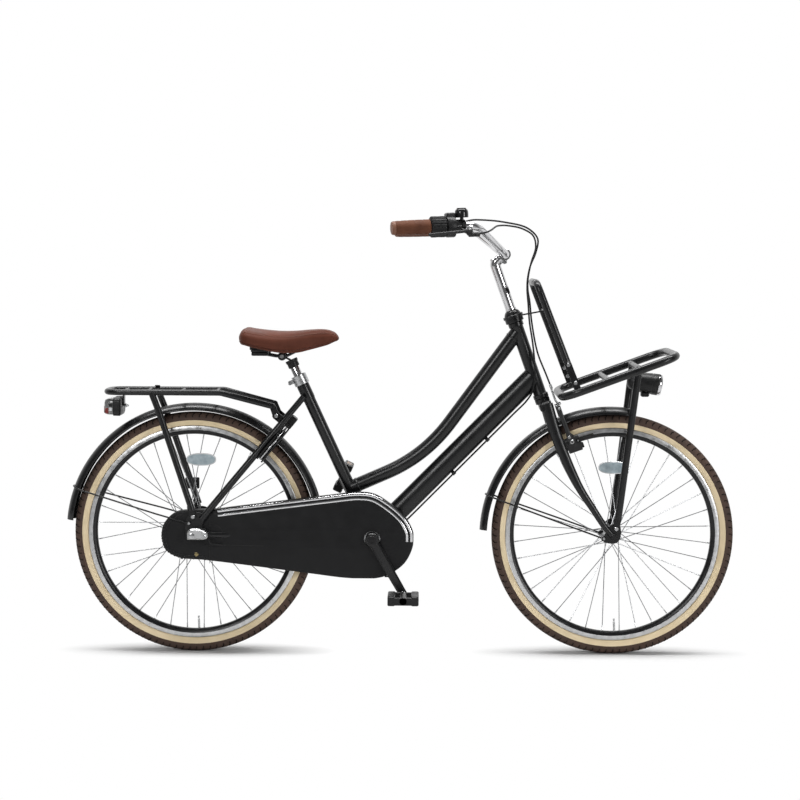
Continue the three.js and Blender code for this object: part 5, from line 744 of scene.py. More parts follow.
# Fork and its headset
BLADE = [(947, 681), (972, 599), (996, 540), (1018, 492), (1039, 452), (1074, 399), (1106, 351), (1124, 330)]
BLADE_DEPTH = [16, 15.5, 14, 12.5, 11, 9.5, 8.5, 8]
FORK_PLATE = [(-0.95, -0.25), (-0.6, -0.45), (0.1, -0.5), (0.45, -0.2), (0.5, 0.7), (0.3, 0.98),
              (-0.1, 0.95), (-0.35, 0.75), (-0.6, 0.3)]


def make_fork():
    fork = Shape()
    onto = on_steerer(216)
    fork.lathe([(11.5, -13.5), (18.8, -13.5), (20, -12.6), (20, -1.4), (19, -0.6), (12.7, -0.5),
                (12.7, 216.5), (22.4, 216.5), (24.6, 217.6),
                (25, 221), (24.6, 229), (23.4, 236), (21, 242.5), (17.6, 247.6), (14.6, 250), (11.5, 250.5)],
               onto, STEER_WAY, 0, 48)
    fork.block(onto + STEER_WAY * -22.5, SIDE, STEER_AHEAD, STEER_WAY, (96, 29, 25), 0, 5)
    last = len(BLADE) - 1
    for side in (-1, 1):
        points = []
        for i, (x, z) in enumerate(BLADE):
            share = i / last
            points.append((x, side * lerp(40, 54, min(2 * share, 1)), z))
        line = catmull(points, 5)

        def section(t):
            place = t * last
            i = min(int(place), last - 1)
            deep = lerp(BLADE_DEPTH[i], BLADE_DEPTH[i + 1], place - i)
            wide = lerp(9, 6.5, t)
            return [(wide * cos(TURN * j / 28), deep * sin(TURN * j / 28)) for j in range(28)]

        fork.sweep(line, section)
        outline = [(WHEELBASE + x * 36, TYRE_RADIUS + z * 36) for x, z in FORK_PLATE]
        fork.plate(smoothed(outline), side * 51.7, side * 56.3, 0, 0.8)
        pivot = brake_pivot(side)
        inside = pivot - STEER_AHEAD * 32
        fork.rod(inside, pivot - STEER_AHEAD * 7.6, 8.6, 0, 24, 0.8)
        fork.rod(inside, pivot + STEER_AHEAD * 9.2, 4.4, 1, 18, 0.5)
    fork.make("fork_paint", [paint, zinc], "steering", "fork", "frame_paint")
    axle = Shape()
    axle.rod(FRONT_AXLE - SIDE * 64, FRONT_AXLE + SIDE * 64, 4.6, 0, 18, 0.8)
    for side in (-1, 1):
        axle.rod(FRONT_AXLE + SIDE * (side * 46.6), FRONT_AXLE + SIDE * (side * 51), 8.4, 0, 24, 0.5)
        axle.rod(FRONT_AXLE + SIDE * (side * 56.9), FRONT_AXLE + SIDE * (side * 64.7), 8.9, 1, 6, 0.7)
        axle.rod(FRONT_AXLE + SIDE * (side * 56.8), FRONT_AXLE + SIDE * (side * 58.2), 9, 1, 28, 0.3)
    axle.make("front_axle_parts", [zinc, moulded], "steering", "front_axle", "steel")


make_fork()

# Fenders and their wire stays
FENDER_HALF = 28
FENDER_DEPTH = 18
FENDER_ARC = (FENDER_HALF**2 + FENDER_DEPTH**2) / (2 * FENDER_DEPTH)
FENDERS = {
    "rear": (REAR_AXLE, 350, 9, 174.8, "frame", (-10, 70.1, 357), 159.6),
    "front": (FRONT_AXLE + Vector((-8, 0, -5)), 351, 81, 177.5, "steering", (1102, 59.1, 321.5), 161.5),
}


def make_fender(name):
    middle, radius, start, end, body, foot, stay_angle = FENDERS[name]
    reach = math.asin(FENDER_HALF / FENDER_ARC)
    outer, inner = [], []
    for i in range(21):
        t = lerp(-reach, reach, i / 20)
        outer.append((FENDER_ARC * sin(t), FENDER_ARC * cos(t)))
        inner.append(((FENDER_ARC - 1.8) * sin(t), (FENDER_ARC - 1.8) * cos(t)))
    lip = [(-FENDER_HALF + 2.6, inner[0][1] - 1.0)]
    other = [(FENDER_HALF - 2.6, inner[-1][1] - 1.0)]
    section = outer + [(FENDER_HALF - 0.4,
                        outer[-1][1]
                        - 1.6)] + other + inner[::-1][1:-1] + lip + [(-FENDER_HALF + 0.4, outer[0][1] - 1.6)]
    steps = 96
    rings = []
    for i in range(steps + 1):
        angle = lerp(start, end, i / steps)
        way = Vector((cos(rad(angle)), 0, sin(rad(angle))))
        round_off = 1 - 0.25 * max(0, 1 - min(i, steps - i) / 2) ** 2
        centre = middle + way * (radius - FENDER_ARC)
        rings.append([centre + SIDE * (a * round_off) + way * b for a, b in section])
    shell = Shape().rings(rings)
    for angle in (start + 4, end - 3):
        way = Vector((cos(rad(angle)), 0, sin(rad(angle))))
        shell.rod(middle + way * (radius - 0.4), middle + way * (radius), 3, 0, 18, 0.15)
    shell.make(name + "_fender_shell", paint, body, name + "_fender", "frame_paint", sharp=50)

    way = Vector((cos(rad(stay_angle)), 0, sin(rad(stay_angle))))
    centre = middle + way * (radius - FENDER_ARC)
    clear = FENDER_ARC + 2.4
    over = [centre + way * (clear * cos(t)) + SIDE * (clear * sin(t))
            for t in (lerp(-pi / 2, pi / 2, i / 16) for i in range(1, 16))]
    ends = []
    for side in (-1, 1):
        place = Vector((foot[0], side * foot[1], foot[2]))
        first = over[-1] if side > 0 else over[0]
        knee = place.lerp(first, 92 / (first - place).length)
        knee.y = side * (foot[1] - 2.3)
        ends.append((place, knee))
    line = [ends[0][0], ends[0][1], *over, ends[1][1], ends[1][0]]
    wire = Shape().tube(line, 2.3, sides=12)
    for side in (-1, 1):
        at = Vector((foot[0], side * foot[1], foot[2]))
        wire.rod(at - SIDE * 2.1, at + SIDE * 2.1, 5.8, 0, 24, 0.5)
        wire.rod(at + SIDE * (side * 2), at + SIDE * (side * 2.3), 3.6, 1, 6, 0.1)
    wire.make(name + "_fender_wire", [paint, zinc], body, name + "_fender_stay", "frame_paint")


make_fender("rear")
make_fender("front")

# Drive
CHAIN_LINE = 45
CRANK_WAY = Vector((cos(rad(-60)), 0, sin(rad(-60))))
CRANK_LENGTH = 170
CRANK_INNER, CRANK_OUTER = 65.6, 78.4
CRANK_TEETH, REAR_TEETH = 38, 19
CHAINRING_SIDES = (-46.1, -43.9)
PITCH = 12.7


def around(a, ra, b, rb, steps=16):
    """The outline round two circles in the XZ plane."""
    way = math.atan2(b[1] - a[1], b[0] - a[0])
    lean = math.acos((ra - rb) / math.hypot(b[0] - a[0], b[1] - a[1]))
    out = []
    for (x, z), r, start, end in ((b, rb, way - lean, way + lean), (a, ra, way + lean, way - lean + TURN)):
        out += [(x + r * cos(lerp(start, end, i / steps)), z + r * sin(lerp(start, end, i / steps)))
                for i in range(steps + 1)]
    return out


def toothed(teeth, x, z):
    radius = PITCH / (2 * sin(pi / teeth))
    out = []
    for i in range(teeth):
        for turn, more in ((-0.12, 3), (0.12, 3), (0.3, -2.1), (0.5, -3.5), (0.7, -2.1)):
            angle = TURN * (i + turn) / teeth
            out.append((x + (radius + more) * cos(angle), z + (radius + more) * sin(angle)))
    return out


def make_drive():
    right, left = Shape(), Shape()
    for shape, side in ((right, -1), (left, 1)):
        end = BRACKET - CRANK_WAY * (side * CRANK_LENGTH)
        outline = around(xz(BRACKET), 13.4, xz(end), 11.2, 24)
        shape.plate(outline, side * CRANK_INNER, side * CRANK_OUTER, 0, 4.6)
        shape.rod(BRACKET + SIDE * (side * 66), BRACKET + SIDE * (side * 78.2), 18.6, 0, 40, 2.4)
        shape.rod(end + SIDE * (side * 66), end + SIDE * (side * 173.4), 4.8, 1, 20, 0.8)
        shape.rod(end + SIDE * (side * 78.3), end + SIDE * (side * 79.4), 9.5, 1, 28, 0.3)
        shape.rod(BRACKET + SIDE * (side * 45), BRACKET + SIDE * (side * 70), 18.6, 0, 36, 1)
        cap = BRACKET + SIDE * (side * 78)
        shape.lathe([(0, 3.4), (3, 3.4), (3.4, 2.2), (7.5, 2.2), (8, 3.4), (11, 3.2), (11.8, 2.4),
                     (11.8, -1), (0, -1)],
                    cap, SIDE * side, 2, 32)
    ring = Shape().plate(toothed(CRANK_TEETH, BRACKET.x, BRACKET.z), *CHAINRING_SIDES, 0, 0.3)
    right.add(ring.points, ring.faces, 1)
    left.rod(BRACKET - SIDE * 72, BRACKET + SIDE * 70, 8.4, 1, 24, 0.5)
    right.make("crank_right_arm", [crank_black, zinc, moulded], "cranks", "crank_right", "silver_alloy")
    left.make("crank_left_arm", [crank_black, zinc, moulded], "cranks", "crank_left", "silver_alloy")

    cog = Shape().plate(toothed(REAR_TEETH, 0, TYRE_RADIUS), *CHAINRING_SIDES, 0, 0.3)
    cog.lathe([(5.6, -51.8), (14.4, -51.8), (15, -51.2), (15, -39.1), (14.4, -38.6), (5.6, -38.6)],
              REAR_AXLE, SIDE, 0, 36, closed=True)
    cog.make("rear_sprocket_teeth", zinc, "sprocket", "rear_sprocket", "steel")

    gap = BRACKET - REAR_AXLE
    tilt = math.atan2(gap.z, gap.x)
    big, small = (PITCH / (2 * sin(pi / t)) for t in (CRANK_TEETH, REAR_TEETH))
    wrap = math.asin((big - small) / gap.length)
    line = []
    for centre, r, start, end, steps in ((BRACKET, big, -pi / 2 - wrap, pi / 2 + wrap, 40),
                                         (REAR_AXLE, small, pi / 2 + wrap, 3 * pi / 2 - wrap, 24)):
        for i in range(steps + 1):
            a = tilt + lerp(start, end, i / steps)
            line.append(centre + Vector((r * cos(a), -CHAIN_LINE, r * sin(a))))
    line.append(line[0])
    total = sum((b - a).length for a, b in zip(line, line[1:]))
    count = 2 * round(total / PITCH / 2)
    chain = Shape()
    places = [point_on(line, total * i / count) for i in range(count + 1)]
    for i, (a, b) in enumerate(zip(places, places[1:])):
        wide = 3.9 if i % 2 else 2.8
        for side in (-1, 1):
            y = side * wide
            chain.plate(around(xz(a), 4.1, xz(b), 4.1, 5), y - CHAIN_LINE, y + side * 0.9 - CHAIN_LINE, 0,
                        0.15)
        chain.rod(a - SIDE * 4.7, a + SIDE * 4.7, 1.8, 0, 8)
    chain.make("chain_links", zinc, "frame", "chain", "steel")


def point_on(line, run):
    for a, b in zip(line, line[1:]):
        step = (b - a).length
        if run <= step:
            return a.lerp(b, run / step)
        run -= step
    return Vector(line[-1])


def make_pedal(side, tilt, name, node):
    end = BRACKET - CRANK_WAY * (side * CRANK_LENGTH)
    along = Vector((cos(rad(tilt)), 0, sin(rad(tilt))))
    above = Vector((-along.z, 0, along.x))
    shape = Shape()

    def at(a, y, b):
        return end + along * a + above * b + SIDE * (side * y)

    shape.rod(at(0, 90, 0), at(0, 180.5, 0), 10.6, 0, 28, 1)
    for way in (-1, 1):
        shape.block(at(way * 31, 135, 0), along, SIDE, above, (19.4, 91.5, 25), 0, 2)
        for k in range(9):
            shape.block(at(way * 40.4, 95 + k * 10, 0), along, SIDE, above, (1.4, 5, 20), 0, 0.3)
        shape.block(at(way * 40.6, 135, 0), along, SIDE, above, (0.8, 48, 14), 1, 0.2)
    for y in (92.8, 177.2):
        shape.block(at(0, y, -0.5), along, SIDE, above, (80, 6.6, 21), 0, 1.6)
    for k in range(4):
        for way in (-1, 1):
            for face in (12.6, -12.6):
                shape.block(at(way * 31, 104 + k * 20.5, face), along, SIDE, above, (15, 5, 0.8), 0, 0.2)
    shape.make(name, [moulded, amber], "right_pedal" if side < 0 else "left_pedal", node, "rubber")


CASE_SHARES = [
    (0.078, 0.777), (0.224, 0.798), (0.279, 0.82), (0.521, 0.91), (0.683, 0.97), (0.779, 1), (0.844, 0.979),
    (0.907, 0.871), (0.965, 0.721), (0.993, 0.584), (1, 0.515), (0.997, 0.369), (0.965, 0.18), (0.9, 0.043),
    (0.844, 0), (0.737, 0.004), (0.586, 0.056), (0.174, 0.202), (0.078, 0.223), (0.038, 0.268), (0.014, 0.33),
    (0.003, 0.42), (0, 0.5), (0.008, 0.61), (0.03, 0.7), (0.053, 0.75),
]
CASE_SMOOTH = 5
CASE_REAR, CASE_LENGTH = -86, 678
CASE_FLOOR, CASE_HEIGHT = 209, 233


def case_outline():
    p = [Vector((CASE_REAR + x * CASE_LENGTH, 0, CASE_FLOOR + z * CASE_HEIGHT)) for x, z in CASE_SHARES]
    whole = catmull([p[-2], p[-1], *p, p[0], p[1]], CASE_SMOOTH)[CASE_SMOOTH * 2:]
    front, roof = CASE_REAR + CASE_LENGTH, CASE_FLOOR + CASE_HEIGHT
    return [(min(max(q.x, CASE_REAR), front), min(max(q.z, CASE_FLOOR), roof))
            for q in whole[:len(p) * CASE_SMOOTH]]


def case_strip(outline, depth, width, first, last):
    """The two edges of a strip that follows the case's upper edge, point by point."""
    outer, inner = inset(outline, depth), inset(outline, depth + width)
    return list(zip(outer, inner))[first:last + 1]


CASE_HOLE_FRONT = (481, 316, 22)


def case_shell(name, node_name, outline, levels, axle_hole):
    """A half of the case: its rim at each (y, inset), closed by two flat faces with holes."""
    shell = Shape()
    holes = [disc(0, TYRE_RADIUS, axle_hole), disc(*CASE_HOLE_FRONT)]
    (joint, _), (face, depth) = levels[0], levels[-1]
    shell.rings([[(x, y, z) for x, z in (inset(outline, d) if d else outline)] for y, d in levels], 0,
                caps=False)
    shell.holed(face, inset(outline, depth), holes)
    shell.holed(joint, outline, holes)
    for hole in holes:
        shell.rings([[(x, y, z) for x, z in hole] for y in sorted((face, joint))], 0, caps=False)
    shell.make(name, case_black, "frame", node_name, "case_plastic", sharp=38)


def make_case():
    outline = case_outline()
    case_shell("case_cover_shell", "chain_case_cover", outline,
               ((-47.3, 0), (-54, 0), (-57, 0.8), (-59, 2.6), (-60, 6)), 14)
    case_shell("case_back_shell", "chain_case_back", outline, ((-47, 0), (-38, 0), (-36, 1.4), (-35.5, 4)),
               24)

    # Two bright strips with a dark one between them, along the top and round the front
    trim = Shape()
    first, last = CASE_SMOOTH, CASE_SMOOTH * 11 - 2
    for depth, width, y, slot in ((2, 7, -61.6, 0), (9, 5, -60.5, 1), (14, 6.5, -61.4, 0),
                                  (20.5, 3, -60.4, 1)):
        rows = case_strip(outline, depth, width, first, last)
        rings = []
        for (xo, zo), (xi, zi) in rows:
            rings.append([(lerp(xo, xi, t), lerp(-60.05, y, out), lerp(zo, zi, t))
                          for t, out in ((0, 0), (0.12, 0.7), (0.35, 1), (0.65, 1), (0.88, 0.7), (1, 0))])
        trim.rings(rings, slot)
    trim.make("case_trim_strips", [chrome, case_black], "frame", "chain_case_trim", "chrome", sharp=50)

    # Seam of the rear cap, its cable slit, the screw and the clips
    detail = Shape()
    # The scalloped rim round the rear end, and the lip inside it
    rim = inset(outline, 3.5)[CASE_SMOOTH * 17:] + inset(outline, 3.5)[:1]
    for i, (x, z) in enumerate(rim):
        if i % 2 == 0:
            detail.lathe([(0, 0.9), (2.2, 0.8), (3.4, 0.2), (3.4, -0.6)], (x, -60.2, z), -SIDE, 0, 14)
    lip = inset(outline, 11)[CASE_SMOOTH * 17:] + inset(outline, 11)[:1]
    detail.tube([(x, -60.1, z) for x, z in lip], 0.8, 0, 8)
    # The seam, the slit and the ring round the hole are drawn as dark lines of painted shade
    seam = [(44, -60.1, z) for z in range(248, 402, 14)]
    detail.tube(seam, 0.55, 1, 6)
    detail.tube([(48, -60.1, 299), (120, -60.1, 297.5), (190, -60.1, 296)], 0.6, 1, 6)
    hole = [(46 + 34 * cos(TURN * i / 40), -60.1, 326 + 30 * sin(TURN * i / 40)) for i in range(41)]
    detail.tube(hole, 0.6, 1, 8)
    for x, z, r in ((9, 272, 5.4), (-30, 262, 3.2), (60, 382, 3)):
        detail.lathe([(0, 0.6), (r * 0.7, 0.55), (r, 0.1), (r, -0.6)], (x, -60.3, z), -SIDE,
                     2 if r > 5 else 0, 28)
    for x, z in ((366, 222), (415, 213.5), (521, 216)):
        detail.box((x, -53, z - 1.2), (12, 9, 3.4), 0, 0.6)
    detail.make("case_details", [moulded, painted_gap_shade, brass], "frame", slot="case_plastic")


AXLE_NUT_RADIUS = 8.9
AXLE_NUTS = (67.9, 75.6)
WASHER_THICKNESS = 0.7


def make_axle():
    axle = Shape()
    near, far = AXLE_NUTS
    washer = near + WASHER_THICKNESS
    for y0, y1, radius, sides, edge in (
        (-94.6, 84, 4.8, 20, 0.8), (-62, -52.6, 8.3, 28, 0.5), (44.7, 62, 8.3, 28, 0.5),
        (-far, -near, AXLE_NUT_RADIUS, 6, 0.8), (near, far, AXLE_NUT_RADIUS, 6, 0.8),
        (-washer, -near, 9, 30, 0.2), (near, washer, 9, 30, 0.2),
    ):
        axle.rod(REAR_AXLE + SIDE * y0, REAR_AXLE + SIDE * y1, radius, 0, sides, edge)
    knee, end = (46, TYRE_RADIUS - 26), (90, TYRE_RADIUS - 22)
    axle.plate(around((0, TYRE_RADIUS), 14, knee, 7), 46.6, 50.4, 0, 0.6)
    axle.plate(around(knee, 7, end, 7), 46.8, 50.2, 0, 0.6)
    # The bellcrank of the hub gear: a smooth cast body with a knob and the cable's pinch bolt
    shape = [(-12, 316), (29, 316.4), (41, 321), (42, 333), (30, 341), (13, 346), (-10, 340.5)]
    shape = [(min(max(x, -12.4), 41.8), min(max(z, 316.5), 346.3)) for x, z in smoothed(shape, 6)]
    axle.plate(shape, -94.2, -78.4, 1, 3.2)
    axle.lathe([(0, 1.2), (6, 1), (8.5, 0), (9, -2), (9, -4)], (0, -94, TYRE_RADIUS), -SIDE, 0, 30)
    axle.rod((34, -95, 325), (34, -92, 325), 4, 0, 6, 0.4)
    axle.make("rear_axle_parts", [zinc, alloy], "frame", "rear_axle", "steel")


crank_black = finish("crank_black", (0.0035, 0.0036, 0.004), (0.006, 0.006, 0.0065), (0.24, 0.34), 0.0, 50,
                     1200, 0.004,
                     specular=0.42, wear=((0.012, 0.012, 0.0125), (0.66, 0.9)))
# Near-black for the case's seams and slit and the lock's key slot: painted shade in those gaps
painted_gap_shade = finish("shadow_gap", (0.004, 0.004, 0.004), (0.007, 0.007, 0.007), (0.7, 0.85), 0.0, 80, 1200,
                     0.02)
amber = finish("pedal_reflector", (0.34, 0.13, 0.02), (0.45, 0.19, 0.03), (0.14, 0.24), 0.0, 50, 1500, 0.01,
               coat=0.6,
               pattern=("F1", 420, 0.35))
make_drive()
make_pedal(-1, 0, "pedal_right_body", "pedal_right")
make_pedal(1, 65, "pedal_left_body", "pedal_left")
make_case()
make_axle()

# Rear carrier, lamp, strap, lock and stand
RACK_Z = 708
RACK_HALF = 62
RACK_REAR, RACK_BEND = -234, 74
RACK_FOOT = (212, 52, 672)
RACK_CROSS_BARS = (-188, -125, -34, 60)
STRUT_TOP = -110
STRUT_KNEE = (-88, 66, 652)
STRUT_FOOT = (0, 78, 392.5)
STRUT_RADIUS = 8.8
STRUT_BOLT = (1, 375)


def make_rack():
    rack = Shape()
    rail = [(RACK_BEND, -RACK_HALF, RACK_Z), (RACK_REAR, -RACK_HALF, RACK_Z), (RACK_REAR, RACK_HALF, RACK_Z),
            (RACK_BEND, RACK_HALF, RACK_Z)]
    rail = [on_side(RACK_FOOT, -1), *rail, on_side(RACK_FOOT, 1)]
    rack.tube(rounded(rail, 44, 8), 8, sides=22)
    for x in RACK_CROSS_BARS:
        rack.rod((x, -61, RACK_Z), (x, 61, RACK_Z), 4.9, 0, 16)
    lug = stay_point(0.8, 0) - STAY_AHEAD * 24
    tab_in = stay_point(0.8, 1).y + 2.3
    for side in (-1, 1):
        strut = [(STRUT_TOP, side * RACK_HALF, RACK_Z), on_side(STRUT_KNEE, side), on_side(STRUT_FOOT, side)]
        rack.tube(rounded(strut, 44, 6), STRUT_RADIUS, sides=22)
        rack.plate(around(STRUT_BOLT, 9, (-6, 401.5), 9), side * 67.8, side * 71.8, 0, 0.7)
        rack.rod((STRUT_BOLT[0], side * 71, STRUT_BOLT[1]), (STRUT_BOLT[0], side * 75.8, STRUT_BOLT[1]), 5.9,
                 1, 6, 0.6)
        rack.plate(around(xz(lug), 9, RACK_FOOT[::2], 8), side * tab_in, side * (tab_in + 4), 0, 0.7)
        rack.rod(lug + SIDE * (side * (tab_in + 3.5)), lug + SIDE * (side * (tab_in + 8)), 5.8, 1, 6, 0.6)
        foot = on_side(RACK_FOOT, side)
        rack.rod(foot - SIDE * (side * 3), foot + SIDE * (side * 3), 7.8, 0, 24, 0.8)
    rack.box((-192.7, 0, 687.5), (3.6, 24, 40), 0, 0.6)
    rack.make("rear_rack_tubes", [paint, zinc], "frame", "rear_rack", "frame_paint")


def make_lamp():
    def outline(w, z0, z1, r):
        out = []
        for cy, cz, start in ((w - r, z1 - r, 0), (r - w, z1 - r, 90), (r - w, z0 + r, 180),
                              (w - r, z0 + r, 270)):
            out += [(cy + r * cos(rad(start + t)), cz + r * sin(rad(start + t))) for t in range(0, 91, 15)]
        return out

    lamp = Shape()
    body = ((-216, 47.4, 642.6, 691.4, 12), (-200, 47.9, 642.1, 691.9, 12.4), (-198, 46.4, 643.6, 690.4, 12),
            (-195.2, 40, 649, 685, 10))
    lamp.rings([[(x, y, z) for y, z in outline(w, a, b, r)] for x, w, a, b, r in body], 0)
    lens = ((-217, 44, 645, 689, 11), (-232, 43.4, 645.6, 688.4, 11), (-238, 41, 648, 686, 10.6),
            (-240.8, 35, 653, 681, 9))
    lamp.rings([[(x, y, z) for y, z in outline(w, a, b, r)] for x, w, a, b, r in lens], 1)
    # The clear cover shows a red lower half, a white strip and the dark lamp holder
    for x, sizes, z, slot in ((-240.9, (1.2, 70, 19), 659.6, 2), (-233, (9, 87.6, 15), 656.5, 2),
                              (-222.4, (9, 88.6, 9), 660.5, 3),
                              (-223, (10, 88.6, 8), 671.5, 0), (-240.9, (1, 30, 6), 676, 3)):
        lamp.box((x, 0, z), sizes, slot, 0.4)
    lamp.rod((-193, 0, 668), (-180, 0, 668), 3, 4, 12, 0.5)
    lamp.rod((-190, 0, 668), (-186, 0, 668), 6, 4, 6, 0.6)
    lamp.make("rear_lamp_body", [moulded, lamp_clear, red_lens, clear_lens, zinc], "frame", "rear_lamp",
              "red_lens")


def make_strap():
    """The same route as in the part's source, with woven ridges, its clip and wire hooks."""
    def out(y):
        return y + 9 + 0.8 + 1.5

    def down(share):
        x, y, z = Vector(STRUT_KNEE).lerp(Vector(STRUT_FOOT), share)
        return Vector((x, out(y), z))

    share = (STRUT_KNEE[2] - 448) / (STRUT_KNEE[2] - STRUT_FOOT[2])
    over = 8 + 0.3 + 1.5 + 0.5
    corner = over / math.sqrt(2) + 0.5
    route = [((STRUT_TOP, 54, RACK_Z + over), UP), ((STRUT_TOP, RACK_HALF, RACK_Z + over), UP),
             ((STRUT_TOP, RACK_HALF + corner, RACK_Z + corner), (UP + SIDE).normalized()),
             ((STRUT_TOP, RACK_HALF + over, RACK_Z), SIDE), (down(0), SIDE), (down(share), SIDE)]
    places = [Vector(p) for p, _ in route]
    strap = Shape()
    for k in range(4):
        offset = -4.8 + k * 3.2
        rings = []
        for i, at in enumerate(places):
            before, after = places[max(i - 1, 0)], places[min(i + 1, len(places) - 1)]
            v = route[i][1]
            u = (after - before).normalized().cross(v).normalized()
            rings.append([at + u * (offset + a) + v * b for a, b in
                          ((-1.55, -1.1), (-1.2, -1.45), (1.2, -1.45), (1.55, -1.1), (1.55, 1.0),
                           (0.9, 1.45), (-0.9, 1.45), (-1.55, 1.0))])
        strap.rings(rings, 0)
    at = down(share)
    strap.block(at + SIDE * 3, (1, 0, 0), UP, SIDE, (39, 31, 8.8), 1, 2)
    strap.block(at + SIDE * 7.3, (1, 0, 0), UP, SIDE, (26, 18, 0.8), 1, 0.3)
    for way in (-1, 1):
        a = Vector((at.x + way * 10, at.y + 1.5, at.z - 4))
        b = Vector((1 - way * 6, at.y + 1.5, 367.4))
        strap.rod(a, b, 1.5, 2, 10)
    strap.rod((-5, at.y + 1.5, 367.4), (7, at.y + 1.5, 367.4), 1.5, 2, 10)
    strap.make("carrier_strap_bands", [soft_black, moulded, zinc], "frame", "carrier_strap", "rubber")


LOCK_SHARE = 0.615  # of the seat stays' length
LOCK_OFFSET = 9.3 + 10 - 1.5  # the stay's radius, half the lock's thickness, how deep they meet
LOCK_RING = 60
LOCK_END_ANGLE = 128


def make_lock():
    middle = stay_point(LOCK_SHARE, 0) + STAY_AHEAD * LOCK_OFFSET
    middle.y = 0

    def place(angle):
        return STAY_WAY * cos(rad(angle)) + SIDE * sin(rad(angle))

    section = [(-9.8, 50.6), (-9.2, 50), (9.2, 50), (9.8, 50.6), (9.8, 66.5), (8.6, 68.6), (6, 68.8),
               (5, 68), (4.8, 55.2),
               (-4.8, 55.2), (-5, 68), (-6, 68.8), (-8.6, 68.6), (-9.8, 66.5)]
    lock = Shape()
    rings = []
    for i in range(65):
        angle = lerp(-LOCK_END_ANGLE, LOCK_END_ANGLE, i / 64)
        v = place(angle)
        rings.append([middle + STAY_AHEAD * a + v * b for a, b in section])
    lock.rings(rings, 0)
    at = middle + STAY_WAY * 86 + SIDE * 11
    lock.block(at, SIDE, STAY_AHEAD, STAY_WAY, (43.6, 19.6, 35.6), 0, 3)
    lock.rod(at - STAY_WAY * 2 + STAY_AHEAD * 9.4, at - STAY_WAY * 2 + STAY_AHEAD * 10, 6.5, 1, 24, 0.2)
    # The key slot: a dark sheet of painted shade
    lock.block(at - STAY_WAY * 2 + STAY_AHEAD * 9.9, SIDE, STAY_AHEAD, STAY_WAY, (1.6, 0.3, 7), 2, 0.05)
    for y in (-34, 34):
        out = middle + STAY_WAY * 40 + SIDE * y + STAY_AHEAD * 9.6
        lock.rod(out - STAY_AHEAD * 0.4, out + STAY_AHEAD * 0.4, 3, 1, 20, 0.2)
    lock.make("ring_lock_body", [moulded, zinc, painted_gap_shade], "frame", "ring_lock", "black_plastic")
    bolt = Shape()
    line = [middle + place(lerp(-LOCK_END_ANGLE, -12, i / 30)) * LOCK_RING for i in range(31)]
    bolt.tube(line, 3.9, sides=16)
    way = place(-16)
    bolt.rod(middle + way * LOCK_RING, middle + way * 80, 2.9, 0, 14)
    bolt.lathe([(0, 82), (2, 82), (3, 81), (3, 74), (2.6, 73)], middle, way, 1, 20)
    bolt.make("lock_bolt_rod", [zinc, moulded], "lock_bolt", "ring_lock_bolt", "steel")


STAND_PIVOT = Vector((395, 50, 290))


def make_stand():
    stand = Shape()
    stand.sleeve(STAND_PIVOT, SIDE, 5.4, 13, -6, 6, 0.8)
    start, tip = STAND_PIVOT, Vector((115, 54.2, 290))
    way = (tip - start).normalized()
    stand.tube([start + way * 8, start + way * 120, tip - way * 24], lambda t: lerp(6.4, 5.8, t), sides=22)
    stand.rod(tip - way * 26, tip, 7.3, 1, 24, 1.6)
    for k in range(4):
        stand.rod(tip - way * (22 - 5 * k), tip - way * (20.5 - 5 * k), 7.5, 1, 24, 0.3)
    stand.make("kickstand_leg", [paint, soft_black], "stand", "kickstand", "frame_paint")


make_rack()
make_lamp()
make_strap()
make_lock()
make_stand()

# Handlebar, stem and controls
BAR_END = (536, 318, 1145)
BAR_CORNER = (748, 263, 1153.3)
BAR_INNER = (832, 45, 1080)
BAR_RADIUS = 11.1
STEM_CLAMP = Vector((832, 0, 1080))
STEM_KNEE_Z = 1056
# Where each control starts, measured inwards from the right end of the bar
TWIST_FROM = 98.6
HOUSING_FROM = 139
LEVER_FROM = 164
BELL_FROM = 179


def bar_line(side):
    return (on_side(BAR_END, side) - on_side(BAR_CORNER, side)).normalized()


def bar_point(side, inwards):
    return on_side(BAR_END, side) - bar_line(side) * inwards


BAR_WAY = bar_line(-1)
BAR_OUT = -BAR_WAY.cross(UP).normalized()
BAR_UP = BAR_WAY.cross(BAR_OUT).normalized()
LEVER_WAY = BAR_OUT * cos(rad(30)) - BAR_UP * sin(rad(30))
LEVER_HINGE = BAR_WAY.cross(LEVER_WAY).normalized()


def make_bar():
    points = [on_side(p, -1) for p in (BAR_END, BAR_CORNER,
                                       BAR_INNER)] + [on_side(p, 1) for p in (BAR_INNER, BAR_CORNER, BAR_END)]
    Shape().tube(rounded(points, 45, 12), BAR_RADIUS,
                 sides=28).make("handlebar_tube", chrome, "steering", "handlebar", "chrome")
    top = on_steerer((HEAD_TOP.z - STEM_KNEE_Z) / STEER_WAY.z)
    clamp = STEM_CLAMP
    stem = Shape()
    stem.rod(on_steerer(70), on_steerer(-36), 11, 0, 28)
    path = rounded([on_steerer(-35), top, clamp - (clamp - top).normalized() * 9], 13, 8)
    stem.tube(path, lambda t: 14.2 if t > 0.04 else 13.6, sides=32)
    stem.lathe([(13.6, 0), (14.9, 0.6), (14.9, 3), (14.2, 4)], on_steerer(-35), STEER_WAY, 0, 32)
    stem.lathe([(11.5, -19), (15.2, -19), (16, -18.2), (16, -1), (15.4, -0.6), (15.4, 0.6), (16, 1),
                (16, 18.2), (15.2, 19), (11.5, 19)],
               clamp, SIDE, 0, 40, closed=True)
    low = clamp - UP * 20
    stem.box(low + UP * 1.5, (11.6, 34, 12), 0, 1.6)
    stem.rod(low - SIDE * 19, low - SIDE * 14, 5.8, 1, 6, 0.5)
    stem.rod(low + SIDE * 14, low + SIDE * 19, 5.8, 1, 20, 0.8)
    stem.rod(top - STEER_WAY * 2, top + STEER_WAY * 13.6, 9, 0, 28, 1.2)
    stem.make("stem_body", [chrome, zinc], "steering", "stem", "chrome")


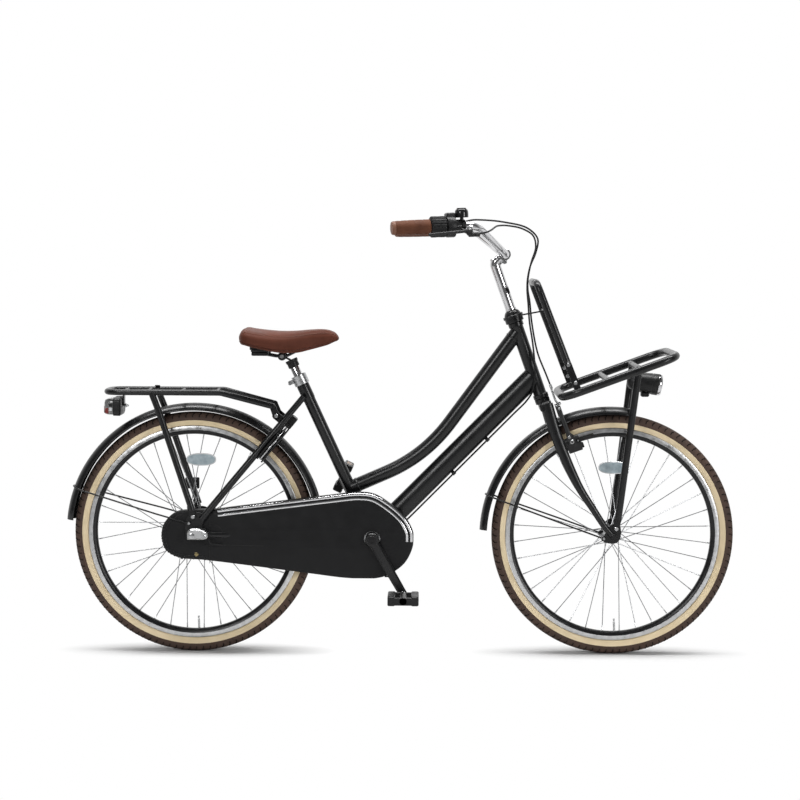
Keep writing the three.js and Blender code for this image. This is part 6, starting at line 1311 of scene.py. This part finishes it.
def make_grip(side, length, name, node):
    profile = [(0, -3), (12, -3), (15.6, -2.2), (17.2, 0), (17.6, 3), (17.6, 6), (17.2, 6.6), (0, 6.6)]
    lip = Shape().lathe(profile, bar_point(side, 0), -bar_line(side), 1, 44)
    body = [(16.4, 6.4), (17.7, 7), (18, 8)]
    n = 26

    def girth(t):
        return 18 + 1.7 * t + 0.5 * sin(pi * t)

    for i in range(n + 1):
        t = i / n
        body.append((girth(t) - (0.35 if i % 6 == 3 else 0), lerp(10.5, length - 3.5, t)))
    body += [(19.6, length - 2.6), (19.4, length - 0.8), (18.4, length - 0.1), (11.6, length)]
    lip.lathe(body, bar_point(side, 0), -bar_line(side), 0, 44)
    # A stitched seam runs along the inner underside
    way = (-BAR_OUT * 0.85
           - BAR_UP * 0.5) if side < 0 else Vector((-BAR_OUT.x, BAR_OUT.y, 0)) * 0.85 - BAR_UP * 0.5
    way = (way - bar_line(side) * way.dot(bar_line(side))).normalized()
    for k in range(int((length - 20) / 5)):
        s = 13 + 5 * k
        t = (s - 10.5) / (length - 14)
        at = bar_point(side, s) + way * (girth(min(max(t, 0), 1)) + 0.1)
        lip.rod(at, at - bar_line(side) * 3.2, 0.55, 2, 6)
    lip.make(name, [grip_leather, grip_lip, thread_red], "steering", node, "grip_brown")


def make_shifter():
    twist = Shape()
    sides = 132
    rings = []
    for s, share in ((0, 0.86), (1.2, 0.95), (2.6, 1), (12, 1), (20, 0.985), (28, 1), (37, 1), (38.8, 0.95),
                     (39.8, 0.86)):
        at = bar_point(-1, TWIST_FROM + s)
        ring = []
        for j in range(sides):
            a = TURN * j / sides
            r = (26.9 - (1.5 if (j % 6) in (0, 1, 5) else 0)) * share
            ring.append(at + BAR_OUT * (r * cos(a)) + BAR_UP * (r * sin(a)))
        rings.append(ring)
    twist.rings(rings, 0)
    twist.make("twist_grip_ribs", soft_black, "twist_grip", "shifter_grip", "rubber", sharp=40)
    housing = Shape()
    housing.lathe([(11.6, 0), (25, 0), (27.4, 1.2), (28, 3), (28, 20), (27.2, 22.6), (24, 24), (11.6, 24)],
                  bar_point(-1, HOUSING_FROM), -BAR_WAY, 0, 44)
    at = bar_point(-1, HOUSING_FROM + 12) + BAR_UP * 28
    housing.block(at, BAR_WAY, BAR_OUT, BAR_UP, (23.6, 28, 13.6), 0, 3)
    housing.block(at + BAR_UP * 6.4, BAR_WAY, BAR_OUT, BAR_UP, (15, 19, 0.9), 1, 0.3)
    for k in range(5):
        housing.block(at + BAR_UP * 6.85 + BAR_OUT * (k * 3.4 - 6.8), BAR_WAY, BAR_OUT, BAR_UP,
                      (6, 0.7, 0.16), 2, 0.03)
    housing.rod(bar_point(-1, HOUSING_FROM + 11) + BAR_OUT * 20 - BAR_UP * 4,
                bar_point(-1, HOUSING_FROM + 37) + BAR_OUT * 21 - BAR_UP * 2, 4.4, 0, 18, 0.8)
    housing.make("shifter_body", [moulded, clear_lens, grip_lip], "steering", "shifter_housing",
                 "black_plastic")


def make_lever():
    bracket = Shape()
    middle = bar_point(-1, LEVER_FROM + 7)
    bracket.sleeve(bar_point(-1, LEVER_FROM), -BAR_WAY, 11.5, 17, 0, 14, 1, 0, 36)
    pivot = bar_point(-1, LEVER_FROM + 28) + LEVER_WAY * 38
    bracket.tube([middle + LEVER_WAY * 14, middle.lerp(pivot, 0.55) + LEVER_WAY * 4, pivot],
                 lambda t: lerp(6, 4.2, t), sides=20)
    bracket.rod(pivot - LEVER_HINGE * 4, pivot + LEVER_HINGE * 4, 6.9, 0, 28, 0.8)
    bracket.rod(pivot - LEVER_HINGE * 4, pivot + LEVER_HINGE * 13.4, 3.9, 1, 18, 0.4)
    bracket.lathe([(4.4, -2), (5.9, 0), (5.9, 14), (5.2, 15), (5.9, 16), (5.9, 24), (4.2, 28)],
                  pivot - LEVER_HINGE * 4, -BAR_WAY, 0, 24)
    bracket.make("brake_lever_bracket", [moulded, zinc], "steering", "brake_bracket", "black_plastic")

    tip = bar_point(-1, LEVER_FROM) + BAR_WAY * 78 + LEVER_WAY * 54
    lift = LEVER_HINGE * 9
    lever = Shape()
    line = catmull([pivot + lift, pivot.lerp(tip, 0.3) + lift + LEVER_WAY * 1.6, pivot.lerp(tip, 0.65) + lift
                    + LEVER_WAY * 0.6, tip + lift], 6)
    lever.sweep(line, lambda t: squircle(lerp(4.5, 3.4, t), lerp(4.4, 3.2, t), 0.7), near=LEVER_HINGE)
    lever.lathe([(4.6, 4.6), (7.4, 4.6), (8, 5.4), (8, 12.6), (7.4, 13.4), (4.6, 13.4)], pivot, LEVER_HINGE,
                0, 28, closed=True)
    ball = [(0, -6.2), (2.6, -5.6), (4.6, -4.1), (5.9, -1.9), (6.2, 0), (5.9, 1.9), (4.6, 4.1), (2.6, 5.6),
            (0, 6.2)]
    lever.lathe([(r, h * 0.72) for r, h in ball], tip + lift, LEVER_HINGE, 0, 24)
    lever.make("brake_lever_blade", moulded, "lever", "brake_lever", "black_plastic")


def make_bell():
    bell = Shape()
    bell.lathe([(11.5, 0), (15.8, 0), (16.5, 0.8), (16.5, 9.2), (15.8, 10), (11.5, 10)],
               bar_point(-1, BELL_FROM), -BAR_WAY, 1, 32, closed=True)
    foot = bar_point(-1, BELL_FROM + 3)
    bell.rod(foot + BAR_UP * 12, foot + BAR_UP * 21.4, 4.8, 1, 20, 0.5)
    bell.rod(foot + BAR_UP * 12, foot + BAR_UP * 36, 3.8, 1, 16)
    dome = [(0, 26.5), (15.6, 26), (16.6, 21.8), (17.2, 21.6), (17.5, 24), (17.4, 32), (17, 37), (15.6, 41),
            (13.2, 43.6), (9, 45), (4, 45.4), (0, 45.5)]
    bell.lathe(dome, foot, BAR_UP, 0, 44)
    bell.lathe([(0, 46.4), (10.6, 46.2), (12, 45.6), (12.4, 44.2)], foot, BAR_UP, 2, 32)
    bell.make("bell_dome", [bell_black, moulded, moulded], "steering", "bell", "chrome")
    thumb = Shape()
    at = foot + BAR_UP * 23.5
    thumb.sleeve(at, BAR_UP, 4.7, 8, -1.4, 1.4, 0.4, 0, 28)
    thumb.block(at - BAR_OUT * 18.6, BAR_OUT, BAR_WAY, BAR_UP, (22.4, 7.4, 2.8), 0, 0.8)
    thumb.make("bell_thumb_lever", zinc, "bell_thumb", "bell_lever", "chrome")


bell_black = finish("bell_black", (0.006, 0.006, 0.0064), (0.011, 0.011, 0.0116), (0.12, 0.2), 0.0, 40, 1500,
                    0.006, specular=0.4)
make_bar()
make_grip(-1, 98, "grip_right_body", "grip_right")
make_grip(1, 128, "grip_left_body", "grip_left")
make_shifter()
make_lever()
make_bell()

# Front carrier, its upright and the lamp
CARRIER_TAN = math.tan(rad(20.3))
CARRIER_REAR, CARRIER_FRONT = 984, 1282
CARRIER_REAR_Z = 706
CARRIER_HALF = 150
CROSS_BARS = (1104, 1187)
STRUT_AT = CROSS_BARS[1]
FORK_BOLT = Vector((1135, 0, 348.5))
BRACKET_PLATE = 4
UPRIGHT_FOOT, UPRIGHT_TOP = (996, 792), (912, 1006)
UPRIGHT_HALF = 135
UPRIGHT_BOLT = (1015, 745)
UPRIGHT_BAR_Z = 930


def on_carrier(x):
    return CARRIER_REAR_Z + (x - CARRIER_REAR) * CARRIER_TAN


def make_carrier():
    carrier = Shape()
    far = on_carrier(CARRIER_FRONT)
    rear = Vector((CARRIER_REAR, 0, CARRIER_REAR_Z))
    corners = [rear, Vector((CARRIER_FRONT, 0, far))]
    points = [rear, *(p - SIDE * CARRIER_HALF for p in corners),
              *(p + SIDE * CARRIER_HALF for p in corners[::-1]), rear]
    line = rounded(points, 58, 10)[:-1]
    carrier.tube(line, 10.9, sides=26, closed=True)
    for x in CROSS_BARS:
        carrier.rod((x, -148, on_carrier(x)), (x, 148, on_carrier(x)), 7.9, 0, 22)
    bolt = FORK_BOLT
    for side in (-1, 1):
        top = Vector((STRUT_AT, side * 88, on_carrier(STRUT_AT)))
        foot = Vector((1139, side * 66, 375.5))
        carrier.tube([top, top.lerp(foot, 0.5), foot], 9.4, sides=24)
        carrier.rod(top - SIDE * 9 + UP * 0.2, top + SIDE * 9 + UP * 0.2, 8.6, 0, 24, 0.7)
        carrier.plate(around(xz(bolt), 9, xz(foot), 9.4), side * 56.8, side * 60.8, 0, 0.7)
        carrier.rod(foot - SIDE * (side * 8.6), foot, 9, 0, 24, 1.5)
        carrier.rod((bolt.x, side * 60, bolt.z), (bolt.x, side * 64.8, bolt.z), 5.9, 1, 6, 0.6)
        carrier.plate(around((1024, on_carrier(1024)), 9, UPRIGHT_FOOT, 9),
                      side * (CARRIER_HALF - BRACKET_PLATE), side * CARRIER_HALF, 0, 0.7)
        for x, z in (UPRIGHT_FOOT, UPRIGHT_BOLT):
            carrier.rod((x, side * 149.6, z), (x, side * 151, z), 5, 1, 24, 0.5)
    carrier.make("front_carrier_tubes", [paint, zinc], "steering", "front_carrier", "frame_paint")

    upright = Shape()
    (foot_x, foot_z), (top_x, top_z) = UPRIGHT_FOOT, UPRIGHT_TOP
    points = [(x, side * UPRIGHT_HALF, z) for side, x, z in ((-1, foot_x, foot_z), (-1, top_x, top_z),
                                                             (1, top_x, top_z), (1, foot_x, foot_z))]
    upright.tube(rounded(points, 30, 8), 9.4, sides=24)
    x = lerp(top_x, foot_x, (top_z - UPRIGHT_BAR_Z) / (top_z - foot_z))
    cross = Vector((x, 0, UPRIGHT_BAR_Z))
    upright.rod(cross - SIDE * 134, cross + SIDE * 134, 4, 0, 16)
    for side in (-1, 1):
        outer = side * (CARRIER_HALF - BRACKET_PLATE - 0.3)
        upright.plate(around(UPRIGHT_BOLT, 9, UPRIGHT_FOOT, 9), outer - side * BRACKET_PLATE, outer, 0, 0.7)
        upright.rod((foot_x, side * 126, foot_z), (foot_x, side * 141, foot_z), 8.8, 0, 24, 1.5)
        for along in (0.5, 1):
            bx, bz = (lerp(a, b, along) for a, b in zip(UPRIGHT_FOOT, UPRIGHT_BOLT))
            upright.rod((bx, outer - side * 8, bz), (bx, outer - side * 3.6, bz), 5.9, 1, 6, 0.5)
    cap = on_steerer(-17)
    way = (cross - cap).normalized()
    upright.block((cap + way * 24 + cross) / 2, way, SIDE, way.cross(SIDE),
                  ((cross - cap).length - 24, 9, 4), 0, 0.6)
    upright.sleeve(cap, STEER_WAY, 23.6, 27.3, -4, 4, 0.7, 0, 40)
    upright.rod(cross - SIDE * 6, cross + SIDE * 6, 6, 0, 20, 0.8)
    upright.make("carrier_upright_tubes", [paint, zinc], "steering", "carrier_upright", "frame_paint")


def make_headlamp():
    lamp = Shape()
    way = Vector((cos(rad(-8)), 0, sin(rad(-8))))
    at = Vector((1206, 0, 738))
    body = [(0, -42), (9, -41.4), (15, -39), (20, -33.5), (23.6, -24), (26, -10), (27.6, 6), (28.6, 18),
            (28.8, 24), (28.1, 25), (28.1, 27), (28.8, 28),
            (28.8, 40), (28.2, 45), (26.4, 49.4), (24.8, 49.8), (24.2, 42), (0, 40)]
    lamp.lathe(body, at, way, 0, 52)
    lamp.lathe([(0, 42), (8, 41.6), (16, 43), (22, 46), (24.4, 48.6), (24.6, 50.2), (19, 52.4), (10, 53.8),
                (0, 54.2)], at, way, 1, 52)
    lamp.lathe([(24.4, 49.2), (26.4, 50.8), (27.6, 49.6), (29, 44.6), (29, 41.6), (27, 46)], at, way, 2, 52,
               closed=True)
    lamp.box((1212, 0, 706), (20, 30, 12), 0, 2)
    lamp.box((1222.6, 0, 706), (1.6, 26, 9), 1, 0.5)
    top = on_carrier(STRUT_AT) - 8 * cos(pi / 6) - 0.3
    lamp.box((STRUT_AT, 0, (740 + top) / 2), (17.6, 15.6, top - 740), 0, 1.4)
    lamp.rod((STRUT_AT, -9.6, top - 12), (STRUT_AT, 9.6, top - 12), 4.4, 2, 6, 0.5)
    lamp.make("headlamp_body", [moulded, clear_lens, chrome], "steering", "headlamp", "black_plastic")


def make_brake():
    for side, label in ((-1, "right"), (1, "left")):
        pivot = brake_pivot(side)
        lean = (Vector((0, side * 5.5 / 104, 0)) + STEER_WAY)
        arm = Shape()
        line = catmull([pivot - lean * 2, pivot + lean * 30 + STEER_AHEAD * 1, pivot + lean * 68,
                        pivot + lean * 103], 6)

        arm.sweep(line, lambda t: squircle(lerp(5.4, 4.4, t), lerp(6.8, 5.4, t), 0.6))
        arm.sleeve(pivot, STEER_AHEAD, 5.1, 9, -7, 7, 0.8)
        before = pivot + STEER_AHEAD * 39 + STEER_WAY * 22
        to_pad = Vector((before.x - WHEELBASE, 0, before.z - TYRE_RADIUS)).normalized()
        along = Vector((-to_pad.z, 0, to_pad.x))
        pad = FRONT_AXLE + to_pad * 275
        pad.y = side * (16.3 + 4)
        arm.block(pad, along, SIDE, to_pad, (55.6, 7.8, 9.8), 1, 1.6)
        arm.block(pad + SIDE * (side * 3), along, SIDE, to_pad, (40, 2, 6.6), 0, 0.5)
        post = pad + along * 18
        arm.rod(post, Vector((post.x, side * 43.4, post.z)), 3.9, 0, 18, 0.6)
        arm.rod(Vector((post.x, side * 40.4, post.z)), Vector((post.x, side * 43.5, post.z)), 6.4, 0, 24, 0.8)
        arm.rod(Vector((post.x, side * 43, post.z)), Vector((post.x, side * 44.4, post.z)), 2.4, 2, 6, 0.2)
        spring_box = pivot + STEER_AHEAD * 6 - STEER_WAY * 8 + SIDE * (side * 1)
        arm.block(spring_box, STEER_AHEAD, SIDE, STEER_WAY, (38, 9, 42), 0, 1.4)
        arm.block(spring_box - STEER_WAY * 9 + STEER_AHEAD * 20, STEER_AHEAD, SIDE, STEER_WAY, (10, 7, 15),
                  1, 1.4)
        screw = pivot + STEER_AHEAD * 3.4 + SIDE * (side * 5)
        arm.rod(screw, screw + SIDE * (side * 4.4), 5.8, 2, 24, 0.8)
        # A dark hexagon on the screw's head: painted shade in its socket
        arm.rod(screw + SIDE * (side * 4), screw + SIDE * (side * 4.9), 2.6, 1, 6, 0.2)
        arm.rod(pivot + lean * 14 - SIDE * (side * 5.5), pivot + lean * 14 + SIDE * (side * 6.2), 4.4, 2, 24,
                0.6)
        place = pivot + lean * 30
        link_end = Vector((post.x, place.y, post.z))
        arm.tube([place, link_end], 3.9, 0, 18)
        arm.rod(pivot + lean * 96 - SIDE * (side * 5.2), pivot + lean * 96 + SIDE * (side * 5.3), 4, 2, 6,
                0.4)
        arm.make("brake_arm_" + label + "_body", [arm_black, soft_black, zinc], "arm_" + label,
                 "brake_arm_" + label, "silver_alloy")


arm_black = finish("brake_arm_alloy", (0.007, 0.007, 0.0074), (0.014, 0.014, 0.0148), (0.3, 0.4), 0.0, 60,
                   1600, 0.01, specular=0.4)
make_carrier()
make_headlamp()
make_brake()

# Saddle, measured from the top of the seat post
POST_TOP = on_seat_tube(523)
SADDLE = [
    (-137, 60, 73.6, 57.6), (-131, 85, 84.6, 48.6), (-120, 98, 90.6, 45.6), (-101, 104, 88, 40.6),
          (-73, 103, 84.6, 34),
    (-33, 92, 81.6, 26.6), (-6, 78, 81.6, 24.6), (21, 62, 83, 25.6), (49, 47, 85.4, 32), (76, 37, 86.8, 39),
    (99, 31, 85.1, 45.6), (116, 27, 78.6, 53.6), (124, 21, 70.6, 56.6), (127, 10, 64.6, 59.6),
]


def on_post(x, y, z):
    return Vector((POST_TOP.x + x, y, POST_TOP.z + z))


def saddle_section(x):
    """Half width, top and bottom of the saddle at x, as smooth curves through the stations."""
    rows = SADDLE
    i = max(0, min(len(rows) - 2, sum(1 for r in rows if r[0] <= x) - 1))
    a, b = rows[i], rows[i + 1]
    t = (x - a[0]) / (b[0] - a[0])
    before, after = rows[max(i - 1, 0)], rows[min(i + 2, len(rows) - 1)]
    out = []
    for k in (1, 2, 3):
        m1 = (b[k] - before[k]) / (b[0] - before[0]) * (b[0] - a[0])
        m2 = (after[k] - a[k]) / (after[0] - a[0]) * (b[0] - a[0])
        v = a[k] * (2 * t**3 - 3 * t**2 + 1) + m1 * (t**3 - 2 * t**2
                                                     + t) + b[k] * (3 * t**2 - 2 * t**3) + m2 * (t**3 - t**2)
        out.append(v)
    return out


def saddle_ring(x, width, top, bottom):
    """Crowned over the top, drawn in under the seam, hollow below."""
    middle = bottom + (top - bottom) * 0.45
    ring = []
    for i in range(25):
        a = pi * i / 24
        across = copysign(abs(cos(a)) ** 0.8, cos(a))
        rise = max(sin(a), 0) ** 0.75
        dip = 1.6 * math.exp(-((cos(a)) / 0.16) ** 2) * max(0.0, min(1.0, (40 - x) / 60))
        seam = 0.8 * math.exp(-((a - 0.42) / 0.05) ** 2) + 0.8 * math.exp(-((pi - a - 0.42) / 0.05) ** 2)
        ring.append(on_post(x, (width - seam) * across, middle + (top - middle) * rise - dip - seam))
    skirt = ((0.995, 0.8), (0.985, 0.6), (0.955, 0.36), (0.93, 0.2), (0.9, 0.08), (0.86, 0), (0.80, 0.02),
             (0.76, 0.12))
    for out, up in skirt:
        ring.append(on_post(x, -width * out, bottom + (top - bottom) * 0.45 * up))
    roof = bottom + (top - bottom) * 0.34
    for share in (-0.7, -0.35, 0, 0.35, 0.7):
        ring.append(on_post(x, width * share, roof))
    for out, up in reversed(skirt):
        ring.append(on_post(x, width * out, bottom + (top - bottom) * 0.45 * up))
    return ring


CLAMP_X = -24.8
RAIL_Z = 14
RAIL = ((-87.8, 22, 22), (-41, 22, RAIL_Z), (-12.8, 22, RAIL_Z), (26, 17, 34), (77.2, 11, 46))
# The rubber blocks at the rear: height, then length, width and thickness, with the material's slot
BUMPERS = ((21.5, (44, 30, 10), 0, 2), (29, (47, 25, 6), 1, 1), (37, (53, 32, 11), 0, 2))


def make_saddle():
    xs = [lerp(-137, -100, (i / 10) ** 1.3)
          for i in range(11)] + [lerp(-100, 99, i / 30) for i in range(1, 31)] \
        + [lerp(99, 127, 1 - (1 - i / 10) ** 1.3) for i in range(1, 11)]
    rings = [saddle_ring(x, *saddle_section(x)) for x in xs]
    saddle = Shape().rings(rings, 0)
    # Stitches along the seam between the top and the skirt, on both sides
    for side in (-1, 1):
        seam = []
        for i in range(95):
            x = lerp(-126, 118, i / 94)
            width, top, bottom = saddle_section(x)
            middle = bottom + (top - bottom) * 0.45
            a = 0.52
            seam.append(on_post(x, side * (width * cos(a) ** 0.8 + 0.1),
                                middle + (top - middle) * sin(a) ** 0.75 + 0.35))
        for p, q in zip(seam[::1], seam[1::1]):
            saddle.rod(p.lerp(q, 0.15), p.lerp(q, 0.8), 0.5, 1, 6)
    # Piping round the lower edge
    for side in (-1, 1):
        edge = []
        for i in range(80):
            x = lerp(-134, 124, i / 79)
            width, top, bottom = saddle_section(x)
            edge.append(on_post(x, side * width * 0.945, bottom + (top - bottom) * 0.45 * 0.27))
        saddle.tube(edge, 1.4, 2, 8)
    obj = saddle.make("saddle_cover", [leather, thread_red, saddle_edge], "seat", "saddle", "leather",
                      sharp=60)

    under = Shape()
    under.lathe([(13, 506), (14.6, 506), (15.4, 507), (15.4, 519), (17, 521), (17, 526.4), (16, 527.3),
                 (0, 527.3), (0, 523.4), (13, 523.4)],
                BRACKET, SEAT_WAY, 0, 36)
    clamp = on_post(CLAMP_X, 0, RAIL_Z)
    under.lathe([(0, -25.6), (9, -25.6), (11, -24.4), (11.7, -22), (11.7, -15), (10, -13), (10, 13),
                 (11.7, 15), (11.7, 22), (11, 24.4), (9, 25.6), (0, 25.6)],
                clamp, SIDE, 0, 32)
    under.rod(clamp - SIDE * 29, clamp - SIDE * 25, 6, 2, 6, 0.6)
    under.block((clamp + on_seat_tube(525)) / 2, on_seat_tube(525) - clamp, SIDE,
                SIDE.cross(on_seat_tube(525) - clamp), (24, 22, 4), 0, 0.6)
    for side in (-1, 1):
        rail = [on_post(x, side * y, z) for x, y, z in RAIL]
        under.tube(rounded(rail, 30, 8), 3.5, 1, 14)
        for z, sizes, slot, edge in BUMPERS:
            under.box(on_post(-82, side * 44, 0) + UP * z, sizes, slot, edge)
        under.box(on_post(-40, side * 34, 44.4), (96, 30, 3), 0, 0.8)
    under.rod(on_post(-87.8, -46, 22), on_post(-87.8, 46, 22), 3.5, 1, 14)
    under.make("saddle_springs", [moulded, zinc_dark, zinc], "seat", "saddle_frame", "black_plastic")


saddle_edge = finish("saddle_piping", (0.050, 0.015, 0.009), (0.075, 0.024, 0.014), (0.5, 0.62), 0.0, 40,
                     1300, 0.03, specular=0.12)
zinc_dark = finish("black_steel", (0.02, 0.02, 0.021), (0.05, 0.05, 0.052), (0.3, 0.42), 0.5, 90, 1600, 0.02)
make_saddle()

# Floor, light and world
LIGHTS = [
    # name, place, aim, width, height, watts
    ("top", (0.6, -0.08, 4.2), (0.6, -0.08, 0.0), 5.0, 0.75, 240),
    ("left", (-1.7, -4.5, 2.7), (0.5, 0, 0.5), 1.4, 1.4, 80),
    ("right", (4.6, -4.1, 1.6), (0.8, 0, 0.6), 1.2, 2.0, 95),
    ("back", (0.6, 3.6, 2.8), (0.6, 0, 0.6), 4.0, 1.2, 28),
]
WORLD = 0.16
FLOOR = 0.7
FLOOR_HALF = 30
# How far from a wheel's foot the floor turns from its own shade to white, with y counted thrice
FLOOR_FADE = (0.14, 0.38)
# Polished pieces mirror white only from behind: along y on the floor, and by direction in the world
FLOOR_BEHIND = (0.3, 3)
WORLD_BEHIND = (-0.1, 0.5)


def calc(tree, operation, a, b):
    return node(tree, "Math", 0, {0: a, 1: b}, operation=operation)


def y_share(tree, coords, span):
    return spread(tree, node(tree, "SeparateXYZ", "Y", {0: coords}), 0, 1, span)


def white_for(tree, shader, output, behind, where=None):
    """White at strength 1 for what the camera, metal and glass see of the background."""
    white = node(tree, "Emission" if where else "Background", 0, {"Color": (1, 1, 1, 1), "Strength": 1})
    path = tree.nodes.new("ShaderNodeLightPath").outputs
    seen = path["Is Camera Ray"]
    for ray in ("Is Glossy Ray", "Is Transmission Ray"):
        seen = calc(tree, "MAXIMUM", seen, calc(tree, "MULTIPLY", path[ray], behind))
    if where:
        seen = calc(tree, "MULTIPLY", seen, where)
    mixed = node(tree, "MixShader", "Shader", {"Fac": seen, 1: shader, 2: white})
    tree.links.new(mixed, tree.nodes[output].inputs["Surface"])


def make_floor():
    corners = [(x * FLOOR_HALF, y * FLOOR_HALF, 0) for x, y in ((-1, -1), (1, -1), (1, 1), (-1, 1))]
    mesh = bpy.data.meshes.new("floor")
    mesh.from_pydata(corners, [], [[0, 1, 2, 3]])
    floor = bpy.data.objects.new("floor", mesh)
    scene.collection.objects.link(floor)
    mat, tree, shader, coords = new_material("pale_floor")
    grain = blend_colours(tree, noise(tree, coords, 3), (FLOOR,) * 3, (FLOOR + 0.02,) * 3)
    tree.links.new(grain, shader.inputs["Base Color"])
    shader.inputs["Roughness"].default_value = 0.9
    shader.inputs["Specular IOR Level"].default_value = 0.0
    feet = []
    for x in (0, WHEELBASE * MM):
        place = node(tree, "Mapping", 0, {"Vector": coords, "Location": (-x, 0, 0), "Scale": (1, 3, 1)})
        feet.append(node(tree, "VectorMath", "Value", {0: place}, operation="LENGTH"))
    far = spread(tree, calc(tree, "MINIMUM", *feet), 0, 1, FLOOR_FADE)
    white_for(tree, shader.outputs["BSDF"], "Material Output", y_share(tree, coords, FLOOR_BEHIND), far)
    mesh.materials.append(mat)


def make_lights():
    for name, at, aim, width, height, watts in LIGHTS:
        data = bpy.data.lights.new(name, "AREA")
        data.shape = "RECTANGLE"
        data.size, data.size_y, data.energy = width, height, watts
        lamp = bpy.data.objects.new(name, data)
        scene.collection.objects.link(lamp)
        lamp.location = at
        lamp.rotation_mode = "QUATERNION"
        lamp.rotation_quaternion = (Vector(aim) - Vector(at)).to_track_quat("-Z", "Y")


def make_world():
    world = bpy.data.worlds.new("studio")
    scene.world = world
    world.use_nodes = True
    tree = world.node_tree
    soft = tree.nodes["Background"]
    soft.inputs["Color"].default_value = (1, 1, 1, 1)
    soft.inputs["Strength"].default_value = WORLD
    way = node(tree, "TexCoord", "Generated", {})
    white_for(tree, soft.outputs["Background"], "World Output", y_share(tree, way, WORLD_BEHIND))


make_floor()
make_lights()
make_world()
scene.view_settings.view_transform = "Standard"
